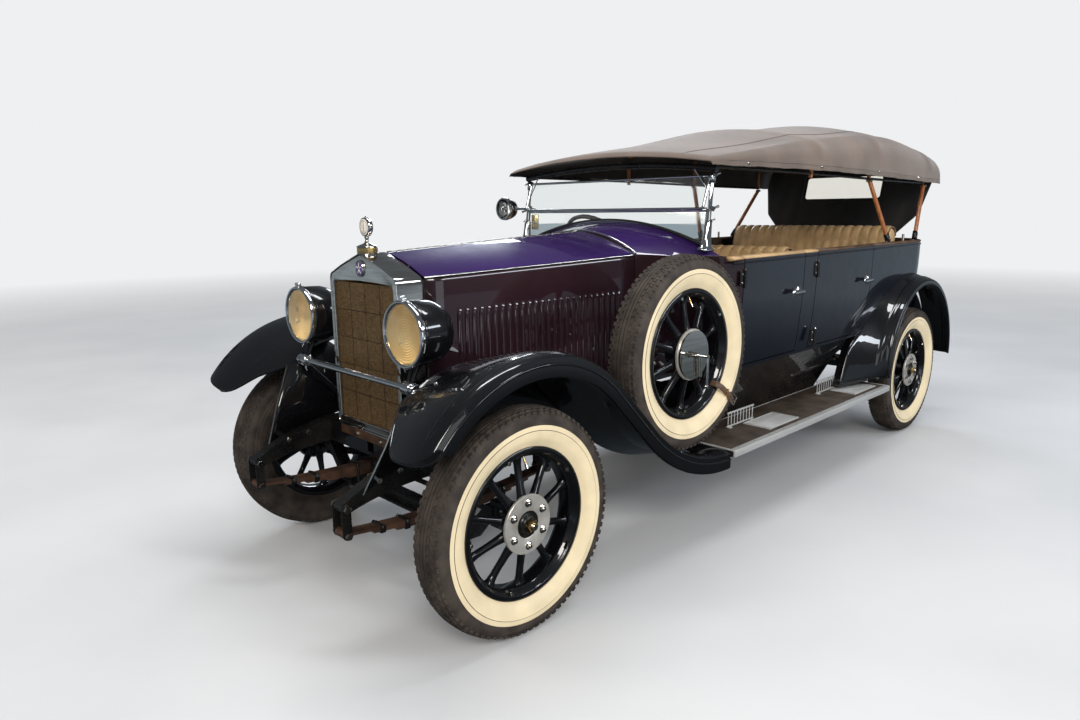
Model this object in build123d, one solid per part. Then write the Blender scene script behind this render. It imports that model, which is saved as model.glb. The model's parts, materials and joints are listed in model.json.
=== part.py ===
from build123d import *
import math
import os

os.makedirs("parts", exist_ok=True)

# Sizes in millimetres
# Stations run rearwards from the front axle, X is positive to the car's left
# and heights start at the floor. The finished pieces move along Y so that the
# origin lies under the middle of the length.

# Wheels, tyres and track
wheelbase = 3390.0
track = 1380.0
tyre_radius = 400.0
tyre_width = 140.0
tyre_bead_radius = 267.0
rim_width = 99.0
rim_wall = 26.0
spoke_count = 10
spoke_root_radius = 48.0
spoke_width_root = 46.0
spoke_width_tip = 24.0
spoke_depth_root = 34.0
spoke_depth_tip = 20.0
hub_radius = 56.0
hub_plate_radius = 104.0
hub_plate_thickness = 9.0
hub_inboard_reach = 43.0
hub_cap_radius = 33.0
hub_cap_length = 24.0
hub_nut_radius = 19.0
hub_nut_length = 16.0
spindle_radius = 20.0
spindle_reach = 34.0
running_clearance = 0.05
drum_radius = 168.0
drum_wall = 8.0
drum_depth = 46.0

# Front axle and steering
kingpin_x = 600.0
kingpin_radius = 12.0
axle_eye_radius = 25.0
axle_eye_height = 52.0
fork_plate = 20.0
fork_gap = 2.0
axle_beam_height = 58.0
axle_beam_width = 56.0
axle_web = 16.0
axle_flange = 12.0
axle_drop = 112.0
axle_rise_start = 455.0
steering_arm_length = 160.0
steering_arm_width = 22.0
steering_arm_drop = 62.0
tie_rod_radius = 12.0
tie_rod_eye_radius = 20.0
tie_rod_pin_radius = 8.0
open_pivot_clearance = 1.5

# Frame and springs
rail_front_x = 330.0
rail_rear_x = 430.0
rail_flange = 50.0
rail_web = 8.0
rail_depth = 100.0
rail_top = 600.0
rail_kick = 60.0
rail_jog_start = 1130.0
rail_jog_length = 160.0
kick_start = wheelbase - 590.0
kick_length = 200.0
kick_end_gap = 380.0
rail_rear_end = wheelbase + 540.0
dumb_iron_reach = 455.0
dumb_iron_eye_height = 480.0
dumb_iron_start = 40.0
dumb_iron_eye_radius = 22.0
cross_member_height = 60.0
cross_member_depth = 50.0
front_member_station = -60.0
front_member_low = rail_top - rail_depth + 10.0
handle_height = front_member_low + cross_member_height / 2
starting_handle_bore = 14.0
handle_notch_half = 22.0
leaf_width = 56.0
leaf_thickness = 9.0
leaf_count = 5
leaf_step = 92.0
front_spring_half = 465.0
rear_spring_half = 510.0
spring_curve_radius = 3500.0
spring_eye_radius = 16.0
rear_axle_tube_radius = 42.0
differential_radius = 128.0
torque_tube_radius = 36.0
torque_tube_rise = 66.0
backing_plate_thickness = 6.0

# Engine, exhaust and tank
engine_half_width = 180.0
engine_front = 10.0
engine_rear = 760.0
engine_bottom = 420.0
engine_top = 1020.0
gearbox_half_width = 125.0
gearbox_rear = 1240.0
gearbox_top = 680.0
exhaust_x = -245.0
exhaust_height = 470.0
exhaust_pipe_radius = 23.0
silencer_radius = 58.0
silencer_front = 1500.0
silencer_rear = wheelbase - 1240.0
exhaust_tail_height = 510.0
tank_half_width = 370.0
tank_front = wheelbase + 170.0
tank_rear = wheelbase + 470.0
tank_bottom = 430.0
tank_top = 590.0

# Radiator and bonnet
radiator_front = -144.0
radiator_depth = 116.0
radiator_half_width = 233.0
radiator_bottom = 602.0
shoulder_height = 1206.0
radiator_apex = 1286.0
core_margin = 25.0
core_bottom = 632.0
core_top = 1176.0
core_recess = 12.0
core_depth = 70.0
cap_radius = 34.0
cap_height = 26.0
cap_station = -108.0
motometer_radius = 33.0
motometer_thickness = 20.0
motometer_height = 1384.0
bonnet_gap = 5.0
bonnet_rear = 1050.0
bonnet_rear_half_width = 345.0
bonnet_rear_crease = 1240.0
bonnet_rear_ridge = 1338.0
bonnet_front_crease = 1206.0
bonnet_bottom = 668.0
bonnet_skin = 8.0
louvre_count = 26
louvre_first = 110.0
louvre_pitch = 33.0
louvre_bottom = 712.0
louvre_top = 1086.0
louvre_width = 20.0
louvre_height = 9.0

# Scuttle, windscreen and steering column
scuttle_mid = 1150.0
scuttle_rear = 1270.0
scuttle_mid_half_width = 470.0
scuttle_mid_crease = 1232.0
scuttle_mid_ridge = 1360.0
scuttle_rear_ridge = 1380.0
scuttle_rear_half_width = 645.0
scuttle_rear_low_half_width = 612.0
scuttle_rear_crease = 1232.0
scuttle_wall = 24.0
dash_bottom = 1085.0
dash_thickness = 18.0
screen_post_x = 581.0
screen_post_radius = 11.0
screen_base_station = 1252.0
screen_top_station = 1289.0
screen_post_height = 324.2
screen_mid_share = 0.50
screen_rail_radius = 7.0
screen_glass = 6.0
cowl_moulding_radius = 9.0
column_x = -265.0
column_angle = 40.0
column_radius = 17.0
column_length = 860.0
steering_centre_station = 1500.0
steering_centre_height = 1250.0
steering_rim_radius = 200.0
steering_rim_thickness = 13.0
steering_shaft_radius = 9.0
spot_lamp_radius = 62.0
spot_lamp_length = 95.0
spot_lamp_x = -720.0
spot_lamp_share = 0.556
spot_lamp_ahead = 22.0
spot_arm_radius = 7.0

# Body, doors and seats
body_half_width = 692.0
body_mid_half_width = 684.0
body_bottom_half_width = 656.0
body_bottom = 695.0
body_mid_height = 950.0
belt_height = 1215.0
wall_thickness = 45.0
body_rear = wheelbase + 410.0
body_corner_radius = 330.0
floor_thickness = 18.0
sill_width = 50.0
front_door_start = 1400.0
doors_length = wheelbase - 595.0 - front_door_start
front_door_end = front_door_start + 0.40717 * doors_length
rear_door_start = front_door_start + 0.51039 * doors_length
rear_door_end = front_door_start + doors_length
door_gap = 5.0
door_bottom = 716.0
door_handle_height = 1026.0
rear_door_cut_station = rear_door_end - 145.0
rear_door_cut_height = 880.0
wheelhouse_radius = 470.0
wheelhouse_inner_x = 588.0
wheelhouse_wall = 8.0
front_seat_front = 1500.0
front_seat_back = 1990.0
seat_base_top = 850.0
cushion_thickness = 170.0
front_back_top = 1236.0
rear_seat_front = wheelbase - 510.0
rear_seat_back = wheelbase + 30.0
rear_seat_half_width = 560.0
rear_back_top = 1310.0
seat_back_thickness = 130.0
seat_clearance = 4.0

# Wings, running boards and aprons
wing_outer_x = 806.0
wing_inner_x = 420.0
wing_skin = 8.0
front_wing_arc_station = 20.0
front_wing_arc_height = 420.0
front_wing_arc_radius = 530.0
front_wing_tip_angle = 65.0
wing_slope_angle = 45.0
front_wing_slope_end = 600.0
front_wing_tail = 1150.0
tail_arc_radius = 785.0
front_valance_bottom = 600.0
rear_wing_arc_height = 465.0
rear_wing_arc_radius = 495.0
rear_wing_rear_angle = 92.0
rear_wing_inner_x = 600.0
board_outer_x = 826.0
board_inner_x = 500.0
board_top = 400.0
board_thickness = 30.0
board_rear = wheelbase - 540.0
board_bracket_station = 1420.0
board_bracket_end_gap = 550.0
step_plate_inner_x = 620.0
step_plate_outer_x = 770.0
step_plate_thickness = 4.0
step_plate_front = 1560.0
step_plate_length = 285.0
step_plate_rear_gap = 350.0
apron_thickness = 6.0
apron_knee_x = 600.0
apron_knee_height = 570.0
apron_rear_gap = 860.0
front_apron_half = 298.0

# Spare wheel
spare_x = 724.0
spare_station = 884.0
spare_height = 861.0
well_clearance = 12.0
spare_disc_radius = 99.0
spare_disc_thickness = 10.0
spare_arm_radius = 17.0

# Lamps
lamp_x = 369.0
lamp_front = -222.0
lamp_rise = 187.0
lamp_radius = 117.0
lamp_rim_depth = 20.0
lamp_drum_depth = 95.0
lamp_back = -25.0
lens_thickness = 8.0
lamp_bar_height = 845.0
lamp_height = lamp_bar_height + lamp_rise
lamp_bar_station = -202.0
lamp_bar_radius = 13.0
lamp_bar_half = 412.0
lamp_post_radius = 14.0

# Hood
hood_skin = 12.0
hood_seam_x = 470.0
hood_seam_gap = 1.0
hood_sections = [
    # station, half width, then edge, shoulder and crown above the windscreen's top
    (screen_base_station - 62.0, 640.0, 30.0, 60.0, 110.0),
    (screen_base_station + 948.0, 655.0, 34.0, 166.0, 280.0),
    (wheelbase - 240.0, 655.0, 14.0, 220.0, 348.0),
    (wheelbase + 610.0, 640.0, -10.0, 108.0, 304.0),
]
bow_radius = 11.0
bow_rail_x = 600.0
stick_x = 664.0
hood_sticks = [
    # foot station, head station, then the head's height above the windscreen's top
    (wheelbase - 320.0, wheelbase - 510.0, -2.0),
    (wheelbase + 100.0, wheelbase + 350.0, -20.0),
]
curtain_thickness = 10.0
curtain_half_width = 560.0
window_half_width = 290.0
window_below_screen_top = 106.0
window_above_screen_top = 70.0

# Tyre and wheel details
tyre_bead_inset = 4.0
tyre_bead_depth = 112.0
tyre_widest_depth = 74.0
tyre_shoulder_depth = 36.0
tyre_tread_depth = 13.0
rim_seat_depth = 14.0
rim_flange_width = 9.0
rim_well_depth = 18.0
rim_well_start = 22.0
rim_band = 6.0
spoke_plate_inset = 6.0
hub_cap_step = 5.0
full_turn = 360.0
hub_shell = 6.0
bore_overrun = 60.0

# Knuckle details
spindle_shoulder = 14.0
spindle_overlap = 4.0
arm_tip_rise = 18.0
ball_pin_seat = 4.0

# Chassis details
dumb_iron_dip = 18.0
dumb_iron_bend_share = 0.52
rail_end_taper = 20.0
kick_member_offset = 40.0
rear_member_gap = 10.0
rear_member_start = 60.0
rear_member_lift = 40.0
rear_eye_drop = 20.0
tank_corner = 40.0
tank_corner_middle = 12.0
tank_strap_start = 90.0
tank_strap_end = 130.0
tank_strap_height = 20.0
front_leaf_gap = 14.0
rear_leaf_gap = 20.0
axle_nose_reach = 150.0
axle_nose_radius = 70.0
axle_ring_reach = 60.0
axle_ring_radius = 112.0
torque_tube_gap = 4.0
torque_tube_end = 100.0
spring_seat_reach = 50.0

# Engine and exhaust details
sump_depth = 60.0
sump_width_share = 0.7
gearbox_lift = 20.0
exhaust_start = 380.0
exhaust_drop = 60.0
manifold_depth = 10.0
manifold_height = 200.0
silencer_socket = 10.0
exhaust_rise_start = 60.0
exhaust_rise_end = 260.0
exhaust_tank_gap = 30.0

# Radiator details
shell_shoulder_drop = 14.0
shell_shoulder_inset = 10.0
shell_shoulder_rise = 2.0
shell_apex_half = 14.0
neck_sink = 12.0
motometer_sink = 4.0
motometer_stem_radius = 9.0
finial_lift = 3.0
finial_radius = 7.0
core_strip = 3.0

# Bonnet and scuttle details
bonnet_side_seat = 4.0
bonnet_crease_gap = 3.0
bonnet_lip_share = 0.3
scuttle_mid_inset = 10.0
dash_inset = 34.0
column_start = 60.0
steering_box_overlap = 10.0
steering_box_half = 38.0
steering_box_low = 70.0
steering_box_rear = 50.0
steering_box_high = 60.0
shaft_hole_start = 40.0
shaft_hole_end = 180.0

# Body details
quarter_turn = 90.0
door_cut_inside = 10.0
door_cut_depth = 60.0
door_cut_outside = 20.0
floor_edge_seat = 12.0
floor_end = 540.0
rear_floor_start = 545.0
sill_start_gap = 10.0
sill_end_gap = 20.0
seat_base_gap = 6.0
seat_base_set_back = 30.0
seat_base_rear = 20.0
seat_base_sink = 1.0
wheel_house_depth = 6.0
wheel_house_half = 520.0
door_handle_reach = 22.0
door_handle_root = 20.0
door_handle_set_in = 45.0
door_handle_boss = 9.0
door_lever_start = 30.0
door_lever_end = 145.0
door_lever_radius = 8.0

# Seat details
cushion_rear_drop = 30.0
cushion_crown_start = 60.0
cushion_front_drop = 40.0
cushion_front_bulge = 12.0
cushion_bulge_drop = 90.0
squab_lean = 55.0
squab_foot = 60.0
squab_round_drop = 50.0
squab_round_rear = 12.0
squab_round_front = 24.0
seat_back_reach = 60.0

# Wing details
wing_edge_turn = 20.0
wing_round_inset = 16.0
wing_round_rise = 32.0
wing_crown_inset = 60.0
wing_crown_rise = 36.0
wing_fall_inset = 155.0
wing_fall_rise = 24.0
wing_inner_bend_x = 540.0
wing_inner_bend_drop = 2.0
wing_inner_drop = 38.0
wing_lip_depth = 4.0
half_turn = 180.0
valance_front = 380.0
valance_rear = 720.0
valance_rear_top = 395.0
valance_rear_height = 770.0
valance_crown = 20.0
valance_crown_height = 880.0
valance_front_bend = 300.0
valance_front_height = 750.0
wing_rib_start = 20.0
wing_cut_depth = 200.0
rear_wall_low = 400.0
rear_wall_offset = 0.5
rear_crown_rise = 44.0
rear_crown_share = 0.25
rear_fall_inset = 106.0
rear_fall_rise = 58.0
rear_fall_share = 0.6
rear_wing_bend_x = 660.0
rear_wing_edge_rise = 8.0
rear_lip_depth = 16.0
cut_overrun = 10.0

# Running board and apron details
board_nose = 10.0
bracket_gap = 0.5
bracket_reach = 90.0
bracket_half = 20.0
bracket_depth = 14.0
bracket_plate = 12.0
bracket_top_drop = 40.0
apron_top_inset = 4.0
apron_foot_inset = 6.0
front_apron_lift = 12.0
front_apron_lip = 8.0

# Lamp details
lamp_rim_step = 5.0
lamp_glass_ring = 12.0
lamp_rim_round = 3.0
lamp_rim_round_depth = 5.0
lamp_back_start = 50.0
lamp_back_share = 0.74
lamp_tip_depth = 6.0
lamp_tip_share = 0.36
lamp_bowl_depth = 16.0
lamp_foot_reach = 22.0
lamp_foot_sink = 8.0
lamp_stay_inset = 2.0
lamp_stay_station = 15.0
lamp_stay_lift = 10.0
lamp_stay_share = 0.7
lamp_pad_inner = 20.0
lamp_pad_outer = 24.0
lamp_pad_front = 38.0
lamp_pad_rear = 12.0
lamp_pad_gap = 0.5
lamp_pad_top = 14.0
lens_ring = 12.5
lens_dome = 4.0
lens_bend_depth = 1.0
lens_bend_share = 0.6
lens_edge_depth = 6.0

# Screen and hood details
spot_arm_reach = 20.0
screen_foot_gap = 6.0
glass_foot_gap = 6.0
hood_shoulder_step = 5.0
bow_leg_drop = 34.0
bow_gap = 6.0
header_depth = 28.0
header_overhang = 8.0
header_half = 20.0
side_rail_lift = 12.0
side_rail_rear_lift = 14.0
side_rail_radius = 9.0
middle_bow_offset = 40.0
stick_foot_lift = 8.0
curtain_foot_gap = 3.0
curtain_head_inset = 14.0
curtain_head_gap = 16.0
curtain_side_gap = 22.0
curtain_edge_lift = 10.0
curtain_corner = 160.0
curtain_corner_height = 170.0
curtain_shoulder_inset = 8.0
window_cut_overrun = 60.0

# Spare carrier and steering wheel details
spare_elbow_gap = 20.0
spare_arm_root = 24.0
spare_arm_lift = 26.0
spare_pad_thickness = 26.0
spare_pad_half = 50.0
spare_pad_low = 40.0
spare_pad_high = 48.0
spare_disc_gap = 0.5
handle_sink = 2.0
handle_stem_reach = 16.0
handle_stem_radius = 11.0
handle_bar_reach = 12.0
handle_bar_half = 44.0
handle_bar_tilt = 6.0
handle_bar_radius = 7.0
handle_drop_start = 20.0
handle_drop_end = 26.0
handle_drop_length = 92.0
wheel_hub_length = 38.0
wheel_hub_radius = 30.0
shaft_length = 175.0
shaft_start = 30.0
steering_spokes = 4
steering_spoke_start = 45.0
steering_spoke_depth = 14.0
steering_spoke_radius = 7.0


# Placing helpers

def at_side(x):
    """Points (station, height) on the plane at x."""
    return lambda point: Vector(x, point[0], point[1])


def at_front(y):
    """Points (x, height) on the plane at station y."""
    return lambda point: Vector(point[0], y, point[1])


def at_plan(z):
    """Points (x, station) on the level plane at height z."""
    return lambda point: Vector(point[0], point[1], z)


def polygon_face(points, place):
    """A flat face with straight edges."""
    return Face(Wire.make_polygon([place(point) for point in points]))


def outline_face(start, steps, place):
    """A flat face of lines and arcs: a step is [end] or [way point, end]."""
    edges = []
    here = start
    for step in steps:
        if len(step) == 1:
            edges.append(Edge.make_line(place(here), place(step[0])))
        else:
            edges.append(Edge.make_three_point_arc(place(here), place(step[0]), place(step[1])))
        here = step[-1]
    return Face(Wire(edges))


def prism(face, direction):
    """A face drawn out along a vector."""
    length = Vector(*direction).length
    return extrude(face, amount=length, dir=direction)


def block(x_low, x_high, y_low, y_high, z_low, z_high):
    """A box between two corners."""
    size = Box(x_high - x_low, y_high - y_low, z_high - z_low)
    return Pos((x_low + x_high) / 2, (y_low + y_high) / 2, (z_low + z_high) / 2) * size


def rod(start, end, radius):
    """A round bar from start to end."""
    line = Vector(*end) - Vector(*start)
    bar = Cylinder(radius, line.length, align=(Align.CENTER, Align.CENTER, Align.MIN))
    return Plane(origin=start, z_dir=line) * bar


def turned_x(points, station, height, angle=360.0):
    """A section of (x, radius) points turned about a level axis along X."""
    face = polygon_face([(x, station, height + r) for x, r in points], lambda p: Vector(*p))
    return revolve(face, Axis((0, station, height), (1, 0, 0)), angle)


def turned_y(points, x, height):
    """A section of (station, radius) points turned about a level axis along Y."""
    face = polygon_face([(x, y, height + r) for y, r in points], lambda p: Vector(*p))
    return revolve(face, Axis((x, 0, height), (0, 1, 0)), 360.0)


def mirrored(shape):
    """The same piece on the car's right side."""
    return mirror(shape, about=Plane.YZ)


def fused(pieces):
    """One shape from pieces that touch or overlap."""
    whole = pieces[0]
    for piece in pieces[1:]:
        whole = whole + piece
    return whole


nodes = {}


# Wheels and tyres

def tyre_at(centre_x, station, height):
    """A beaded tyre with a crowned tread and round side walls."""
    half = tyre_width / 2
    bead = rim_width / 2 - tyre_bead_inset
    section = [
        (-bead, tyre_bead_radius),
        (-half * 0.90, tyre_radius - tyre_bead_depth),
        (-half, tyre_radius - tyre_widest_depth),
        (-half * 0.95, tyre_radius - tyre_shoulder_depth),
        (-half * 0.78, tyre_radius - tyre_tread_depth),
        (-half * 0.42, tyre_radius),
        (half * 0.42, tyre_radius),
        (half * 0.78, tyre_radius - tyre_tread_depth),
        (half * 0.95, tyre_radius - tyre_shoulder_depth),
        (half, tyre_radius - tyre_widest_depth),
        (half * 0.90, tyre_radius - tyre_bead_depth),
        (bead, tyre_bead_radius),
    ]
    return turned_x([(centre_x + x, r) for x, r in section], station, height)


def spoke(angle, side, plate_x, centre_x, station, height):
    """One tapered spoke with six flats, leaning from the hub to the rim."""
    sections = []
    ends = [
        # distance from the axis, width, depth, place along X
        (spoke_root_radius, spoke_width_root, spoke_depth_root, plate_x - side * spoke_depth_root / 2),
        (tyre_bead_radius - rim_wall, spoke_width_tip, spoke_depth_tip, centre_x),
    ]
    for distance, width, depth, x in ends:
        corners = [(-0.5, 0.0), (-0.25, 0.5), (0.25, 0.5), (0.5, 0.0), (0.25, -0.5), (-0.25, -0.5)]
        points = [Vector(x + v * depth, u * width, distance) for u, v in corners]
        sections.append(Face(Wire.make_polygon(points)))
    bar = loft(sections, ruled=True)
    return Pos(0, station, height) * Rot(angle, 0, 0) * bar


def wheel_at(side, centre_x, station, height, drum, cap):
    """A cast wheel: rim, spokes, hub and hub plate, with a drum behind or a cap if asked."""
    half = rim_width / 2
    lip = tyre_bead_radius
    seat = lip - rim_seat_depth
    inner = lip - rim_wall
    rim = turned_x([(centre_x + x, r) for x, r in [
        (-half, lip), (-half + rim_flange_width, lip), (-half + rim_seat_depth, seat),
        (half - rim_seat_depth, seat),
        (half - rim_flange_width, lip), (half, lip), (half, lip - rim_well_depth),
        (half - rim_well_start, inner - rim_band),
        (-half + rim_well_start, inner - rim_band), (-half, lip - rim_well_depth)]], station, height)
    plate_x = centre_x + side * (half - spoke_plate_inset)
    inboard_x = centre_x - side * hub_inboard_reach
    face_x = plate_x + side * hub_plate_thickness
    cap_x = face_x + side * hub_cap_length
    nut_x = cap_x + side * hub_nut_length
    hub = turned_x([
        (inboard_x, 0.0), (inboard_x, hub_radius), (plate_x, hub_radius),
        (plate_x, hub_plate_radius), (face_x, hub_plate_radius), (face_x, 0.0)], station, height)
    pieces = [rim, hub]
    if cap:
        pieces.append(turned_x([
            (plate_x, 0.0), (plate_x, hub_cap_radius), (face_x, hub_cap_radius),
            (cap_x, hub_cap_radius - hub_cap_step), (cap_x, hub_nut_radius), (nut_x, hub_nut_radius),
            (nut_x, 0.0)], station, height))
    for number in range(spoke_count):
        angle = full_turn * number / spoke_count
        pieces.append(spoke(angle, side, plate_x, centre_x, station, height))
    if drum:
        web_x = inboard_x + side * drum_wall
        far_x = web_x - side * drum_depth
        pieces.append(turned_x([
            (web_x, hub_radius - hub_shell), (web_x, drum_radius), (far_x, drum_radius),
            (far_x, drum_radius - drum_wall), (inboard_x, drum_radius - drum_wall),
            (inboard_x, hub_radius - hub_shell)], station, height))
    wheel = fused(pieces)
    bore_end = centre_x + side * (spindle_reach + 2.0)
    bore_start = inboard_x - side * bore_overrun
    bore = rod((bore_start, station, height), (bore_end, station, height),
               spindle_radius + running_clearance)
    return wheel - bore


half_track = track / 2
for end_name, station in [("front", 0.0), ("rear", wheelbase)]:
    for side_name, side in [("left", 1), ("right", -1)]:
        x = side * half_track
        has_drum = end_name == "rear"
        nodes["wheel_" + end_name + "_" + side_name] = wheel_at(
            side, x, station, tyre_radius, has_drum, True)
        nodes["tyre_" + end_name + "_" + side_name] = tyre_at(x, station, tyre_radius)


# Front axle beam with eyes for the kingpins

def front_axle():
    """A forged beam that drops between the springs and ends in kingpin eyes."""
    eye_z = tyre_radius
    low_z = eye_z - axle_drop
    beam_top = low_z + axle_beam_height / 2
    beam_low = low_z - axle_beam_height / 2
    end_half = axle_eye_height / 2
    rise_x = kingpin_x - 2 * axle_eye_radius
    tip_x = kingpin_x - axle_eye_radius / 2
    outline = [
        (-tip_x, eye_z - end_half), (-rise_x, eye_z - end_half), (-axle_rise_start, beam_low),
        (axle_rise_start, beam_low), (rise_x, eye_z - end_half), (tip_x, eye_z - end_half),
        (tip_x, eye_z + end_half), (rise_x, eye_z + end_half), (axle_rise_start, beam_top),
        (-axle_rise_start, beam_top), (-rise_x, eye_z + end_half), (-tip_x, eye_z + end_half)]
    depth = axle_beam_width / 2
    beam = prism(polygon_face(outline, at_front(-depth)), (0, axle_beam_width, 0))
    pocket_top = beam_top - axle_flange
    pocket_low = beam_low + axle_flange
    pocket_x = axle_rise_start - axle_flange
    for face_y in (-1, 1):
        y_near = face_y * axle_web / 2
        y_far = face_y * (depth + 1.0)
        beam = beam - block(-pocket_x, pocket_x, min(y_near, y_far), max(y_near, y_far),
                            pocket_low, pocket_top)
    for side in (1, -1):
        x = side * kingpin_x
        beam = beam + rod((x, 0, eye_z - end_half), (x, 0, eye_z + end_half), axle_eye_radius)
        beam = beam - rod((x, 0, eye_z - end_half - 1.0), (x, 0, eye_z + end_half + 1.0),
                          kingpin_radius + running_clearance)
    return beam


nodes["front_axle"] = front_axle()


# Steering knuckles and tie rod

tie_rod_height = tyre_radius - axle_eye_height / 2 - fork_gap - fork_plate - steering_arm_drop
arm_low = tie_rod_height + tie_rod_radius + fork_gap
steering_pin_x = kingpin_x


def knuckle(side):
    """A forked knuckle with its kingpin, wheel spindle and rearward steering arm."""
    x = side * kingpin_x
    centre = tyre_radius
    fork_in = centre - axle_eye_height / 2 - fork_gap
    fork_top = centre + axle_eye_height / 2 + fork_gap
    plate_in = x - side * axle_eye_radius
    plate_mid = x + side * (axle_eye_radius + fork_gap)
    spindle_root = plate_mid + side * spindle_shoulder
    half = axle_eye_radius
    low_plate = block(min(plate_in, spindle_root), max(plate_in, spindle_root), -half, half,
                      fork_in - fork_plate, fork_in)
    top_plate = block(min(plate_in, spindle_root), max(plate_in, spindle_root), -half, half,
                      fork_top, fork_top + fork_plate)
    back = block(min(plate_mid, spindle_root), max(plate_mid, spindle_root), -half, half,
                 fork_in - fork_plate, fork_top + fork_plate)
    pin = rod((x, 0, fork_in - fork_plate), (x, 0, fork_top + fork_plate), kingpin_radius)
    spindle_end = side * (half_track + spindle_reach)
    spindle = rod((spindle_root - side * spindle_overlap, 0, centre), (spindle_end, 0, centre),
        spindle_radius)
    arm_x = side * steering_pin_x
    arm_face = polygon_face([
        (-half, fork_in - fork_plate), (-half, fork_in), (half, fork_in),
        (steering_arm_length + tie_rod_eye_radius, arm_low + arm_tip_rise),
        (steering_arm_length + tie_rod_eye_radius, arm_low),
        (steering_arm_length - tie_rod_eye_radius, arm_low)],
        at_side(arm_x - steering_arm_width / 2))
    arm = prism(arm_face, (steering_arm_width, 0, 0))
    ball_pin = rod((arm_x, steering_arm_length, arm_low + ball_pin_seat),
                   (arm_x, steering_arm_length, tie_rod_height - tie_rod_radius - ball_pin_seat),
                   tie_rod_pin_radius)
    return fused([low_plate, back, top_plate, pin, spindle, arm, ball_pin])


nodes["knuckle_left"] = knuckle(1)
nodes["knuckle_right"] = knuckle(-1)


def tie_rod():
    """A round rod with an eye at each end, under the two steering arms."""
    end_x = steering_pin_x
    y = steering_arm_length
    z = tie_rod_height
    low = z - tie_rod_radius
    high = z + tie_rod_radius
    bar = rod((-end_x, y, z), (end_x, y, z), tie_rod_radius - 1.0)
    for side in (1, -1):
        clearance = running_clearance if side == 1 else open_pivot_clearance
        bar = bar + rod((side * end_x, y, low), (side * end_x, y, high), tie_rod_eye_radius)
        bar = bar - rod((side * end_x, y, low - 1.0), (side * end_x, y, high + 1.0),
                        tie_rod_pin_radius + clearance)
    return bar


nodes["tie_rod"] = tie_rod()


# Frame with curved front ends, cross members and rear tank

front_spring_seat = tyre_radius - axle_drop + axle_beam_height / 2
front_leaf_top = front_spring_seat + leaf_count * leaf_thickness
rear_spring_seat = tyre_radius + rear_axle_tube_radius
rear_leaf_top = rear_spring_seat + leaf_count * leaf_thickness


def frame_rail(side):
    """One rail: dumb iron, front stretch, outward step and rear stretch with its kick-up."""
    top = rail_top
    low = rail_top - rail_depth
    half = rail_flange / 2
    eye = dumb_iron_eye_radius
    tip_y = -dumb_iron_reach
    iron = outline_face(
        (tip_y, dumb_iron_eye_height + eye),
        [[(-dumb_iron_reach * dumb_iron_bend_share, top - dumb_iron_dip), (-dumb_iron_start, top)],
         [(rail_jog_start, top)], [(rail_jog_start, low)], [(-dumb_iron_start, low)],
         [(-dumb_iron_reach * 0.56, low - 2.0), (tip_y, dumb_iron_eye_height - eye)],
         [(tip_y - eye, dumb_iron_eye_height), (tip_y, dumb_iron_eye_height + eye)]],
        at_side(rail_front_x - half))
    front = prism(iron, (rail_flange, 0, 0))
    pocket = block(rail_front_x - half - 1.0, rail_front_x + half - rail_web,
                   -dumb_iron_start, rail_jog_start - rail_web, low + rail_web, top - rail_web)
    front = front - pocket
    jog_face = polygon_face([
        (rail_front_x - half, rail_jog_start), (rail_front_x + half, rail_jog_start),
        (rail_rear_x + half, rail_jog_start + rail_jog_length),
        (rail_rear_x - half, rail_jog_start + rail_jog_length)], at_plan(low))
    jog = prism(jog_face, (0, 0, rail_depth))
    rear_y = rail_jog_start + rail_jog_length
    kick_top = top + rail_kick
    kick_low = low + rail_kick
    kick_y = kick_start + kick_length
    drop_y = wheelbase + kick_end_gap
    rear_face = polygon_face([
        (rear_y, low), (kick_start, low), (kick_y, kick_low), (drop_y, kick_low),
        (rail_rear_end, low + rail_end_taper), (rail_rear_end, kick_top - rail_end_taper), (drop_y, kick_top),
        (kick_y, kick_top), (kick_start, top), (rear_y, top)], at_side(rail_rear_x - half))
    rear = prism(rear_face, (rail_flange, 0, 0))
    rear = rear - block(rail_rear_x - half - 1.0, rail_rear_x + half - rail_web,
                        rear_y + rail_web, kick_start, low + rail_web, top - rail_web)
    rail = fused([front, jog, rear])
    return rail if side == 1 else mirrored(rail)


def spring_hanger(x, eye_station, eye_height, rail_height, width):
    """A shackle plate pair drawn as one link from the rail down to a spring eye."""
    link = rod((x, eye_station, eye_height + spring_eye_radius), (x, eye_station, rail_height),
               spring_eye_radius * 0.7)
    boss = rod((x - width / 2, eye_station, rail_height), (x + width / 2, eye_station, rail_height),
               spring_eye_radius)
    return link + boss


front_eye_rise = front_spring_half ** 2 / (2 * spring_curve_radius)
rear_eye_rise = rear_spring_half ** 2 / (2 * spring_curve_radius)


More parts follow.
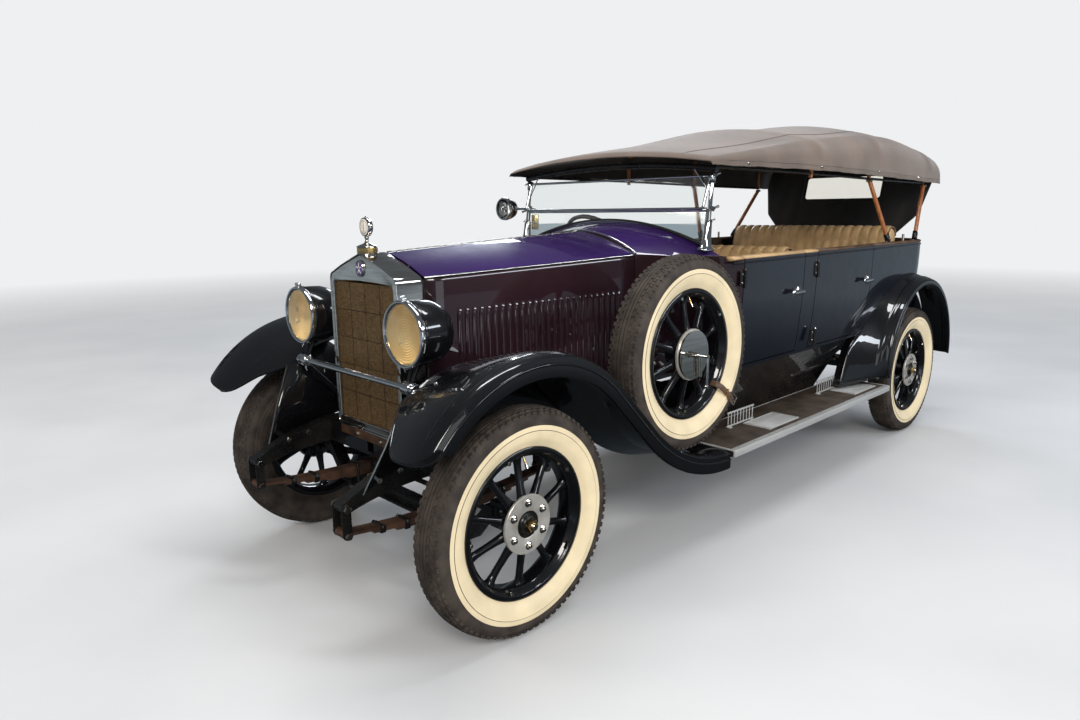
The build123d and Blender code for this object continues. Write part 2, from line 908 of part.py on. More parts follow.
def chassis_frame():
    """Both rails with their cross members, hangers, tank and front apron bracket."""
    pieces = [frame_rail(1), frame_rail(-1)]
    low = rail_top - rail_depth
    inner_front = rail_front_x + rail_flange / 2 - rail_web
    inner_rear = rail_rear_x + rail_flange / 2 - rail_web
    members = [
        # station, half length, bottom height
        (front_member_station, inner_front, front_member_low),
        (board_bracket_station, inner_rear, low + rail_web),
        (board_rear - board_bracket_end_gap, inner_rear, low + rail_web),
        (kick_start - kick_member_offset, inner_rear, low + rail_web),
    ]
    for y, reach, z in members:
        pieces.append(block(-reach, reach, y - cross_member_depth / 2, y + cross_member_depth / 2,
                            z, z + cross_member_height))
    pieces.append(block(-inner_rear + rear_member_gap, inner_rear - rear_member_gap,
        rail_rear_end - rear_member_start, rail_rear_end - rear_member_gap,
                        low + rear_member_lift, low + rear_member_lift + cross_member_height))
    for side in (1, -1):
        x = side * rail_front_x
        pieces.append(spring_hanger(x, -dumb_iron_reach, front_leaf_top + front_eye_rise,
                                    dumb_iron_eye_height, leaf_width))
        pieces.append(spring_hanger(x, front_spring_half, front_leaf_top + front_eye_rise,
                                    low, leaf_width))
        x = side * rail_rear_x
        for end in (-1, 1):
            y = wheelbase + end * rear_spring_half
            rise = min(max((y - kick_start) / kick_length, 0.0), 1.0)
            rail_low = low + rail_kick * rise + 2.0
            if y + spring_eye_radius > rail_rear_end:
                y = rail_rear_end - spring_eye_radius
            pieces.append(spring_hanger(x, y, rear_leaf_top + rear_eye_rise - rear_eye_drop, rail_low,
                leaf_width))
    frame = fused(pieces)
    tank_face = outline_face(
        (tank_front, tank_bottom + tank_corner),
        [[(tank_front + tank_corner_middle, tank_bottom + tank_corner_middle),
        (tank_front + tank_corner, tank_bottom)],
         [(tank_rear - tank_corner, tank_bottom)],
         [(tank_rear - tank_corner_middle, tank_bottom + tank_corner_middle),
         (tank_rear, tank_bottom + tank_corner)],
         [(tank_rear, tank_top)], [(tank_front, tank_top)], [(tank_front, tank_bottom + tank_corner)]],
        at_side(-tank_half_width))
    tank = prism(tank_face, (2 * tank_half_width, 0, 0))
    strap = block(-rail_rear_x, rail_rear_x, tank_front + tank_strap_start, tank_front + tank_strap_end,
                  tank_top - tank_strap_height, tank_top)
    frame = frame + tank + strap
    bore = rod((0, front_member_station - cross_member_depth, handle_height),
               (0, front_member_station + cross_member_depth, handle_height), starting_handle_bore)
    return frame - bore


nodes["chassis_frame"] = chassis_frame()


# Leaf springs

def leaf_pack(x, station, top, half_length):
    """Leaves on one curve, each one shorter than the leaf above it."""
    pieces = []
    centre_z = top + spring_curve_radius
    for number in range(leaf_count):
        reach = half_length - number * leaf_step
        upper = spring_curve_radius + number * leaf_thickness
        lower = upper + leaf_thickness
        sweep_angle = reach / spring_curve_radius
        y_up = upper * math.sin(sweep_angle)
        y_low = lower * math.sin(sweep_angle)
        z_up = centre_z - upper * math.cos(sweep_angle)
        z_low = centre_z - lower * math.cos(sweep_angle)
        face = outline_face(
            (station - y_up, z_up),
            [[(station, centre_z - upper), (station + y_up, z_up)], [(station + y_low, z_low)],
             [(station, centre_z - lower), (station - y_low, z_low)], [(station - y_up, z_up)]],
            at_side(x - leaf_width / 2))
        pieces.append(prism(face, (leaf_width, 0, 0)))
    return fused(pieces)


def leaf_springs():
    """Four packs: the front ones on the beam, the rear ones on the axle tubes."""
    packs = []
    for side in (1, -1):
        packs.append(leaf_pack(side * rail_front_x, 0.0, front_leaf_top, front_spring_half - front_leaf_gap))
        packs.append(leaf_pack(side * rail_rear_x, wheelbase, rear_leaf_top,
            rear_spring_half - rear_leaf_gap))
    return fused(packs)


nodes["leaf_springs"] = leaf_springs()


# Rear axle with differential, torque tube and backing plates

def rear_axle():
    """A tube axle: the torque tube runs forward to the gearbox."""
    z = tyre_radius
    plate_x = half_track - hub_inboard_reach + drum_wall - drum_depth - fork_gap
    tube = rod((-plate_x, wheelbase, z), (plate_x, wheelbase, z), rear_axle_tube_radius)
    ball = Pos(0, wheelbase, z) * Sphere(differential_radius)
    ring = turned_y([(wheelbase - axle_nose_reach, 0.0), (wheelbase - axle_nose_reach, axle_nose_radius),
        (wheelbase - axle_ring_reach, axle_ring_radius),
                     (wheelbase, axle_ring_radius), (wheelbase, 0.0)], 0.0, z)
    torque = rod((0, gearbox_rear + torque_tube_gap, z + torque_tube_rise),
        (0, wheelbase - torque_tube_end, z),
                 torque_tube_radius)
    pieces = [tube, ball, ring, torque]
    for side in (1, -1):
        inner = side * (plate_x - backing_plate_thickness)
        outer = side * plate_x
        pieces.append(turned_x([(inner, 0.0), (inner, drum_radius - 2.0), (outer, drum_radius - 2.0),
                                (outer, 0.0)], wheelbase, z))
        spindle_end = side * (half_track + spindle_reach)
        pieces.append(rod((outer - side * spindle_overlap, wheelbase, z), (spindle_end, wheelbase, z),
            spindle_radius))
        seat_x = side * rail_rear_x
        pieces.append(block(seat_x - leaf_width / 2, seat_x + leaf_width / 2, wheelbase - spring_seat_reach,
                            wheelbase + spring_seat_reach, z, rear_spring_seat))
    return fused(pieces)


nodes["rear_axle"] = rear_axle()


# Engine, gearbox and exhaust

def engine_and_exhaust():
    """A plain block with its gearbox, and the exhaust pipe with a round silencer."""
    block_part = block(-engine_half_width, engine_half_width, engine_front, engine_rear,
                       engine_bottom + sump_depth, engine_top)
    sump = block(-engine_half_width * sump_width_share, engine_half_width * sump_width_share,
        engine_front + sump_depth, engine_rear,
                 engine_bottom, engine_bottom + sump_depth)
    gearbox = block(-gearbox_half_width, gearbox_half_width, engine_rear, gearbox_rear,
                    engine_bottom + gearbox_lift, gearbox_top)
    start_y = engine_front + exhaust_start
    down_y = engine_rear + exhaust_drop
    z = exhaust_height
    pipe = [
        rod((-engine_half_width + manifold_depth, start_y, engine_bottom + manifold_height),
            (exhaust_x, start_y, engine_bottom + manifold_height), exhaust_pipe_radius),
        rod((exhaust_x, start_y, engine_bottom + manifold_height + exhaust_pipe_radius),
            (exhaust_x, start_y, z), exhaust_pipe_radius),
        Pos(exhaust_x, start_y, z) * Sphere(exhaust_pipe_radius),
        rod((exhaust_x, start_y, z), (exhaust_x, silencer_front + silencer_socket, z), exhaust_pipe_radius),
        rod((exhaust_x, silencer_front, z), (exhaust_x, silencer_rear, z), silencer_radius),
        rod((exhaust_x, silencer_rear - silencer_socket, z),
            (exhaust_x, kick_start + exhaust_rise_start, z), exhaust_pipe_radius),
        Pos(exhaust_x, kick_start + exhaust_rise_start, z) * Sphere(exhaust_pipe_radius),
        rod((exhaust_x, kick_start + exhaust_rise_start, z),
            (exhaust_x, kick_start + exhaust_rise_end, exhaust_tail_height),
            exhaust_pipe_radius),
        Pos(exhaust_x, kick_start + exhaust_rise_end, exhaust_tail_height) * Sphere(exhaust_pipe_radius),
        rod((exhaust_x, kick_start + exhaust_rise_end, exhaust_tail_height),
            (exhaust_x, tank_front - exhaust_tank_gap, exhaust_tail_height), exhaust_pipe_radius),
    ]
    return fused([block_part, sump, gearbox] + pipe)


nodes["engine_and_exhaust"] = engine_and_exhaust()


# Radiator shell with its pointed header, cap and round motometer

def radiator_outline(margin, bottom, place):
    """The shell's front outline, drawn in by a margin."""
    half = radiator_half_width - margin
    shoulder = shoulder_height - margin * 0.6
    return polygon_face([
        (-half, bottom), (half, bottom), (half, shoulder - shell_shoulder_drop),
        (half - shell_shoulder_inset, shoulder + shell_shoulder_rise),
        (shell_apex_half, radiator_apex - margin), (-shell_apex_half, radiator_apex - margin),
        (-half + shell_shoulder_inset, shoulder + shell_shoulder_rise),
        (-half, shoulder - shell_shoulder_drop)], place)


radiator_rear = radiator_front + radiator_depth


def radiator_shell():
    """A folded metal shell, open in front of the core and hollow behind it."""
    shell = prism(radiator_outline(0.0, radiator_bottom, at_front(radiator_front)),
                  (0, radiator_depth, 0))
    inner_half = radiator_half_width - core_margin
    opening = block(-inner_half, inner_half, radiator_front - 1.0, radiator_rear + 1.0,
                    core_bottom, core_top)
    shell = shell - opening
    neck_low = radiator_apex - neck_sink
    neck_top = radiator_apex + cap_height * 0.6
    cap_top = neck_top + cap_height
    neck = rod((0, cap_station, neck_low), (0, cap_station, neck_top), cap_radius * 0.82)
    cap = rod((0, cap_station, neck_top), (0, cap_station, cap_top), cap_radius)
    stem = rod((0, cap_station, cap_top), (0, cap_station,
        motometer_height - motometer_radius + motometer_sink), motometer_stem_radius)
    dial = rod((0, cap_station - motometer_thickness / 2, motometer_height),
               (0, cap_station + motometer_thickness / 2, motometer_height), motometer_radius)
    finial = Pos(0, cap_station, motometer_height + motometer_radius + finial_lift) * Sphere(finial_radius)
    return fused([shell, neck, cap, stem, dial, finial])


nodes["radiator_shell"] = radiator_shell()


def radiator_core():
    """The honeycomb block, with the thin strips that divide its face."""
    half = radiator_half_width - core_margin
    front = radiator_front + core_recess
    core = block(-half, half, front, front + core_depth, core_bottom, core_top)
    strip = core_strip
    columns = 4
    for number in range(1, columns):
        x = -half + 2 * half * number / columns
        core = core + block(x - strip / 2, x + strip / 2, front - strip, front + 1.0,
                            core_bottom, core_top)
    return core


nodes["radiator_core"] = radiator_core()


# Bonnet: two hinged tops and two louvred sides

def bonnet_section(y, along):
    """Half width, crease height and ridge height of the bonnet at a share of its length."""
    width = radiator_half_width + along * (bonnet_rear_half_width - radiator_half_width)
    crease = bonnet_front_crease + along * (bonnet_rear_crease - bonnet_front_crease)
    ridge = radiator_apex + along * (bonnet_rear_ridge - radiator_apex)
    return width, crease, ridge


bonnet_start = radiator_rear + bonnet_gap
bonnet_end = bonnet_rear - bonnet_gap


def bonnet_top():
    """The left top panel, from the centre hinge to the crease, slightly arched."""
    sections = []
    for y, along in [(bonnet_start, 0.0), (bonnet_end, 1.0)]:
        width, crease, ridge = bonnet_section(y, along)
        gap = bonnet_gap / 2
        mid = (width * 0.55, crease + (ridge - crease) * 0.60)
        skin = bonnet_skin
        points = [(gap, ridge), mid, (width - bonnet_side_seat, crease + bonnet_crease_gap),
            (width - bonnet_side_seat - skin * bonnet_lip_share, crease + bonnet_crease_gap - skin),
                  (mid[0] - skin * 0.2, mid[1] - skin), (gap, ridge - skin)]
        sections.append(polygon_face(points, at_front(y)))
    return loft(sections, ruled=True)


def bonnet_side():
    """The left side panel with its row of upright louvres."""
    sections = []
    for y, along in [(bonnet_start, 0.0), (bonnet_end, 1.0)]:
        width, crease, ridge = bonnet_section(y, along)
        top = crease - bonnet_gap - 2.0
        points = [(width, top), (width - bonnet_skin, top), (width - bonnet_skin, bonnet_bottom),
                  (width, bonnet_bottom)]
        sections.append(polygon_face(points, at_front(y)))
    panel = loft(sections, ruled=True)
    slope = (bonnet_rear_half_width - radiator_half_width) / (bonnet_end - bonnet_start)
    louvres = []
    for number in range(louvre_count):
        y = louvre_first + number * louvre_pitch
        x = radiator_half_width + slope * (y - bonnet_start) - 1.0
        wedge = polygon_face([
            (x, y), (x + louvre_height + slope * louvre_width, y + louvre_width),
            (x + slope * louvre_width, y + louvre_width)], at_plan(louvre_bottom))
        louvres.append(prism(wedge, (0, 0, louvre_top - louvre_bottom)))
    return fused([panel] + louvres)


nodes["bonnet_top_left"] = bonnet_top()
nodes["bonnet_top_right"] = mirrored(nodes["bonnet_top_left"])
nodes["bonnet_side_left"] = bonnet_side()
nodes["bonnet_side_right"] = mirrored(nodes["bonnet_side_left"])


# Scuttle with bulkhead, dash and steering column

def scuttle_section(y, half, low_half, crease, ridge, bottom):
    """A closed section: level floor, sides up to the crease and one arc over the top."""
    return outline_face((-low_half, bottom), [
        [(low_half, bottom)], [(half, crease)], [(0.0, ridge), (-half, crease)], [(-low_half, bottom)]],
        at_front(y))


def scuttle_shape(inset, start):
    """The flared body of the scuttle, drawn in by an inset."""
    rows = [
        # station, half width, half width at the floor, crease, ridge
        (bonnet_rear, bonnet_rear_half_width, bonnet_rear_half_width, bonnet_rear_crease, bonnet_rear_ridge),
        (scuttle_mid, scuttle_mid_half_width, scuttle_mid_half_width - scuttle_mid_inset, scuttle_mid_crease,
         scuttle_mid_ridge),
        (scuttle_rear, scuttle_rear_half_width, scuttle_rear_low_half_width, scuttle_rear_crease,
         scuttle_rear_ridge),
    ]
    stretches = []
    for first, second in zip(rows, rows[1:]):
        faces = []
        for row in (first, second):
            y = row[0] + (start if row is rows[0] else 0.0)
            if row is rows[-1] and inset > 0.0:
                y = y + 1.0
            faces.append(scuttle_section(y, row[1] - inset, row[2] - inset, row[3] - inset * 0.5,
                                         row[4] - inset, body_bottom + inset * 0.75))
        stretches.append(loft(faces, ruled=True))
    return fused(stretches)


def wall_face(y, inner, outer):
    """The body side's section between two insets from its outer skin."""
    return outline_face((body_bottom_half_width - outer, body_bottom), [
        [(body_mid_half_width - outer, body_mid_height), (body_half_width - outer, belt_height)],
        [(body_half_width - inner, belt_height)],
        [(body_mid_half_width - inner, body_mid_height), (body_bottom_half_width - inner, body_bottom)],
        [(body_bottom_half_width - outer, body_bottom)]], at_front(y))


def cheek_face(y, low_half, half, top):
    """The side wall's section where it narrows towards the scuttle."""
    mid = low_half + (half - low_half) * 0.78
    return outline_face((low_half, body_bottom), [
        [(mid, body_mid_height), (half, top)], [(half - wall_thickness, top)],
        [(mid - wall_thickness, body_mid_height), (low_half - wall_thickness, body_bottom)],
        [(low_half, body_bottom)]], at_front(y))


def column_point(distance):
    """A point on the steering axis, measured down from the wheel's centre."""
    angle = math.radians(column_angle)
    return (column_x, steering_centre_station - distance * math.cos(angle),
            steering_centre_height - distance * math.sin(angle))


def scuttle():
    """A hollow flared shell closed by the bulkhead in front, with the dash behind."""
    outer = scuttle_shape(0.0, 0.0)
    inner = scuttle_shape(scuttle_wall, scuttle_wall)
    shell = outer - inner
    cheek = loft([cheek_face(scuttle_rear, scuttle_rear_low_half_width, scuttle_rear_half_width,
                             scuttle_rear_crease),
                  cheek_face(front_door_start - door_gap, body_bottom_half_width, body_half_width,
                             belt_height)], ruled=True)
    dash_half = scuttle_rear_half_width - scuttle_wall + 1.0
    dash = prism(scuttle_section(scuttle_rear - dash_thickness, dash_half, dash_half - dash_inset,
                                 scuttle_rear_crease - scuttle_wall * 0.5,
                                 scuttle_rear_ridge - scuttle_wall + 1.0, body_bottom),
                 (0, dash_thickness, 0))
    dash = dash & block(-dash_half, dash_half, scuttle_rear - 2 * dash_thickness, scuttle_rear + 1.0,
                        dash_bottom, scuttle_rear_ridge)
    shaft_hole = steering_shaft_radius + running_clearance
    shell = fused([shell, cheek, mirrored(cheek), dash])
    column = rod(column_point(column_start), column_point(column_length), column_radius)
    box_end = column_point(column_length - steering_box_overlap)
    gear_box = block(column_x - steering_box_half, column_x + steering_box_half,
        box_end[1] - steering_box_low, box_end[1] + steering_box_rear,
                     box_end[2] - steering_box_low, box_end[2] + steering_box_high)
    shell = fused([shell, column, gear_box])
    return shell - rod(column_point(shaft_hole_start), column_point(shaft_hole_end), shaft_hole)


nodes["scuttle"] = scuttle()


# Body tub with floor, wheelhouses and seat bases

def body_shell(inner, outer):
    """The wall's section carried along the sides, round the rear corners and across the back."""
    side_start = front_door_start - door_gap
    corner_y = body_rear - body_corner_radius
    centre_x = body_half_width - body_corner_radius
    side = prism(wall_face(side_start, inner, outer), (0, corner_y - side_start, 0))
    corner = revolve(wall_face(corner_y, inner, outer),
                     Axis((centre_x, corner_y, 0), (0, 0, 1)), quarter_turn)
    back_face = wall_face(corner_y, inner, outer)
    back = prism(back_face, (0, centre_x, 0))
    back = Pos(centre_x, corner_y, 0) * Rot(0, 0, 90) * Pos(-centre_x, -corner_y, 0) * back
    half = fused([side, corner, back])
    return half + mirrored(half)


def door_cut(start, end, cut_corner, grow):
    """The space of one door in the wall, grown by the gap."""
    rear = end + grow
    points = [(start - grow, door_bottom - grow), (rear, door_bottom - grow), (rear, belt_height + 1.0),
              (start - grow, belt_height + 1.0)]
    if cut_corner:
        slope = (end - rear_door_cut_station) / (rear_door_cut_height - door_bottom)
        shift = grow * 1.2
        points[1:2] = [(rear_door_cut_station + shift - grow * slope, door_bottom - grow),
                       (rear, rear_door_cut_height - shift)]
    return prism(polygon_face(points, at_side(body_bottom_half_width - wall_thickness - door_cut_inside)),
                 (wall_thickness + door_cut_depth, 0, 0))


def wheelhouse(side, grow):
    """The round space over a rear wheel, seen from the side."""
    x_in = wheelhouse_inner_x - grow
    x_out = body_half_width + door_cut_outside
    start = (x_in if side == 1 else -x_in, wheelbase, rear_wing_arc_height)
    end = (x_out if side == 1 else -x_out, wheelbase, rear_wing_arc_height)
    return rod(start, end, wheelhouse_radius + grow)


def body_tub():
    """Walls, floor, sills, wheelhouses, seat bases and the pillars between the doors."""
    walls = body_shell(wall_thickness, 0.0)
    floor_half = body_bottom_half_width - wall_thickness + floor_edge_seat
    floor_rear = body_rear - wall_thickness
    toe_half = scuttle_rear_low_half_width - wall_thickness - 1.0
    side_start = front_door_start - door_gap
    toe_floor = block(-toe_half, toe_half, scuttle_rear + 1.0, side_start + 1.0, body_bottom,
                      body_bottom + floor_thickness)
    floor = block(-floor_half, floor_half, side_start, wheelbase - floor_end, body_bottom,
                  body_bottom + floor_thickness)
    rear_half = body_bottom_half_width - body_corner_radius * 0.6
    rear_floor = block(-rear_half, rear_half, wheelbase - rear_floor_start, floor_rear, body_bottom,
                       body_bottom + floor_thickness)
    tub = fused([walls, toe_floor, floor, rear_floor])
    for side in (1, -1):
        low = min(side * (rail_rear_x - sill_width / 2), side * (rail_rear_x + sill_width / 2))
        tub = tub + block(low, low + sill_width, rail_jog_start + rail_jog_length + sill_start_gap,
                          kick_start - sill_end_gap, rail_top, body_bottom)
    front_base = block(-floor_half + seat_base_gap, floor_half - seat_base_gap,
        front_seat_front + seat_base_set_back,
                       front_seat_back - seat_base_rear, body_bottom + floor_thickness - seat_base_sink,
                           seat_base_top)
    rear_base = block(-rear_seat_half_width, rear_seat_half_width, rear_seat_front + seat_base_set_back,
                      rear_seat_back + seat_base_rear, body_bottom + floor_thickness - seat_base_sink,
                          seat_base_top)
    tub = fused([tub, front_base, rear_base])
    for side in (1, -1):
        cover = wheelhouse(side, wheelhouse_wall)
        keep = block(min(0.0, side * (body_bottom_half_width - wheel_house_depth)),
            max(0.0, side * (body_bottom_half_width - wheel_house_depth)),
                     wheelbase - wheel_house_half, wheelbase + wheel_house_half, body_bottom, belt_height)
        tub = tub + (cover & keep)
        tub = tub - wheelhouse(side, 0.0)
    for start, end, cut_corner in [(front_door_start, front_door_end, False),
                                   (rear_door_start, rear_door_end, True)]:
        cut = door_cut(start, end, cut_corner, door_gap)
        tub = tub - cut - mirrored(cut)
    return tub


nodes["body_tub"] = body_tub()


def door(start, end, cut_corner):
    """One door: its piece of the wall with a handle near the rear edge."""
    wall = prism(wall_face(start, wall_thickness, 0.0), (0, end - start, 0))
    panel = wall & door_cut(start, end, cut_corner, 0.0)
    handle_x = body_half_width + door_handle_reach
    boss = rod((body_half_width - door_handle_root, end - door_handle_set_in, door_handle_height),
        (handle_x, end - door_handle_set_in, door_handle_height), door_handle_boss)
    lever = rod((handle_x, end - door_lever_start, door_handle_height),
        (handle_x, end - door_lever_end, door_handle_height), door_lever_radius)
    return fused([panel, boss, lever])


nodes["door_front_left"] = door(front_door_start, front_door_end, False)
nodes["door_front_right"] = mirrored(nodes["door_front_left"])
nodes["door_rear_left"] = door(rear_door_start, rear_door_end, True)
nodes["door_rear_right"] = mirrored(nodes["door_rear_left"])


# Seats

def seat(front, back, half, top_back):
    """A cushion with rounded front and a raked back with a rounded head."""
    base = seat_base_top + seat_clearance
    top = base + cushion_thickness
    cushion = outline_face((front, base), [
        [(back - seat_back_thickness, base)], [(back - seat_back_thickness, top - cushion_rear_drop)],
        [(front + cushion_crown_start, top)], [(front, top - cushion_front_drop),
        (front - cushion_front_bulge, top - cushion_bulge_drop)], [(front, base)]],
        at_side(-half))
    lean = squab_lean
    back_face = outline_face((back - seat_back_thickness - lean, base + squab_foot), [
        [(back - lean, base)], [(back, top_back - squab_round_drop)],
        [(back - seat_back_thickness / 2 + squab_round_rear, top_back),
        (back - seat_back_thickness + squab_round_front, top_back - squab_round_drop)],
        [(back - seat_back_thickness - lean, base + squab_foot)]], at_side(-half))
    return prism(cushion, (2 * half, 0, 0)) + prism(back_face, (2 * half, 0, 0))


nodes["front_seat"] = seat(front_seat_front, front_seat_back + seat_back_reach,
                           body_bottom_half_width - wall_thickness - 2 * seat_clearance, front_back_top)
nodes["rear_seat"] = seat(rear_seat_front, rear_seat_back + seat_back_reach, rear_seat_half_width,
    rear_back_top)


# Wings

def swept_wing(section, stretches):
    """A (x, offset) section carried along arcs and a straight slope, as one sheet."""
    pieces = []
    for kind, centre, radius, start, sweep_angle in stretches:
        if kind == "over":
            points = [(x, radius + offset) for x, offset in section]
        else:
            points = [(x, radius - offset) for x, offset in section]
        face = polygon_face([(x, centre[0], centre[1] + r) for x, r in points], lambda p: Vector(*p))
        face = Pos(0, centre[0], centre[1]) * Rot(start, 0, 0) * Pos(0, -centre[0], -centre[1]) * face
        pieces.append(revolve(face, Axis((0, centre[0], centre[1]), (1, 0, 0)), sweep_angle))
    return pieces


wing_skin_points = [
    # x, height over the outer edge
    (wing_outer_x, 0.0), (wing_outer_x, wing_edge_turn),
    (wing_outer_x - wing_round_inset, wing_round_rise), (wing_outer_x - wing_crown_inset, wing_crown_rise),
    (wing_outer_x - wing_fall_inset, wing_fall_rise), (wing_inner_bend_x, -wing_inner_bend_drop),
    (wing_inner_x, -wing_inner_drop)]


def sheet_section(points):
    """A closed section: the outer skin and the same line one sheet lower."""
    under = [(points[0][0] - wing_skin, points[0][1])]
    under.append((points[1][0] - wing_skin, points[1][1] - wing_lip_depth))
    for x, offset in points[2:]:
        under.append((x - 2.0 if x != points[-1][0] else x, offset - wing_skin))
    return points + under[::-1]


def front_wing():
    """The left front wing: arc over the wheel, straight slope, hollow arc into the board."""
    section = sheet_section(wing_skin_points)
    centre = (front_wing_arc_station, front_wing_arc_height)
    radius = front_wing_arc_radius
    slope = math.radians(wing_slope_angle)
    top_y = centre[0] + radius * math.sin(slope)
    top_z = centre[1] + radius * math.cos(slope)
    run = (front_wing_slope_end - top_y) / math.cos(slope)
    end_z = top_z - run * math.sin(slope)
    pieces = swept_wing(section, [("over", centre, radius, front_wing_tip_angle,
                                   -front_wing_tip_angle - wing_slope_angle)])
    normal = (math.sin(slope), math.cos(slope))
    slope_face = polygon_face([(x, top_y + offset * normal[0], top_z + offset * normal[1])
                               for x, offset in section], lambda p: Vector(*p))
    pieces.append(prism(slope_face, (0, run * math.cos(slope), -run * math.sin(slope))))
    hollow_y = front_wing_slope_end + tail_arc_radius * math.sin(slope)
    hollow_z = end_z + tail_arc_radius * math.cos(slope)
    pieces += swept_wing(section, [("under", (hollow_y, hollow_z), tail_arc_radius,
                                    half_turn - wing_slope_angle, wing_slope_angle)])
    tail_z = hollow_z - tail_arc_radius
    if front_wing_tail > hollow_y:
        tail_face = polygon_face([(x, hollow_y, tail_z + offset) for x, offset in section],
                                 lambda p: Vector(*p))
        pieces.append(prism(tail_face, (0, front_wing_tail - hollow_y, 0)))
    wing = fused(pieces)
    valance = outline_face((-valance_front, front_valance_bottom), [
        [(valance_rear, front_valance_bottom)], [(valance_rear_top, valance_rear_height)],
        [(valance_crown, valance_crown_height), (-valance_front_bend, valance_front_height)],
        [(-valance_front, front_valance_bottom)]], at_side(wing_inner_x - 1.0))
    wing = wing + prism(valance, (wing_skin, 0, 0))
    return wing


def spare_well(wing):
    """The left wing with a round trough that takes the foot of the spare tyre."""
    slope = math.radians(wing_slope_angle)
    lift = wing_rib_start
    normal = (math.sin(slope) * lift, math.cos(slope) * lift)
    top = (front_wing_arc_station + front_wing_arc_radius * math.sin(slope) + normal[0],
           front_wing_arc_height + front_wing_arc_radius * math.cos(slope) + normal[1])
    run = front_wing_slope_end + normal[0] - top[0]
    foot = (top[0] + run, top[1] - run)
    hollow_y = front_wing_slope_end + tail_arc_radius * math.sin(slope)
    hollow_z = foot[1] - normal[1] + tail_arc_radius * math.cos(slope)
    radius = tail_arc_radius - lift
    half_slope = slope / 2
    way = (hollow_y - radius * math.sin(half_slope), hollow_z - radius * math.cos(half_slope))
    tail = (hollow_y, hollow_z - radius)
    low = board_top - wing_cut_depth
    region = outline_face(top, [[foot], [way, tail], [(tail[0], low)], [(top[0], low)], [top]],
                          at_side(spare_x - tyre_width / 2 - well_clearance - wing_skin))
    inner_x = spare_x - tyre_width / 2 - well_clearance
    outer_x = wing_outer_x - wing_skin
    region = prism(region, (outer_x - inner_x + wing_skin, 0, 0))
    reach = tyre_radius + well_clearance
    hollow = rod((inner_x, spare_station, spare_height), (outer_x, spare_station, spare_height), reach)
    skin = rod((inner_x - wing_skin, spare_station, spare_height),
               (outer_x, spare_station, spare_height), reach + wing_skin)
    return (wing + (skin & region)) - hollow


def front_wings():
    """Both front wings: only the left one has the well."""
    wing = front_wing()
    return fused([spare_well(wing), mirrored(wing)])


nodes["front_wings"] = front_wings()


def body_side_solid():
    """The left side of the body filled in, to trim the wings against."""
    corner_y = body_rear - body_corner_radius
    start = rear_door_start
    side = prism(wall_face(start, rear_wall_low, -rear_wall_offset), (0, corner_y - start, 0))
    centre_x = body_half_width - body_corner_radius
    corner = revolve(wall_face(corner_y, body_bottom_half_width - centre_x - 1.0, -0.5),
                     Axis((centre_x, corner_y, 0), (0, 0, 1)), quarter_turn)
    return side + corner


def rear_wing():
    """The left rear wing: an arc over the wheel that flares forward along the body."""
    centre = (wheelbase, rear_wing_arc_height)
    outer = rear_wing_arc_radius
    rows = [
        # angle forward of the top, radius at the body
        (30.0, 563.0), (48.0, 584.0), (65.0, 658.0), (78.0, 770.0), (94.0, 850.0),
    ]

    def section(inner, deep):
        rise = inner - rows[0][1]
        skin = [(wing_outer_x, outer), (wing_outer_x, outer + wing_edge_turn),
            (wing_outer_x - wing_round_inset, outer + wing_round_rise),
                (wing_outer_x - wing_crown_inset, outer + rear_crown_rise + rise * rear_crown_share),
                (wing_outer_x - rear_fall_inset, outer + rear_fall_rise + rise * rear_fall_share),
                (rear_wing_bend_x, inner),
                (rear_wing_inner_x, inner + rear_wing_edge_rise)]
        under = [(wing_outer_x - wing_skin, outer), (wing_outer_x - wing_skin, outer + rear_lip_depth)]
        under += [(x - 2.0, r - deep) for x, r in skin[2:-1]] + [(skin[-1][0], skin[-1][1] - deep)]
        return skin + under[::-1]

    def radial_face(angle, inner, deep):
        face = polygon_face([(x, centre[0], centre[1] + r) for x, r in section(inner, deep)],
                            lambda p: Vector(*p))
        return Pos(0, *centre) * Rot(angle, 0, 0) * Pos(0, -centre[0], -centre[1]) * face

    axis = Axis((0, centre[0], centre[1]), (1, 0, 0))
    pieces = [revolve(radial_face(rows[0][0], rows[0][1], wing_skin), axis,
                      -rows[0][0] - rear_wing_rear_angle)]
    for first, second in zip(rows, rows[1:]):
        deep_first = wing_skin + (first[1] - rows[0][1]) * 0.05
        deep_second = wing_skin + (second[1] - rows[0][1]) * 0.05
        pieces.append(loft([radial_face(first[0], first[1], deep_first),
                            radial_face(second[0], second[1], deep_second)], ruled=True))
    wing = fused(pieces)
    below = block(0.0, wing_outer_x + cut_overrun, wheelbase - 2 * rear_wing_arc_radius, wheelbase, 0.0,
                  board_top + 0.5)
    return wing - below - body_side_solid()


def rear_wings():
    """Both rear wings."""
    wing = rear_wing()
    return fused([wing, mirrored(wing)])


nodes["rear_wings"] = rear_wings()


# Running boards and splash aprons

board_front = front_wing_slope_end + tail_arc_radius * math.sin(math.radians(wing_slope_angle)) + 1.0


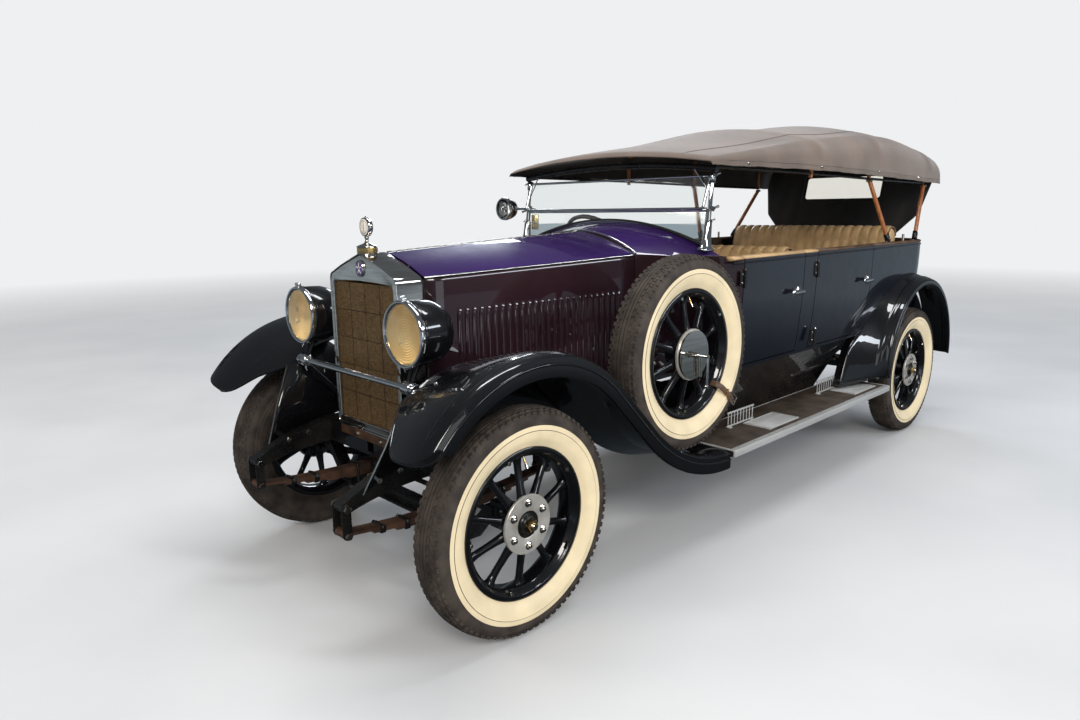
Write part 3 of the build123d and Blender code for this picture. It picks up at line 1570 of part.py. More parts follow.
def running_boards():
    """A board on each side with a rounded outer nose, its brackets and two step plates."""
    low = board_top - board_thickness
    nose = board_outer_x
    face = outline_face((board_inner_x, low), [
        [(nose - board_nose, low)], [(nose, low + board_thickness / 2), (nose - board_nose, board_top)],
        [(board_inner_x, board_top)], [(board_inner_x, low)]], at_front(board_front))
    board = prism(face, (0, board_rear - board_front, 0))
    brackets = []
    for y in (board_bracket_station, board_rear - board_bracket_end_gap):
        brackets.append(block(rail_rear_x + rail_flange / 2 + bracket_gap, board_inner_x + bracket_reach,
            y - bracket_half, y + bracket_half,
                              low - bracket_depth, low))
        brackets.append(block(rail_rear_x + rail_flange / 2 + bracket_gap,
            rail_rear_x + rail_flange / 2 + bracket_plate,
                              y - bracket_half, y + bracket_half, low - bracket_depth,
                                  rail_top - bracket_top_drop))
    plates = [block(step_plate_inner_x, step_plate_outer_x, y, y + step_plate_length, board_top - 1.0,
                    board_top + step_plate_thickness)
              for y in (step_plate_front, board_rear - step_plate_rear_gap)]
    board = fused([board] + brackets + plates)
    return fused([board, mirrored(board)])


nodes["running_boards"] = running_boards()


def splash_aprons():
    """The sheets between body and boards, and the apron below the radiator."""
    t = apron_thickness
    top_x = body_bottom_half_width - apron_top_inset
    foot_x = board_inner_x + apron_foot_inset
    section = [(top_x, body_bottom - 0.5), (apron_knee_x, apron_knee_height), (foot_x, board_top + 0.5),
               (foot_x - t, board_top + 0.5), (apron_knee_x - t, apron_knee_height + t * 0.3),
               (top_x - t, body_bottom - 0.5)]
    sheet = prism(polygon_face(section, at_front(board_front)),
        (0, wheelbase - apron_rear_gap - board_front, 0))
    shelf_low = rail_top - rail_depth + front_apron_lift
    plate = block(-front_apron_half, front_apron_half, radiator_front, radiator_front + t,
        shelf_low - front_apron_lip,
                  rail_top - 2.0)
    shelf = block(-front_apron_half, front_apron_half, radiator_front + t,
                  front_member_station - cross_member_depth / 2, shelf_low, shelf_low + t)
    notch = block(-handle_notch_half, handle_notch_half, radiator_front - 1.0, radiator_front + t + 1.0,
                  shelf_low + t, rail_top)
    return fused([sheet, mirrored(sheet), plate + shelf - notch])


nodes["splash_aprons"] = splash_aprons()


# Headlamps on their cross bar

def headlamps():
    """Two deep drums with open fronts, their posts, the cross bar and its stays."""
    pieces = [rod((-lamp_bar_half, lamp_bar_station, lamp_bar_height),
                  (lamp_bar_half, lamp_bar_station, lamp_bar_height), lamp_bar_radius)]
    rim_end = lamp_front + lamp_rim_depth
    drum_end = rim_end + lamp_drum_depth
    shell = lamp_radius - lamp_rim_step
    for side in (1, -1):
        x = side * lamp_x
        pieces.append(turned_y([
            (lamp_front, lamp_radius - lamp_glass_ring), (lamp_front, lamp_radius - lamp_rim_round),
            (lamp_front + lamp_rim_round_depth, lamp_radius),
            (rim_end, lamp_radius), (rim_end, shell), (drum_end, shell),
            (drum_end + lamp_back_start, shell * lamp_back_share),
            (lamp_back - lamp_tip_depth, shell * lamp_tip_share), (lamp_back, 0.0), (drum_end, 0.0),
            (lamp_front + lamp_bowl_depth, lamp_radius - lamp_glass_ring)], x, lamp_height))
        pieces.append(rod((x, lamp_bar_station + lamp_foot_reach, lamp_height - shell + lamp_foot_sink),
                          (x, lamp_bar_station, lamp_bar_height), lamp_post_radius))
        pieces.append(rod((x, lamp_bar_station, lamp_bar_height),
            (side * (rail_front_x + lamp_stay_inset), -lamp_stay_station,
                          rail_top + lamp_stay_lift), lamp_post_radius * lamp_stay_share))
        pieces.append(block(min(side * (rail_front_x - lamp_pad_inner),
            side * (rail_front_x + lamp_pad_outer)),
                            max(side * (rail_front_x - lamp_pad_inner),
                                side * (rail_front_x + lamp_pad_outer)),
                            -lamp_pad_front, lamp_pad_rear, rail_top + lamp_pad_gap, rail_top + lamp_pad_top))
    return fused(pieces)


nodes["headlamps"] = headlamps()


def headlamp_lenses():
    """Two slightly domed lenses."""
    lenses = []
    for side in (1, -1):
        radius = lamp_radius - lens_ring
        lenses.append(turned_y([
            (lamp_front - lens_dome, 0.0), (lamp_front + lens_bend_depth, radius * lens_bend_share),
            (lamp_front + lens_edge_depth, radius),
            (lamp_front + lens_edge_depth + lens_thickness, radius),
            (lamp_front + lens_edge_depth + lens_thickness, 0.0)],
            side * lamp_x, lamp_height))
    return fused(lenses)


nodes["headlamp_lenses"] = headlamp_lenses()


# Windscreen

cowl_rise = scuttle_rear_ridge - scuttle_rear_crease
cowl_arc_radius = (scuttle_rear_half_width ** 2 + cowl_rise ** 2) / (2 * cowl_rise)


def cowl_height(x):
    """Height of the scuttle's skin at its rear edge."""
    return scuttle_rear_ridge - cowl_arc_radius + math.sqrt(cowl_arc_radius ** 2 - x ** 2)


screen_foot = cowl_height(screen_post_x - screen_post_radius) + 2.0
screen_rise = screen_post_height
screen_top_height = screen_foot + screen_rise
screen_lean = screen_top_station - screen_base_station
screen_slope = math.sqrt(screen_rise ** 2 + screen_lean ** 2)


def screen_point(x, share, forward=0.0):
    """A point on the screen's plane at a share of the post's length."""
    return (x, screen_base_station + screen_lean * share - forward, screen_foot + screen_rise * share)


def screen_pane(points, forward):
    """A pane of (x, share) points, square to the posts."""
    offset = Vector(0, -screen_rise, screen_lean).normalized() * (screen_glass / 2)
    corners = [Vector(*screen_point(x, share, forward)) + offset for x, share in points]
    return extrude(Face(Wire.make_polygon(corners)), amount=screen_glass,
                   dir=tuple(Vector(0, screen_rise, -screen_lean).normalized()))


def windscreen_frame():
    """Posts, rails, the bead along the scuttle's edge and the spot lamp on the right post."""
    x = screen_post_x
    posts = []
    for side in (1, -1):
        posts.append(rod(screen_point(side * x, 0.0), screen_point(side * x, 1.0), screen_post_radius))
        posts.append(Pos(*screen_point(side * x, 1.0)) * Sphere(screen_post_radius))
    posts.append(rod(screen_point(-x, 1.0), screen_point(x, 1.0), screen_rail_radius))
    posts.append(rod(screen_point(-x, screen_mid_share), screen_point(x, screen_mid_share),
                     screen_rail_radius))
    spot = screen_point(spot_lamp_x, spot_lamp_share, spot_lamp_ahead)
    posts.append(rod(screen_point(-x, spot_lamp_share), (spot[0], spot[1] + spot_arm_reach, spot[2]),
        spot_arm_radius))
    posts.append(rod((spot[0], spot[1] - spot_lamp_length / 2, spot[2]),
                     (spot[0], spot[1] + spot_lamp_length / 2, spot[2]), spot_lamp_radius))
    frame = fused(posts)
    reach = scuttle_rear_half_width - wall_thickness - screen_foot_gap
    y = scuttle_rear + cowl_moulding_radius + 0.5
    path = Edge.make_three_point_arc((-reach, y, cowl_height(reach)), (0, y, cowl_height(0.0)),
                                     (reach, y, cowl_height(reach)))
    bead = sweep(Plane(origin=path @ 0, z_dir=path % 0) * Circle(cowl_moulding_radius), path=path)
    return fused([frame, bead])


nodes["windscreen_frame"] = windscreen_frame()


def windscreen_glass():
    """A lower pane cut to the scuttle's arc and an upper pane swung a little forward."""
    half = screen_post_x - screen_post_radius - 1.0
    rail_share = (screen_rail_radius + 1.0) / screen_slope
    lower_top = screen_mid_share - rail_share
    steps = 8
    lower = []
    for number in range(steps + 1):
        x = -half + 2 * half * number / steps
        lower.append((x, (cowl_height(x) + glass_foot_gap - screen_foot) / screen_rise))
    lower += [(half, lower_top), (-half, lower_top)]
    upper_low = screen_mid_share + rail_share
    upper_top = 1.0 - rail_share
    upper = [(-half, upper_low), (half, upper_low), (half, upper_top), (-half, upper_top)]
    return fused([screen_pane(lower, 0.0), screen_pane(upper, 0.0)])


nodes["windscreen_glass"] = windscreen_glass()


# Hood cloth, bows and back curtain

hood_rows = [(y, half) + tuple(screen_top_height + rise for rise in rises)
             for y, half, *rises in hood_sections]


def hood_face(row, inset):
    """One section of the hood: side, shoulder and a single arc over the top."""
    y, half, edge, shoulder, crown = row
    low = edge - (1.0 if inset else 0.0)
    return outline_face((-half + inset, low), [
        [(half - inset, low)], [(half - hood_shoulder_step - inset, shoulder - inset)],
        [(0.0, crown - inset), (-half + hood_shoulder_step + inset, shoulder - inset)], [(-half + inset,
        low)]], at_front(y))


def hood_volume(inset):
    """The hood's space between its first and last section."""
    rows = [list(row) for row in hood_rows]
    if inset:
        rows[0][0] -= 1.0
        rows[-1][0] += 1.0
    pieces = [loft([hood_face(first, inset), hood_face(second, inset)], ruled=True)
              for first, second in zip(rows, rows[1:])]
    return fused(pieces)


def hood_cloth():
    """The shell of the hood in three strips, parted at the two seams along it."""
    cloth = hood_volume(0.0) - hood_volume(hood_skin)
    for side in (1, -1):
        seam = side * hood_seam_x
        cloth = cloth - block(seam - hood_seam_gap / 2, seam + hood_seam_gap / 2, hood_rows[0][0] - 1.0,
                              hood_rows[-1][0] + 1.0, hood_rows[0][2], hood_rows[2][4] + 1.0)
    return cloth


nodes["hood_cloth"] = hood_cloth()


def hood_line(station, column):
    """A hood size between its sections, read at a station."""
    for first, second in zip(hood_rows, hood_rows[1:]):
        if first[0] <= station <= second[0]:
            along = (station - first[0]) / (second[0] - first[0])
            return first[column] + along * (second[column] - first[column])
    return hood_rows[-1][column]


def hood_bow(station, foot_height):
    """A bow across the car under the cloth, with short legs."""
    x = bow_rail_x
    leg_top = hood_line(station, 3) - bow_leg_drop
    crown = hood_line(station, 4) - hood_skin - bow_radius - bow_gap
    path = Edge.make_three_point_arc((-x, station, leg_top), (0, station, crown), (x, station, leg_top))
    over = sweep(Plane(origin=path @ 0, z_dir=path % 0) * Circle(bow_radius), path=path)
    pieces = [over]
    for side in (1, -1):
        pieces.append(Pos(side * x, station, leg_top) * Sphere(bow_radius))
        pieces.append(rod((side * x, station, foot_height), (side * x, station, leg_top), bow_radius))
    return fused(pieces)


def hood_bows():
    """The header, the side irons, three bows and the sticks that stand on the body."""
    x = bow_rail_x
    header_low = screen_top_height + screen_post_radius + 1.0
    header_y = screen_top_station
    header_top = header_low + header_depth
    pieces = [block(-x - header_overhang, x + header_overhang, header_y - header_half,
        header_y + header_half, header_low, header_top)]
    rail_z = header_low + side_rail_lift
    rear_y = hood_sticks[-1][1]
    rear_z = screen_top_height + hood_sticks[-1][2] + side_rail_rear_lift
    for side in (1, -1):
        pieces.append(rod((side * x, header_y, rail_z), (side * x, rear_y, rear_z), side_rail_radius))
    middle_y = hood_rows[1][0] - middle_bow_offset
    pieces.append(hood_bow(middle_y,
        rail_z + (rear_z - rail_z) * (middle_y - header_y) / (rear_y - header_y)))
    for foot_y, head_y, rise in hood_sticks:
        head_z = screen_top_height + rise
        pieces.append(hood_bow(head_y, head_z))
        for side in (1, -1):
            head = (side * x, head_y, head_z)
            pieces.append(Pos(*head) * Sphere(bow_radius))
            pieces.append(rod((side * stick_x, foot_y, belt_height + stick_foot_lift), head, bow_radius))
    return fused(pieces)


nodes["hood_bows"] = hood_bows()


def back_curtain():
    """The sheet that closes the back, leaning outwards, with its window open."""
    foot_y = body_rear - wall_thickness / 2
    foot_z = belt_height + curtain_foot_gap
    head_y = hood_rows[-1][0] - curtain_head_inset
    head_z = hood_rows[-1][4] - hood_skin - curtain_head_gap
    lean = (head_y - foot_y) / (head_z - foot_z)

    def place(point):
        return Vector(point[0], foot_y + (point[1] - foot_z) * lean, point[1])

    side_z = hood_line(head_y, 3) - bow_leg_drop
    foot_half = curtain_half_width
    side_half = hood_rows[-1][1] - hood_skin - curtain_side_gap
    edge_z = hood_line(head_y, 2) + curtain_edge_lift
    face = outline_face((-foot_half + curtain_corner, foot_z), [
        [(foot_half - curtain_corner, foot_z)], [(foot_half, foot_z + curtain_corner_height)], [(side_half,
        edge_z)],
        [(side_half - curtain_shoulder_inset, side_z)], [(0.0, head_z),
        (-side_half + curtain_shoulder_inset, side_z)], [(-side_half, edge_z)],
        [(-foot_half, foot_z + curtain_corner_height)], [(-foot_half + curtain_corner, foot_z)]], place)
    sheet = extrude(face, amount=curtain_thickness, dir=(0, 1, 0))
    window = block(-window_half_width, window_half_width, foot_y, head_y + window_cut_overrun,
                   screen_top_height - window_below_screen_top,
                   screen_top_height + window_above_screen_top)
    return sheet - window


nodes["back_curtain"] = back_curtain()


# Spare wheel on its arm

nodes["spare_wheel"] = wheel_at(1, spare_x, spare_station, spare_height, False, False)
nodes["spare_tyre"] = tyre_at(spare_x, spare_station, spare_height)


def spare_carrier():
    """The arm from the frame, its spindle, and the lock disc with a T handle."""
    y = spare_station
    z = spare_height
    elbow = (spare_x - rim_width - spare_elbow_gap, y, z)
    foot = (rail_front_x + rail_flange / 2 + 1.0, y, rail_top - rail_depth / 2)
    arm = rod((foot[0] + spare_arm_root, y, foot[2] + spare_arm_lift), elbow, spare_arm_radius)
    pad = block(foot[0], foot[0] + spare_pad_thickness, y - spare_pad_half, y + spare_pad_half,
        foot[2] - spare_pad_low, foot[2] + spare_pad_high)
    joint = Pos(*elbow) * Sphere(spindle_radius)
    spindle = rod(elbow, (spare_x + spindle_reach, y, z), spindle_radius)
    carrier = fused([pad, arm, joint, spindle])
    face_x = spare_x + rim_width / 2 - spoke_plate_inset + hub_plate_thickness + spare_disc_gap
    disc_x = face_x + spare_disc_thickness
    disc = rod((face_x, y, z), (disc_x, y, z), spare_disc_radius)
    stem = rod((disc_x - handle_sink, y, z), (disc_x + handle_stem_reach, y, z), handle_stem_radius)
    bar = rod((disc_x + handle_bar_reach, y - handle_bar_half, z + handle_bar_tilt),
        (disc_x + handle_bar_reach, y + handle_bar_half, z - handle_bar_tilt), handle_bar_radius)
    drop = rod((disc_x + handle_bar_reach, y + handle_drop_start, z),
        (disc_x + handle_bar_reach, y + handle_drop_end, z - handle_drop_length), handle_bar_radius)
    return fused([carrier, fused([disc, stem, bar, drop])])


nodes["spare_carrier"] = spare_carrier()


# Steering wheel

def steering_wheel():
    """A round rim with four spokes on a hub, and the shaft inside the column."""
    centre = Vector(*column_point(0.0))
    down = Vector(*column_point(1.0)) - centre
    plane = Plane(origin=centre, x_dir=(1, 0, 0), z_dir=-down)
    rim = plane * Torus(steering_rim_radius, steering_rim_thickness)
    hub = rod(column_point(wheel_hub_length), column_point(0.0), wheel_hub_radius)
    shaft = rod(column_point(shaft_length), column_point(shaft_start), steering_shaft_radius)
    pieces = [rim, hub, shaft]
    for number in range(steering_spokes):
        angle = math.radians(steering_spoke_start + 90.0 * number)
        end = plane.from_local_coords(Vector(math.cos(angle), math.sin(angle), 0) * steering_rim_radius)
        pieces.append(rod(column_point(steering_spoke_depth), tuple(end), steering_spoke_radius))
    return fused(pieces)


nodes["steering_wheel"] = steering_wheel()


# Moving the pieces so that the origin is under the middle of the length, and writing them

boxes = [shape.bounding_box() for shape in nodes.values()]
length_middle = (min(box.min.Y for box in boxes) + max(box.max.Y for box in boxes)) / 2
for name, shape in nodes.items():
    placed = Pos(0, -length_middle, 0) * shape
    export_step(placed, "parts/" + name + ".step")
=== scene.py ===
"""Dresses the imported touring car: finishes, tyres, wheels, wings, hood, seats and fittings."""

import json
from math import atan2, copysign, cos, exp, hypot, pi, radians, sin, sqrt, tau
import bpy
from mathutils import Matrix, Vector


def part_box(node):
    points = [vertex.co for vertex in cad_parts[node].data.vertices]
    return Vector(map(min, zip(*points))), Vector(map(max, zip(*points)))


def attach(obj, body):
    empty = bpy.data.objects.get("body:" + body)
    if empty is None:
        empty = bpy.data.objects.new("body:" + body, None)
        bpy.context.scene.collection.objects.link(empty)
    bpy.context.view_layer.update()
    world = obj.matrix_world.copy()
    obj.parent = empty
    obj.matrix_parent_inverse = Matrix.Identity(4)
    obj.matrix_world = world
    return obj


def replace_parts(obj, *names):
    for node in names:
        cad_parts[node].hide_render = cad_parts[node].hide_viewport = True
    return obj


bl_info = {"name": "Vintage touring car", "version": (1, 0, 0), "blender": (4, 5, 0),
    "location": "3D View > Sidebar > Touring car",
    "description": "Builds the looks of a 1920s open touring car around its packed frame", "category": "Object"}

import bmesh
import bpy
from mathutils import Matrix, Vector

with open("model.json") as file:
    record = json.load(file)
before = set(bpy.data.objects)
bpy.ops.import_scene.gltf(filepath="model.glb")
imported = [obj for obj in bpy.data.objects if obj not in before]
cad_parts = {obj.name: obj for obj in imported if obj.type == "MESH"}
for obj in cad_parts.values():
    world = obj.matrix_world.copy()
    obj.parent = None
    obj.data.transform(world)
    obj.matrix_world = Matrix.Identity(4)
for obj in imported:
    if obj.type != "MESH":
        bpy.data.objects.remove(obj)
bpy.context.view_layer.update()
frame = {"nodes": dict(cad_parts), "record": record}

SIDES = (("left", 1), ("right", -1))


def middle(node):
    """The middle of a CAD node's box."""
    low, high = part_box(node)
    return (Vector(low) + Vector(high)) / 2


FRONT_AXLE = middle("tyre_front_left").y
TYRE_RADIUS = middle("tyre_front_left").z
SPARE = middle("spare_tyre")


def at(x, station, height):
    """A point in the frame: stations run rearwards from the front axle."""
    return Vector((x, FRONT_AXLE + station, height))


# Mesh helpers

def add_object(name, mesh):
    """A linked object for a mesh."""
    piece = bpy.data.objects.new(name, mesh)
    bpy.context.scene.collection.objects.link(piece)
    return piece


def add_mesh(name, points, faces, smooth=True):
    """An object from points and faces, with faces turned outwards."""
    mesh = bpy.data.meshes.new(name)
    mesh.from_pydata([tuple(point) for point in points], [], faces)
    work = bmesh.new()
    work.from_mesh(mesh)
    bmesh.ops.remove_doubles(work, verts=work.verts, dist=1e-6)
    bmesh.ops.recalc_face_normals(work, faces=work.faces)
    work.to_mesh(mesh)
    work.free()
    mesh.shade_smooth() if smooth else mesh.shade_flat()
    return add_object(name, mesh)


def grid_faces(rows, columns, close_rows=False, close_columns=False, start=0):
    """Quads over a grid of points, closed round either way if asked."""
    faces = []
    for row in range(rows if close_rows else rows - 1):
        for column in range(columns if close_columns else columns - 1):
            next_row = (row + 1) % rows
            next_column = (column + 1) % columns
            faces.append((start + row * columns + column, start + row * columns + next_column,
                start + next_row * columns + next_column, start + next_row * columns + column))
    return faces


def loft(name, sections, closed_path=False, smooth=True):
    """A closed skin through closed sections, with flat ends unless the path closes."""
    count = len(sections[0])
    points = [point for section in sections for point in section]
    faces = grid_faces(len(sections), count, closed_path, True)
    if not closed_path:
        faces.append(tuple(range(count)))
        faces.append(tuple(range(len(points) - count, len(points))))
    return add_mesh(name, points, faces, smooth)


def lathe(name, profile, centre, axis=(1, 0, 0), steps=96, smooth=True):
    """A closed (along, radius) profile turned about an axis through the centre."""
    axis = Vector(axis).normalized()
    side = axis.orthogonal().normalized()
    points = []
    for step in range(steps):
        arm = Matrix.Rotation(tau * step / steps, 3, axis) @ side
        points += [Vector(centre) + axis * along + arm * radius for along, radius in profile]
    return add_mesh(name, points, grid_faces(steps, len(profile), True, True), smooth)


def join(name, objects):
    """Several objects as one mesh that keeps each one's materials."""
    keep = objects[0]
    if len(objects) > 1:
        with bpy.context.temp_override(active_object=keep, selected_editable_objects=objects,
                selected_objects=objects, object=keep):
            bpy.ops.object.join()
    keep.name = name
    keep.data.name = name
    return keep


def bake(piece):
    """The piece with its modifiers made part of its mesh."""
    depsgraph = bpy.context.evaluated_depsgraph_get()
    mesh = bpy.data.meshes.new_from_object(piece.evaluated_get(depsgraph))
    piece.modifiers.clear()
    piece.data = mesh
    return piece


def place(piece):
    """The object's own place and turn moved into its mesh."""
    piece.data.transform(piece.matrix_world)
    piece.matrix_world = Matrix.Identity(4)
    return piece


def round_edges(piece, width, segments=2, angle=radians(35)):
    """Bevelled edges with flat faces kept flat."""
    bevel = piece.modifiers.new("rounded edges", "BEVEL")
    bevel.width = width
    bevel.segments = segments
    bevel.limit_method = "ANGLE"
    bevel.angle_limit = angle
    bake(piece)
    shade_by_angle(piece)
    return piece


def shade_by_angle(piece, angle=radians(38)):
    """Smooth faces with sharp edges past an angle."""
    piece.data.shade_smooth()
    work = bmesh.new()
    work.from_mesh(piece.data)
    for edge in work.edges:
        edge.smooth = len(edge.link_faces) < 2 or edge.calc_face_angle(0.0) < angle
    work.to_mesh(piece.data)
    work.free()
    return piece


def block(name, low, high, bevel=0.0, segments=2):
    """A box between two corners, with rounded edges."""
    (x0, y0, z0), (x1, y1, z1) = low, high
    corners = [(x0, y0, z0), (x1, y0, z0), (x1, y1, z0), (x0, y1, z0), (x0, y0, z1), (x1, y0, z1), (x1, y1, z1),
        (x0, y1, z1)]
    faces = [(0, 1, 2, 3), (4, 5, 6, 7), (0, 1, 5, 4), (1, 2, 6, 5), (2, 3, 7, 6), (3, 0, 4, 7)]
    piece = add_mesh(name, corners, faces, smooth=False)
    return round_edges(piece, bevel, segments) if bevel else piece


def rod(name, start, end, radius, sides=20, end_radius=None, bevel=0.0):
    """A round bar between two points, tapered if an end radius is given."""
    start, end = Vector(start), Vector(end)
    length = (end - start).length
    last = radius if end_radius is None else end_radius
    profile = [(0.0, 1e-5), (0.0, radius), (length, last), (length, 1e-5)]
    if bevel:
        profile = [(0.0, 1e-5), (0.0, radius - bevel), (bevel, radius), (length - bevel, last),
            (length, last - bevel), (length, 1e-5)]
    piece = lathe(name, profile, start, end - start, sides)
    return shade_by_angle(piece)


def smooth_path(points, steps, closed=False):
    """Points spaced along a Catmull-Rom curve through the given ones."""
    points = [Vector(point) for point in points]
    count = len(points)
    path = []
    spans = count if closed else count - 1
    for span in range(spans):
        if closed:
            p0, p1, p2, p3 = (points[(span + k) % count] for k in (-1, 0, 1, 2))
        else:
            p0, p1 = points[max(span - 1, 0)], points[span]
            p2, p3 = points[span + 1], points[min(span + 2, count - 1)]
        for step in range(steps):
            t = step / steps
            path.append(0.5 * (2 * p1 + (p2 - p0) * t + (2 * p0 - 5 * p1 + 4 * p2 - p3) * t ** 2
                + (3 * p1 - p0 - 3 * p2 + p3) * t ** 3))
    if not closed:
        path.append(points[-1])
    return path


# Geometry Nodes trees

def add_node(tree, kind, links=(), **settings):
    """A node with settings, and links given as (input, socket or value)."""
    node = tree.nodes.new(kind)
    for key, value in settings.items():
        setattr(node, key, value)
    for key, value in links:
        if isinstance(value, bpy.types.NodeSocket):
            tree.links.new(value, node.inputs[key])
        else:
            node.inputs[key].default_value = value
    return node


def start_tree(name, inputs):
    """A geometry tree with named inputs and one mesh output."""
    tree = bpy.data.node_groups.new(name, "GeometryNodeTree")
    for label, kind in inputs:
        tree.interface.new_socket(label, in_out="INPUT", socket_type=kind)
    tree.interface.new_socket("Mesh", in_out="OUTPUT", socket_type="NodeSocketGeometry")
    return tree, tree.nodes.new("NodeGroupInput"), tree.nodes.new("NodeGroupOutput")


def repeat_tree():
    """Copies of a part, each one step further along a line and one turn further round an axis."""
    tree, given, out = start_tree("repeat a part", [("Part", "NodeSocketObject"), ("Count", "NodeSocketInt"),
        ("Start", "NodeSocketVector"), ("Step", "NodeSocketVector"), ("Axis", "NodeSocketVector"),
        ("Turn", "NodeSocketFloat"), ("Material", "NodeSocketMaterial")])
    line = add_node(tree, "GeometryNodeMeshLine", [("Count", given.outputs["Count"]),
        ("Start Location", given.outputs["Start"]), ("Offset", given.outputs["Step"])])
    index = add_node(tree, "GeometryNodeInputIndex")
    angle = add_node(tree, "ShaderNodeMath", [(0, index.outputs[0]), (1, given.outputs["Turn"])],
        operation="MULTIPLY")
    turn = add_node(tree, "FunctionNodeAxisAngleToRotation", [("Axis", given.outputs["Axis"]),
        ("Angle", angle.outputs[0])])
    part = add_node(tree, "GeometryNodeObjectInfo", [("Object", given.outputs["Part"])])
    copies = add_node(tree, "GeometryNodeInstanceOnPoints", [("Points", line.outputs["Mesh"]),
        ("Instance", part.outputs["Geometry"]), ("Rotation", turn.outputs["Rotation"])])
    real = add_node(tree, "GeometryNodeRealizeInstances", [("Geometry", copies.outputs["Instances"])])
    painted = add_node(tree, "GeometryNodeSetMaterial", [("Geometry", real.outputs["Geometry"]),
        ("Material", given.outputs["Material"])])
    tree.links.new(painted.outputs["Geometry"], out.inputs["Mesh"])
    return tree


def sweep_tree():
    """A round section carried along a line of points, as for beads, pipes and wires."""
    tree, given, out = start_tree("tube along a path", [("Path", "NodeSocketObject"),
        ("Radius", "NodeSocketFloat"), ("Sides", "NodeSocketInt"), ("Flat", "NodeSocketFloat"),
        ("Material", "NodeSocketMaterial")])
    path = add_node(tree, "GeometryNodeObjectInfo", [("Object", given.outputs["Path"])])
    curve = add_node(tree, "GeometryNodeMeshToCurve", [("Mesh", path.outputs["Geometry"])])
    ring = add_node(tree, "GeometryNodeCurvePrimitiveCircle", [("Resolution", given.outputs["Sides"]),
        ("Radius", given.outputs["Radius"])])
    stretch = add_node(tree, "ShaderNodeCombineXYZ", [("X", 1.0), ("Y", given.outputs["Flat"]), ("Z", 1.0)])
    section = add_node(tree, "GeometryNodeTransform", [("Geometry", ring.outputs["Curve"]),
        ("Scale", stretch.outputs["Vector"])])
    tube = add_node(tree, "GeometryNodeCurveToMesh", [("Curve", curve.outputs["Curve"]),
        ("Profile Curve", section.outputs["Geometry"]), ("Fill Caps", True)])
    real = add_node(tree, "GeometryNodeRealizeInstances", [("Geometry", tube.outputs["Mesh"])])
    painted = add_node(tree, "GeometryNodeSetMaterial", [("Geometry", real.outputs["Geometry"]),
        ("Material", given.outputs["Material"])])
    tree.links.new(painted.outputs["Geometry"], out.inputs["Mesh"])
    return tree


def run_tree(name, tree, **values):
    """The plain mesh that a tree makes from named input values."""
    holder = add_object(name, bpy.data.meshes.new(name))
    modifier = holder.modifiers.new("nodes", "NODES")
    modifier.node_group = tree
    for item in tree.interface.items_tree:
        if item.in_out == "INPUT" and item.name in values:
            modifier[item.identifier] = values[item.name]
    bpy.context.view_layer.update()
    bake(holder)
    work = bmesh.new()
    work.from_mesh(holder.data)
    bmesh.ops.recalc_face_normals(work, faces=work.faces)
    work.to_mesh(holder.data)
    work.free()
    return holder


def repeat(name, part, count, material, start=(0, 0, 0), step=(0, 0, 0), axis=(1, 0, 0), turn=0.0):
    """Copies of a part whose own origin is its pivot; the part itself is removed."""
    copies = run_tree(name, TREES["repeat"], Part=part, Count=count, Start=tuple(start), Step=tuple(step),
        Axis=tuple(axis), Turn=turn, Material=FINISHES[material])
    bpy.data.objects.remove(part)
    return shade_by_angle(copies)


def tube(name, points, radius, material, closed=False, sides=12, flat=1.0):
    """A tube along points."""
    edges = [(k, k + 1) for k in range(len(points) - 1)]
    if closed:
        edges.append((len(points) - 1, 0))
    mesh = bpy.data.meshes.new(name)
    mesh.from_pydata([tuple(point) for point in points], edges, [])
    path = add_object(name + "_path", mesh)
    piece = run_tree(name, TREES["sweep"], Path=path, Radius=radius, Sides=sides, Flat=flat,
        Material=FINISHES[material])
    bpy.data.objects.remove(path)
    return shade_by_angle(piece)


TREES = {"repeat": repeat_tree(), "sweep": sweep_tree()}


# Materials

def start_material(name, **values):
    """A material with constants on its shader, and its object coordinates."""
    material = bpy.data.materials.new(name)
    material.use_nodes = True
    tree = material.node_tree
    shader = tree.nodes["Principled BSDF"]
    for key, value in values.items():
        shader.inputs[key.replace("_", " ")].default_value = value
    coords = add_node(tree, "ShaderNodeTexCoord").outputs["Object"]
    return material, tree, shader, coords


def noise(tree, coords, scale, detail=3.0, stretch=(1, 1, 1), roughness=0.5):
    """A noise value over coordinates stretched per axis."""
    mapping = add_node(tree, "ShaderNodeMapping", [("Vector", coords), ("Scale", stretch)])
    return add_node(tree, "ShaderNodeTexNoise", [("Vector", mapping.outputs[0]), ("Scale", scale),
        ("Detail", detail), ("Roughness", roughness)]).outputs["Fac"]


def wave(tree, coords, scale, direction):
    """Slightly wavy bands across one axis."""
    return add_node(tree, "ShaderNodeTexWave", [("Vector", coords), ("Scale", scale), ("Distortion", 0.4),
        ("Detail", 1.0)], wave_type="BANDS", bands_direction=direction).outputs["Fac"]


def blend(tree, value, low, high, dark, light):
    """A colour between two, as a value goes from low to high."""
    ramp = add_node(tree, "ShaderNodeValToRGB", [("Fac", value)])
    first, last = ramp.color_ramp.elements
    first.position, last.position = low, high
    first.color, last.color = (*dark, 1.0), (*light, 1.0)
    return ramp.outputs["Color"]


def spread(tree, value, low, high, start=0.3, end=0.7):
    """A value mapped between two limits."""
    return add_node(tree, "ShaderNodeMapRange", [("Value", value), ("From Min", start), ("From Max", end),
        ("To Min", low), ("To Max", high)]).outputs["Result"]


def bump(tree, shader, height, strength, distance, normal=None):
    """A height pressed into the shader's normal."""
    links = [("Height", height), ("Strength", strength), ("Distance", distance)]
    if normal is not None:
        links.append(("Normal", normal))
    node = add_node(tree, "ShaderNodeBump", links)
    tree.links.new(node.outputs["Normal"], shader.inputs["Normal"])
    return node.outputs["Normal"]


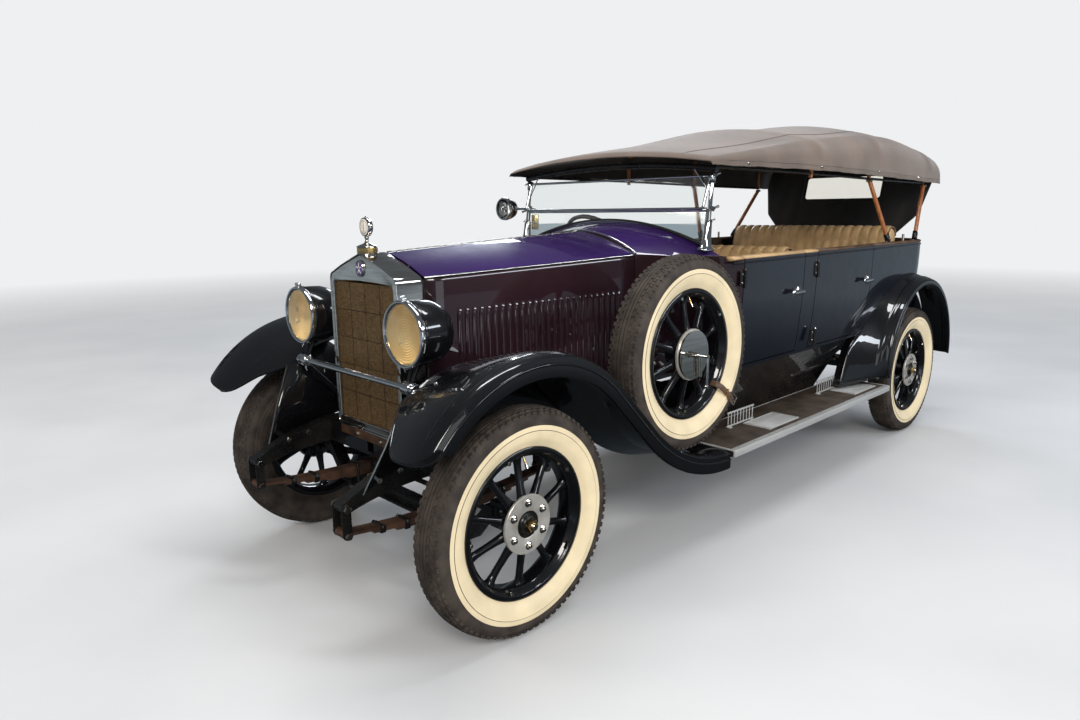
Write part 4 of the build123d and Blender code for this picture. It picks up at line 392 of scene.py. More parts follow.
def combine(tree, first, second, operation="MULTIPLY"):
    """Two values worked together."""
    return add_node(tree, "ShaderNodeMath", [(0, first), (1, second)], operation=operation).outputs[0]


def surface(name, dark, light, rough, patch=3.0, grain=60.0, depth=0.0, grain_depth=0.0, stretch=(1, 1, 1),
        low=0.35, high=0.65, **values):
    """A finish with mottled colour, uneven gloss and a fine and a coarse relief."""
    material, tree, shader, coords = start_material(name, **values)
    patches = noise(tree, coords, patch, 4.0, stretch)
    tree.links.new(blend(tree, patches, low, high, dark, light), shader.inputs["Base Color"])
    fine = noise(tree, coords, grain, 4.0, stretch, 0.6)
    tree.links.new(spread(tree, fine, rough[0], rough[1]), shader.inputs["Roughness"])
    normal = None
    if depth:
        normal = bump(tree, shader, patches, 0.5, depth)
    if grain_depth:
        bump(tree, shader, fine, 0.6, grain_depth, normal)
    return material


def gloss_paint(name, dark, light, tint=0.12):
    """Old coach paint: deep colour, clear coat, slight unevenness and fine polishing marks."""
    return surface(name, dark, light, (0.3, 0.42), patch=2.2, grain=14.0, depth=0.00012, Coat_Weight=1.0,
        Coat_Roughness=0.025, Coat_IOR=1.55, Specular_IOR_Level=tint)


def bright_metal(name, dark, light, rough, stretch=(1, 1, 14)):
    """Plated metal with faint polishing marks."""
    return surface(name, dark, light, rough, patch=6.0, grain=90.0, stretch=stretch, grain_depth=0.00004,
        Metallic=1.0)


def weave_cloth(name, dark, light, pitch, sheen=0.35):
    """A plain weave on the cloth's own UV map, with fading and dust."""
    material, tree, shader, coords = start_material(name, Sheen_Weight=sheen, Sheen_Roughness=0.45)
    uv = add_node(tree, "ShaderNodeTexCoord").outputs["UV"]
    threads = combine(tree, wave(tree, uv, pitch, "X"), wave(tree, uv, pitch, "Y"))
    fade = noise(tree, coords, 3.5, 5.0)
    mottle = combine(tree, combine(tree, threads, 0.35), fade, "ADD")
    tree.links.new(blend(tree, mottle, 0.4, 0.95, dark, light), shader.inputs["Base Color"])
    tree.links.new(spread(tree, fade, 0.82, 0.96), shader.inputs["Roughness"])
    creases = noise(tree, coords, 11.0, 3.0)
    normal = bump(tree, shader, creases, 0.35, 0.004)
    bump(tree, shader, threads, 0.5, 0.0006, normal)
    return material


def leather(name, dark, light, rough, cell=420.0):
    """Grained leather with patchy tone and pressed creases."""
    material, tree, shader, coords = start_material(name, Coat_Weight=0.12, Coat_Roughness=0.4)
    worn = noise(tree, coords, 9.0, 5.0)
    tree.links.new(blend(tree, worn, 0.3, 0.7, dark, light), shader.inputs["Base Color"])
    tree.links.new(spread(tree, worn, *rough), shader.inputs["Roughness"])
    cells = add_node(tree, "ShaderNodeTexVoronoi", [("Vector", coords), ("Scale", cell)])
    creases = noise(tree, coords, 38.0, 3.0)
    normal = bump(tree, shader, creases, 0.25, 0.0015)
    bump(tree, shader, cells.outputs["Distance"], 0.35, 0.0004, normal)
    return material


def wood(name, dark, light, along="Y"):
    """Varnished wood with its grain along one axis."""
    material, tree, shader, coords = start_material(name, Coat_Weight=0.6, Coat_Roughness=0.12)
    stretch = {"X": (0.12, 1, 1), "Y": (1, 0.12, 1), "Z": (1, 1, 0.12)}[along]
    rings = noise(tree, coords, 90.0, 5.0, stretch, 0.65)
    broad = noise(tree, coords, 12.0, 3.0, stretch)
    grain = combine(tree, combine(tree, rings, 0.7), combine(tree, broad, 0.4), "ADD")
    tree.links.new(blend(tree, grain, 0.42, 0.7, dark, light), shader.inputs["Base Color"])
    tree.links.new(spread(tree, rings, 0.3, 0.5), shader.inputs["Roughness"])
    bump(tree, shader, rings, 0.3, 0.0003)
    return material


def clear_glass(name, colour, rough):
    """Thin plate glass."""
    material, tree, shader, coords = start_material(name, Transmission_Weight=1.0, IOR=1.45,
        Base_Color=(*colour, 1.0))
    smears = noise(tree, coords, 7.0, 4.0, (1, 1, 3))
    tree.links.new(spread(tree, smears, rough, rough + 0.05), shader.inputs["Roughness"])
    return material


# Sizes and colours that a user would change

def length(default, name, text):
    """A length property in metres."""
    return bpy.props.FloatProperty(name=name, description=text, default=default, min=0.0, unit="LENGTH")


def colour(default, name, text):
    """A colour property."""
    return bpy.props.FloatVectorProperty(name=name, description=text, default=default, size=3, subtype="COLOR",
        min=0.0, max=1.0)


def number(default, name, text):
    """A count property."""
    return bpy.props.IntProperty(name=name, description=text, default=default, min=1)


class CarSizes(bpy.types.PropertyGroup):
    """Sizes of the parts that a user would change."""

    tread_blocks: number(84, "Tread blocks", "Blocks round each tyre in one row")
    wall_outer: length(0.343, "White wall", "Outer radius of the pale side wall")
    spokes: number(10, "Spokes", "Spokes in each wheel")
    hub_nuts: number(6, "Hub nuts", "Nuts on each hub plate")
    cell: length(0.0085, "Core cell", "Pitch of the radiator's folded strips")
    wing_bead: length(0.0055, "Wing bead", "Radius of the wired edge of each wing")
    mat_rib: length(0.011, "Mat rib", "Pitch of the ribs on the running boards")
    pleat: length(0.062, "Seat pleat", "Width of one sewn channel in the seats")


class CarColours(bpy.types.PropertyGroup):
    """Colours of the main finishes."""

    # The violet is a painted sheen: the aubergine paint drawn lighter and bluer where it is lit from above, on
    # the top panels
    bonnet: colour((0.034, 0.012, 0.098), "Bonnet", "Violet of the bonnet and scuttle")
    # The blue in this blue-black is a painted reflection on near-black paint
    body: colour((0.0045, 0.0055, 0.011), "Body", "Blue-black of the doors and body")
    wing: colour((0.0035, 0.0035, 0.0045), "Wings", "Black of the wings and wheels")
    wall: colour((0.8, 0.66, 0.42), "White wall", "Cream of the side walls")
    leather: colour((0.62, 0.4, 0.19), "Leather", "Tan of the seats")
    hood: colour((0.145, 0.098, 0.07), "Hood", "Taupe of the hood cloth")


def sizes():
    """The scene's size properties."""
    return bpy.context.scene.car_sizes


def colours():
    """The scene's colour properties."""
    return bpy.context.scene.car_colours


FINISHES = {}


def shade(base, factor):
    """A colour made darker or lighter."""
    return tuple(min(1.0, channel * factor) for channel in base)


def make_finishes():
    """Every finish, by name."""
    tones = colours()
    bonnet, body, wing = tuple(tones.bonnet), tuple(tones.body), tuple(tones.wing)
    # bonnet is the aubergine paint with a painted violet sheen for the lit top panels; bonnet_side is the
    # aubergine paint itself
    FINISHES.update({"bonnet": gloss_paint("violet coach paint", shade(bonnet, 0.7), bonnet),
        "bonnet_side": gloss_paint("aubergine coach paint", (0.013, 0.0045, 0.007), (0.027, 0.009, 0.013)),
        # body: near-black paint with a painted blue reflection in its colour
        "body": gloss_paint("blue black coach paint", shade(body, 0.8), shade(body, 1.25)),
        "wing": gloss_paint("black stove enamel", shade(wing, 0.7), shade(wing, 1.2)),
        "frame": surface("black chassis paint", (0.004, 0.004, 0.004), (0.012, 0.011, 0.01), (0.22, 0.34),
        patch=9.0, grain=24.0), "engine": surface("grey engine paint", (0.05, 0.05, 0.052), (0.11, 0.11, 0.11),
        (0.45, 0.7), patch=12.0, grain=90.0, grain_depth=0.0006), "exhaust": surface("burnt steel",
        (0.06, 0.045, 0.035), (0.16, 0.13, 0.11), (0.4, 0.65), patch=14.0, grain=110.0, grain_depth=0.0003,
        Metallic=0.8), "spring": surface("brown spring paint", (0.035, 0.017, 0.01), (0.085, 0.042, 0.022),
        (0.35, 0.6), patch=14.0, grain=150.0, grain_depth=0.0002), "nickel": bright_metal("polished nickel",
        (0.64, 0.6, 0.55), (0.78, 0.75, 0.7), (0.06, 0.11)), "chrome": bright_metal("chromium plate",
        (0.7, 0.7, 0.7), (0.86, 0.86, 0.86), (0.03, 0.11)), "hub": surface("brushed hub plate",
        (0.5, 0.47, 0.42), (0.68, 0.65, 0.6), (0.28, 0.42), patch=20.0, grain=150.0, grain_depth=0.00006,
        Metallic=0.6), "brass": bright_metal("old brass", (0.44, 0.28, 0.1), (0.7, 0.5, 0.22), (0.14, 0.3)),
        "aluminium": surface("brushed aluminium", (0.52, 0.51, 0.49), (0.7, 0.69, 0.67), (0.28, 0.45),
        patch=12.0, grain=160.0, stretch=(1, 0.08, 1), grain_depth=0.00008, Metallic=0.5),
        # core: bronze strip fronts speckled with painted glints and painted dark gaps
        "core": surface("bronze core edges", (0.05, 0.026, 0.01), (0.62, 0.39, 0.18), (0.26, 0.46), patch=250.0,
        # core_wall: the strips' sides, a darker copy of the bronze as painted shade
        grain=300.0, Metallic=0.55), "core_wall": surface("bronze core walls in painted shade", (0.022, 0.011, 0.004),
        # core_back: black painted shade in the core's depth, its grooves and the bonnet's louvre slots
        (0.07, 0.038, 0.015), (0.4, 0.65), patch=40.0, Metallic=0.4), "core_back": surface("black painted shade behind core",
        (0.004, 0.003, 0.002), (0.012, 0.008, 0.005), (0.7, 0.9), patch=20.0),
        "rubber": surface("aged tread rubber", (0.028, 0.02, 0.015), (0.06, 0.045, 0.034), (0.62, 0.86),
        patch=18.0, grain=260.0, grain_depth=0.0003), "wall": surface("cream side wall",
        shade(tones.wall, 0.86), tuple(tones.wall), (0.38, 0.58), patch=9.0, grain=130.0, grain_depth=0.0002,
        Sheen_Weight=0.1), "leather": leather("tan seat leather", shade(tones.leather, 0.72),
        tuple(tones.leather), (0.38, 0.58)), "piping": leather("dark seat piping", (0.16, 0.09, 0.045),
        (0.25, 0.15, 0.08), (0.4, 0.6)), "card": leather("door lining", shade(tones.leather, 0.55),
        shade(tones.leather, 0.8), (0.45, 0.65)), "strap": leather("strap leather", (0.055, 0.028, 0.012),
        (0.13, 0.065, 0.03), (0.4, 0.6)), "webbing": weave_cloth("black webbing", (0.01, 0.01, 0.01),
        (0.04, 0.035, 0.03), 90.0), "hood": weave_cloth("taupe hood cloth", shade(tones.hood, 0.62),
        shade(tones.hood, 1.25), 110.0), "lining": weave_cloth("black hood lining", (0.008, 0.007, 0.007),
        (0.035, 0.03, 0.028), 120.0), "carpet": weave_cloth("floor carpet", (0.02, 0.014, 0.01),
        (0.075, 0.055, 0.04), 60.0, 0.6), "bow": wood("varnished ash bows", (0.22, 0.06, 0.014),
        (0.48, 0.17, 0.045), "Z"), "wheel_wood": wood("dark walnut rim", (0.03, 0.011, 0.005),
        (0.095, 0.038, 0.015), "X"), "mat": surface("brown ribbed rubber", (0.04, 0.028, 0.02),
        (0.085, 0.062, 0.046), (0.5, 0.75), patch=10.0, grain=200.0, grain_depth=0.0003),
        "black_rubber": surface("black rubber", (0.01, 0.01, 0.01), (0.024, 0.023, 0.022), (0.55, 0.75),
        patch=14.0, grain=180.0, grain_depth=0.0002), "glass": clear_glass("windscreen glass",
        (0.93, 0.97, 0.95), 0.0), "silver": surface("silvered bowl", (0.78, 0.78, 0.76), (0.92, 0.92, 0.9),
        # copper: a polished moulding whose copper tint is a painted brown reflection
        (0.1, 0.2), Metallic=0.6), "copper": bright_metal("copper moulding", (0.62, 0.36, 0.22),
        (0.88, 0.62, 0.44), (0.08, 0.22)), "clear": clear_glass("clear lamp glass", (0.95, 0.97, 0.97), 0.01),
        "celluloid": clear_glass("yellowed window sheet", (0.93, 0.9, 0.82), 0.12),
        "lens": clear_glass("pale lens glass", (1.0, 0.9, 0.7), 0.03),
        "red": clear_glass("ruby lamp glass", (0.75, 0.02, 0.015), 0.04),
        "reflector": surface("silvered reflector", (0.92, 0.68, 0.37), (1.0, 0.86, 0.58), (0.08, 0.18),
        patch=14.0, grain=60.0, Metallic=0.5), "dial": surface("pale dial face", (0.66, 0.62, 0.52),
        (0.78, 0.74, 0.66), (0.35, 0.5), patch=30.0), "enamel": surface("violet enamel", (0.06, 0.018, 0.14),
        (0.1, 0.035, 0.22), (0.12, 0.2), patch=20.0, Coat_Weight=1.0, Coat_Roughness=0.03),
        "red_paint": surface("red needle", (0.35, 0.01, 0.008), (0.5, 0.02, 0.015), (0.35, 0.5), patch=30.0),
        "apron": surface("brown apron paint", (0.05, 0.026, 0.014), (0.1, 0.055, 0.03), (0.38, 0.55),
        patch=16.0, grain=140.0, grain_depth=0.0002, Metallic=0.4), "ink": surface("black ink",
        (0.006, 0.006, 0.006), (0.012, 0.012, 0.012), (0.4, 0.5), patch=30.0)})


CAD_FINISH = {  # finish: the CAD nodes that have it
    "body": "body_tub door_front_left door_front_right door_rear_left door_rear_right",
    # bonnet: the painted violet sheen of the lit top panels and scuttle
    "bonnet": "scuttle bonnet_top_left bonnet_top_right",
    "bonnet_side": "bonnet_side_left bonnet_side_right",
    "frame": "chassis_frame front_axle rear_axle tie_rod knuckle_left knuckle_right",
    "engine": "engine_and_exhaust",
    "spring": "leaf_springs",
    "wing": "front_wings rear_wings splash_aprons running_boards headlamps spare_wheel wheel_front_left "
        "wheel_front_right wheel_rear_left wheel_rear_right",
    "lens": "headlamp_lenses",
    "bow": "hood_bows",
    "hood": "hood_cloth",
    "lining": "back_curtain",
    "nickel": "radiator_shell spare_carrier windscreen_frame",
    "core": "radiator_core",
    "wheel_wood": "steering_wheel",
    "glass": "windscreen_glass",
    "leather": "front_seat rear_seat",
    "rubber": "spare_tyre tyre_front_left tyre_front_right tyre_rear_left tyre_rear_right",
}

BODY_OF = {node: name for name, nodes in frame["record"]["behaviour"]["bodies"].items() for node in nodes}


def beside(piece, node):
    """Puts a piece on a CAD node's body."""
    if piece.matrix_world != Matrix.Identity(4):
        place(piece)
    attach(piece, BODY_OF[node])
    return piece


def stand_in(piece, node):
    """Puts a piece on a CAD node's body and hides the node."""
    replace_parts(beside(piece, node), node)
    return piece


def paint(piece, *finishes):
    """A piece with its finishes, the first of them on all of it."""
    piece.data.materials.clear()
    for finish in finishes:
        piece.data.materials.append(FINISHES[finish])
    return piece


def painted(finish, *parts):
    """Parts that share one finish."""
    return [paint(part, finish) for part in parts]


# Tyres and wheels

def tyre_profile():
    """Half of a tyre's section as (across, radius), from the bead to the middle of the tread."""
    outer = TYRE_RADIUS
    edge = sizes().wall_outer
    return [(0.044, 0.267), (0.0475, 0.276), (0.056, 0.285), (0.0635, 0.3), (0.0672, 0.313),
        (0.0684, edge - 0.0225), (0.0694, edge - 0.0184), (0.0684, edge - 0.0165), (0.069, edge - 0.006),
        (0.0686, edge), (0.0672, edge + 0.0015), (0.0678, edge + 0.012), (0.0664, outer - 0.036),
        (0.061, outer - 0.024), (0.053, outer - 0.015), (0.042, outer - 0.0085), (0.03, outer - 0.0062),
        (0.02, outer - 0.0055), (0.0195, outer - 0.0005), (0.0105, outer), (0.01, outer - 0.005),
        (0.007, outer - 0.005), (0.0065, outer), (0.0, outer)]


def tread_block(name, across, radius, width, long, deep, lean):
    """One block standing on the tread, its own origin on the wheel's axis."""
    half_width, half_long = width / 2, long / 2
    base = radius - deep
    points = []
    for level, grow in ((base, 0.0008), (radius, 0.0)):
        for x, y in ((-1, -1), (1, -1), (1, 1), (-1, 1)):
            px = across + x * (half_width + grow)
            points.append((px, y * (half_long + grow) + x * lean, level - abs(px) * 0.06))
    faces = [(0, 1, 2, 3), (4, 5, 6, 7), (0, 1, 5, 4), (1, 2, 6, 5), (2, 3, 7, 6), (3, 0, 4, 7)]
    return add_mesh(name, points, faces, smooth=False)


def make_tyre(name, centre):
    """A tyre with a pale wall, a fine ring near its edge, ribs and rows of blocks."""
    half = tyre_profile()
    profile = half + [(-x, radius) for x, radius in half[-2::-1]]
    body = paint(lathe(name, profile, (0, 0, 0), (1, 0, 0), 144), "rubber", "wall")
    edge = sizes().wall_outer
    outward = 1 if centre[0] > 0 else -1
    for face in body.data.polygons:
        radius = hypot(face.center.y, face.center.z)
        pale = face.center.x * outward > 0.045 and radius < edge - 0.0005
        line = edge - 0.0182 < radius < edge - 0.0166
        face.material_index = 1 if pale and not line else 0
    shade_by_angle(body, radians(40))
    rows = [
        # across, radius at the block's top, width, length, depth, lean
        (0.0265, TYRE_RADIUS - 0.0012, 0.01, 0.0205, 0.006, 0.003),
        (0.0395, TYRE_RADIUS - 0.003, 0.0115, 0.0175, 0.007, -0.002),
        (0.0535, TYRE_RADIUS - 0.0088, 0.0125, 0.016, 0.008, 0.0),
    ]
    pieces = [body]
    count = sizes().tread_blocks
    turn = tau / count
    for side in (1, -1):
        for number_in_row, (across, radius, width, long, deep, lean) in enumerate(rows):
            part = tread_block("block", side * across, radius, width, long, deep, lean)
            spun = Matrix.Rotation(turn * 0.5 * ((number_in_row + (side < 0)) % 2), 4, "X")
            part.data.transform(spun)
            pieces.append(repeat("blocks", part, count, "rubber", turn=turn))
    tyre = join(name, pieces)
    tyre.data.transform(Matrix.Translation(centre))
    return tyre


def spoke_section(distance, width, depth, x, power=2.4):
    """A rounded section across a spoke."""
    points = []
    for step in range(16):
        angle = tau * step / 16
        c, s = cos(angle), sin(angle)
        points.append(Vector((x + copysign(abs(c) ** (2 / power), c) * depth / 2,
            copysign(abs(s) ** (2 / power), s) * width / 2, distance)))
    return points


def make_wheel(name, side, centre, capped):
    """A cast wheel: stepped rim, waisted spokes that flare at both ends, and a nickel hub plate."""
    rim_profile = [(-0.0495, 0.249), (-0.0495, 0.2655), (-0.0475, 0.267), (-0.044, 0.2665), (-0.041, 0.26),
        (-0.037, 0.254), (0.037, 0.254), (0.041, 0.26), (0.044, 0.2665), (0.0475, 0.267), (0.0495, 0.2655),
        (0.0495, 0.25), (0.047, 0.2475), (0.043, 0.247), (0.0425, 0.242), (0.036, 0.2405), (0.032, 0.233),
        (0.02, 0.23), (-0.024, 0.23), (-0.032, 0.235), (-0.04, 0.241), (-0.044, 0.246)]
    rim = paint(lathe("rim", [(side * x, r) for x, r in rim_profile], (0, 0, 0), (1, 0, 0), 128), "wing")
    root_x = side * 0.026
    rows = [
        # distance from the axis, width, depth, place across
        (0.05, 0.05, 0.04, root_x), (0.072, 0.044, 0.036, root_x), (0.095, 0.034, 0.03, side * 0.021),
        (0.125, 0.027, 0.026, side * 0.014), (0.165, 0.0245, 0.024, side * 0.007),
        (0.2, 0.026, 0.024, side * 0.002), (0.22, 0.034, 0.027, 0.0), (0.231, 0.052, 0.034, 0.0),
        (0.238, 0.064, 0.04, 0.0)]
    spoke = loft("spoke", [spoke_section(*row) for row in rows])
    count = sizes().spokes
    spokes = repeat("spokes", spoke, count, "wing", turn=tau / count)
    plate = side * 0.0435
    hub = paint(lathe("hub", [(side * a, r) for a, r in [(-0.043, 0.021), (-0.043, 0.055), (-0.02, 0.058),
        (0.01, 0.066), (0.0405, 0.074), (0.0415, 0.098), (0.0435, 0.0985), (0.0435, 0.021)]], (0, 0, 0),
        (1, 0, 0), 72), "wing")
    pieces = [rim, spokes, hub]
    inner = 0.0475 if capped else 0.0
    pieces.append(paint(lathe("hub_plate", [(plate, inner + 1e-5), (plate, 0.1045),
        (plate + side * 0.0075, 0.1045), (plate + side * 0.0095, 0.1025),
        (plate + side * 0.0095, inner + 0.002), (plate + side * 0.008, inner + 1e-5)], (0, 0, 0), (1, 0, 0),
        96), "hub"))
    shade_by_angle(pieces[-1])
    if capped:
        face = plate + side * 0.0085
        nut = join("nut", [hexagon("nut_body", (face + side * 0.001, 0, 0.076), side, 0.0105, 0.009),
            rod("washer", (face, 0, 0.076), (face + side * 0.0018, 0, 0.076), 0.0145, 24),
            rod("stud", (face, 0, 0.076), (face + side * 0.014, 0, 0.076), 0.0052, 14)])
        pieces.append(repeat("hub_nuts", nut, sizes().hub_nuts, "nickel", turn=tau / sizes().hub_nuts))
        pieces.append(paint(lathe("hub_well", [(side * a, r) for a, r in [(0.044, 0.02), (0.044, 0.0474),
            (0.05, 0.0474), (0.046, 0.04), (0.046, 0.033), (0.057, 0.031), (0.062, 0.027), (0.062, 0.02)]],
            (0, 0, 0), (1, 0, 0), 64), "frame"))
        end = hexagon("axle_nut", (side * 0.058, 0, 0), side, 0.0215, 0.024)
        thread = rod("axle_end", (side * 0.044, 0, 0), (side * 0.0885, 0, 0), 0.0125, 24, bevel=0.002)
        pieces += [paint(end, "brass"), paint(thread, "nickel")]
    valve = rod("valve", (side * 0.02, 0.01, 0.231), (side * 0.038, 0.01, 0.196), 0.0034, 12)
    cap = rod("valve_cap", (side * 0.033, 0.01, 0.205), (side * 0.04, 0.01, 0.19), 0.0048, 12)
    pieces += [paint(valve, "brass"), paint(cap, "nickel")]
    lug = block("lug", (side * 0.04 - 0.0045, -0.016, 0.2385), (side * 0.04 + 0.0045, 0.016, 0.25), 0.002)
    lug.data.transform(Matrix.Rotation(tau / count / 2, 4, "X"))
    bolt = hexagon("bolt", (side * 0.0425, 0, 0.242), side, 0.007, 0.008)
    bolt.data.transform(Matrix.Rotation(tau / count / 2, 4, "X"))
    pieces.append(repeat("rim_lugs", lug, count // 2, "wing", turn=2 * tau / count))
    pieces.append(repeat("rim_bolts", bolt, count // 2, "nickel", turn=2 * tau / count))
    wheel = join(name, pieces)
    wheel.data.transform(Matrix.Translation(centre))
    return wheel


def hexagon(name, start, side, radius, height):
    """A six-sided nut that stands out along X."""
    start = Vector(start)
    points = []
    for along, reach in ((0.0, radius), (height * 0.82, radius), (height, radius * 0.86)):
        points += [start + Vector((side * along, cos(tau * k / 6) * reach, sin(tau * k / 6) * reach))
            for k in range(6)]
    faces = grid_faces(3, 6, False, True) + [tuple(range(6)), tuple(range(12, 18))]
    return add_mesh(name, points, faces, smooth=False)


class CAR_OT_wheels(bpy.types.Operator):
    """Tyres with pale walls and cast wheels with nickel hub plates."""

    bl_idname = "car.wheels"
    bl_label = "Wheels and tyres"

    def execute(self, context):
        for end in ("front", "rear"):
            for side_name, side in SIDES:
                body = "wheel_%s_%s" % (end, side_name)
                node = "tyre_%s_%s" % (end, side_name)
                tyre = make_tyre("tyre_and_wall_%s_%s" % (end, side_name), middle(node))
                stand_in(tyre, node)
                wheel = make_wheel("cast_wheel_%s_%s" % (end, side_name), side, middle(node), True)
                stand_in(wheel, body)
                if end == "rear":
                    drum = lathe("drum_" + side_name, [(side * a, r) for a, r in [(-0.081, 0.16),
                        (-0.081, 0.168), (-0.07, 0.168), (-0.069, 0.171), (-0.062, 0.171), (-0.061, 0.168),
                        (-0.04, 0.168), (-0.035, 0.163), (-0.035, 0.05), (-0.042, 0.05), (-0.043, 0.16)]],
                        middle(node))
                    beside(paint(drum, "frame"), body)
        tyre = make_tyre("spare_tyre_and_wall", SPARE)
        stand_in(tyre, "spare_tyre")
        wheel = make_wheel("spare_cast_wheel", 1, SPARE, False)
        stand_in(wheel, "spare_wheel")
        return {"FINISHED"}


# Wings

def path_points(stretches, step):
    """Points (station, height, normal angle) along arcs and straights; angle 0 points up."""
    points = []
    for kind, centre_y, centre_z, radius, start, end in stretches:
        if kind == "line":
            (y0, z0), (y1, z1) = start, end
            count = max(2, round(hypot(y1 - y0, z1 - z0) / step))
            angle = atan2(-(z1 - z0), y1 - y0)
            points += [(y0 + (y1 - y0) * k / count, z0 + (z1 - z0) * k / count, angle) for k in range(count)]
            continue
        count = max(2, round(abs(end - start) * radius / step))
        for k in range(count):
            angle = start + (end - start) * k / count
            if kind == "over":
                points.append((centre_y + radius * sin(angle), centre_z + radius * cos(angle), angle))
            else:
                points.append((centre_y - radius * sin(angle), centre_z - radius * cos(angle), angle))
    return points


def front_wing_path():
    """The outer edge line of a front wing, from its tip to the running board."""
    slope = radians(45.0)
    arc_y, arc_z, arc = 0.02, 0.42, 0.53
    top = (arc_y + arc * sin(slope), arc_z + arc * cos(slope))
    run = (0.6 - top[0]) / cos(slope)
    foot = (0.6, top[1] - run * sin(slope))
    hollow = 0.785
    centre = (foot[0] + hollow * sin(slope), foot[1] + hollow * cos(slope))
    tip_end = radians(-40.0)
    points = path_points([("over", arc_y, arc_z, arc, radians(-58.0), tip_end)], 0.005)
    points += path_points([("over", arc_y, arc_z, arc, tip_end, slope), ("line", 0, 0, 0, top, foot),
        ("under", centre[0], centre[1], hollow, slope, 0.0)], 0.016)
    points.append((centre[0], centre[1] - hollow, 0.0))
    return points


def crown(x, table):
    """Height of a wing's skin over its edge line, read off a fine table."""
    for (x0, h0), (x1, h1) in zip(table, table[1:]):
        if x1 <= x <= x0:
            return h0 + (h1 - h0) * (x0 - x) / (x0 - x1)
    return table[-1][1]


FRONT_CROWN = [(point.x, point.y) for point in smooth_path([(x, h, 0.0)
    for x, h in ((0.806, 0.02), (0.799, 0.029), (0.78, 0.0345), (0.746, 0.0365), (0.7, 0.0325), (0.64, 0.0215),
    (0.56, 0.0015), (0.48, -0.02), (0.422, -0.038))], 8)]


TIP = [  # distance from the tip along the wing, inner x, outer x
    (0.0, 0.648, 0.676), (0.005, 0.624, 0.716), (0.014, 0.602, 0.752), (0.028, 0.581, 0.78),
    (0.046, 0.562, 0.797), (0.075, 0.537, 0.806), (0.115, 0.506, 0.806), (0.165, 0.456, 0.806),
    (0.215, 0.422, 0.806)]


def tip_limits(along):
    """The inner and outer x of a front wing's sheet, drawn in towards its rounded tip."""
    for (near, inner, outer), (far, next_inner, next_outer) in zip(TIP, TIP[1:]):
        if along <= far:
            share = (along - near) / (far - near)
            return inner + (next_inner - inner) * share, outer + (next_outer - outer) * share
    return TIP[-1][1], TIP[-1][2]


def edge_foot(outer_x):
    """How far the outer edge is lifted where it turns in round the tip."""
    return (TIP[-1][2] - outer_x) * 0.09


def distances(path):
    """How far along the path each of its points is."""
    along = [0.0]
    for (y0, z0, _), (y1, z1, _) in zip(path, path[1:]):
        along.append(along[-1] + hypot(y1 - y0, z1 - z0))
    return along


def wing_sheet(name, side, path, table, thick, dent=None, ribs=()):
    """A crowned sheet along a path, with a rounded tip, a turned-down edge and ribs."""
    rows = []
    along = distances(path)
    for (y, z, angle), distance in zip(path, along):
        inner_x, outer_x = tip_limits(distance)
        edge, foot = crown(outer_x, table), edge_foot(outer_x)
        line = [(outer_x, foot), (outer_x + 0.0006, foot + (edge - foot) * 0.4),
            (outer_x + 0.0004, foot + (edge - foot) * 0.75)]
        across = [outer_x - (outer_x - inner_x) * (k / 44.0) ** 1.35 for k in range(45)]
        line += [(x, crown(x, table)) for x in across]
        top = []
        for x, height in line:
            for rib_x, rib_width, rib_height, rib_start, rib_end in ribs:
                if abs(x - rib_x) < rib_width and rib_start < distance < along[-1] - rib_end:
                    fade = min(1.0, (distance - rib_start) / 0.06, (along[-1] - rib_end - distance) / 0.06)
                    height += rib_height * fade * cos(pi * (x - rib_x) / rib_width / 2) ** 2
            top.append((x, height))
        under = [(x - thick if k < 6 else x, height - (0.0 if k < 2 else thick))
            for k, (x, height) in enumerate(top)]
        under[-1] = (top[-1][0], top[-1][1] - thick)
        row = []
        for x, height in top + under[::-1]:
            point = Vector((x, y + height * sin(angle), z + height * cos(angle)))
            if dent:
                point = dent(point)
            row.append(at(side * point.x, point.y, point.z))
        rows.append(row)
    return shade_by_angle(loft(name, rows))


def spare_dent(point):
    """Presses the sheet clear of the spare tyre's foot."""
    spare_y, spare_z = SPARE.y - FRONT_AXLE, SPARE.z
    reach = TYRE_RADIUS + 0.013
    low_x, high_x = SPARE.x - 0.083, SPARE.x + 0.0745
    if not low_x < point.x < high_x:
        return point
    offset = Vector((0.0, point.y - spare_y, point.z - spare_z))
    if offset.length >= reach:
        return point
    ease = min(1.0, (point.x - low_x) / 0.01, (high_x - point.x) / 0.004)
    target = offset.normalized() * reach
    moved = offset.lerp(target, ease)
    return Vector((point.x, spare_y + moved.y, spare_z + moved.z))


def edge_line(side, path, inner):
    """Points along a front wing's inner or outer edge."""
    line = []
    for (y, z, angle), distance in zip(path, distances(path)):
        inner_x, outer_x = tip_limits(distance)
        x = inner_x - 0.0005 if inner else outer_x - 0.0025
        height = crown(inner_x, FRONT_CROWN) - 0.002 if inner else edge_foot(outer_x) + 0.0005
        line.append(at(side * x, y + height * sin(angle), z + height * cos(angle)))
    return line


def front_wing(side_name, side):
    """One front wing with its ribs, wired edge and inner rib line."""
    path = front_wing_path()
    ribs = [  # x, half width, height, clear of the tip, clear of the foot
        (0.77, 0.0045, 0.0042, 0.05, 0.06), (0.757, 0.0045, 0.0042, 0.04, 0.06),
        (0.56, 0.005, 0.003, 0.11, 0.12)]
    dent = spare_dent if side > 0 else None
    pieces = [paint(wing_sheet("sheet", side, path, FRONT_CROWN, 0.0055, dent, ribs), "wing")]
    outer, inner = edge_line(side, path, False), edge_line(side, path, True)
    around = sum(1 for distance in distances(path) if distance < 0.215)
    pieces.append(tube("bead", outer[::-1] + inner[:around], sizes().wing_bead, "wing", sides=10))
    pieces.append(tube("inner_bead", inner[around - 1:], 0.0035, "wing", sides=8))
    return join("front_wing_" + side_name, pieces)


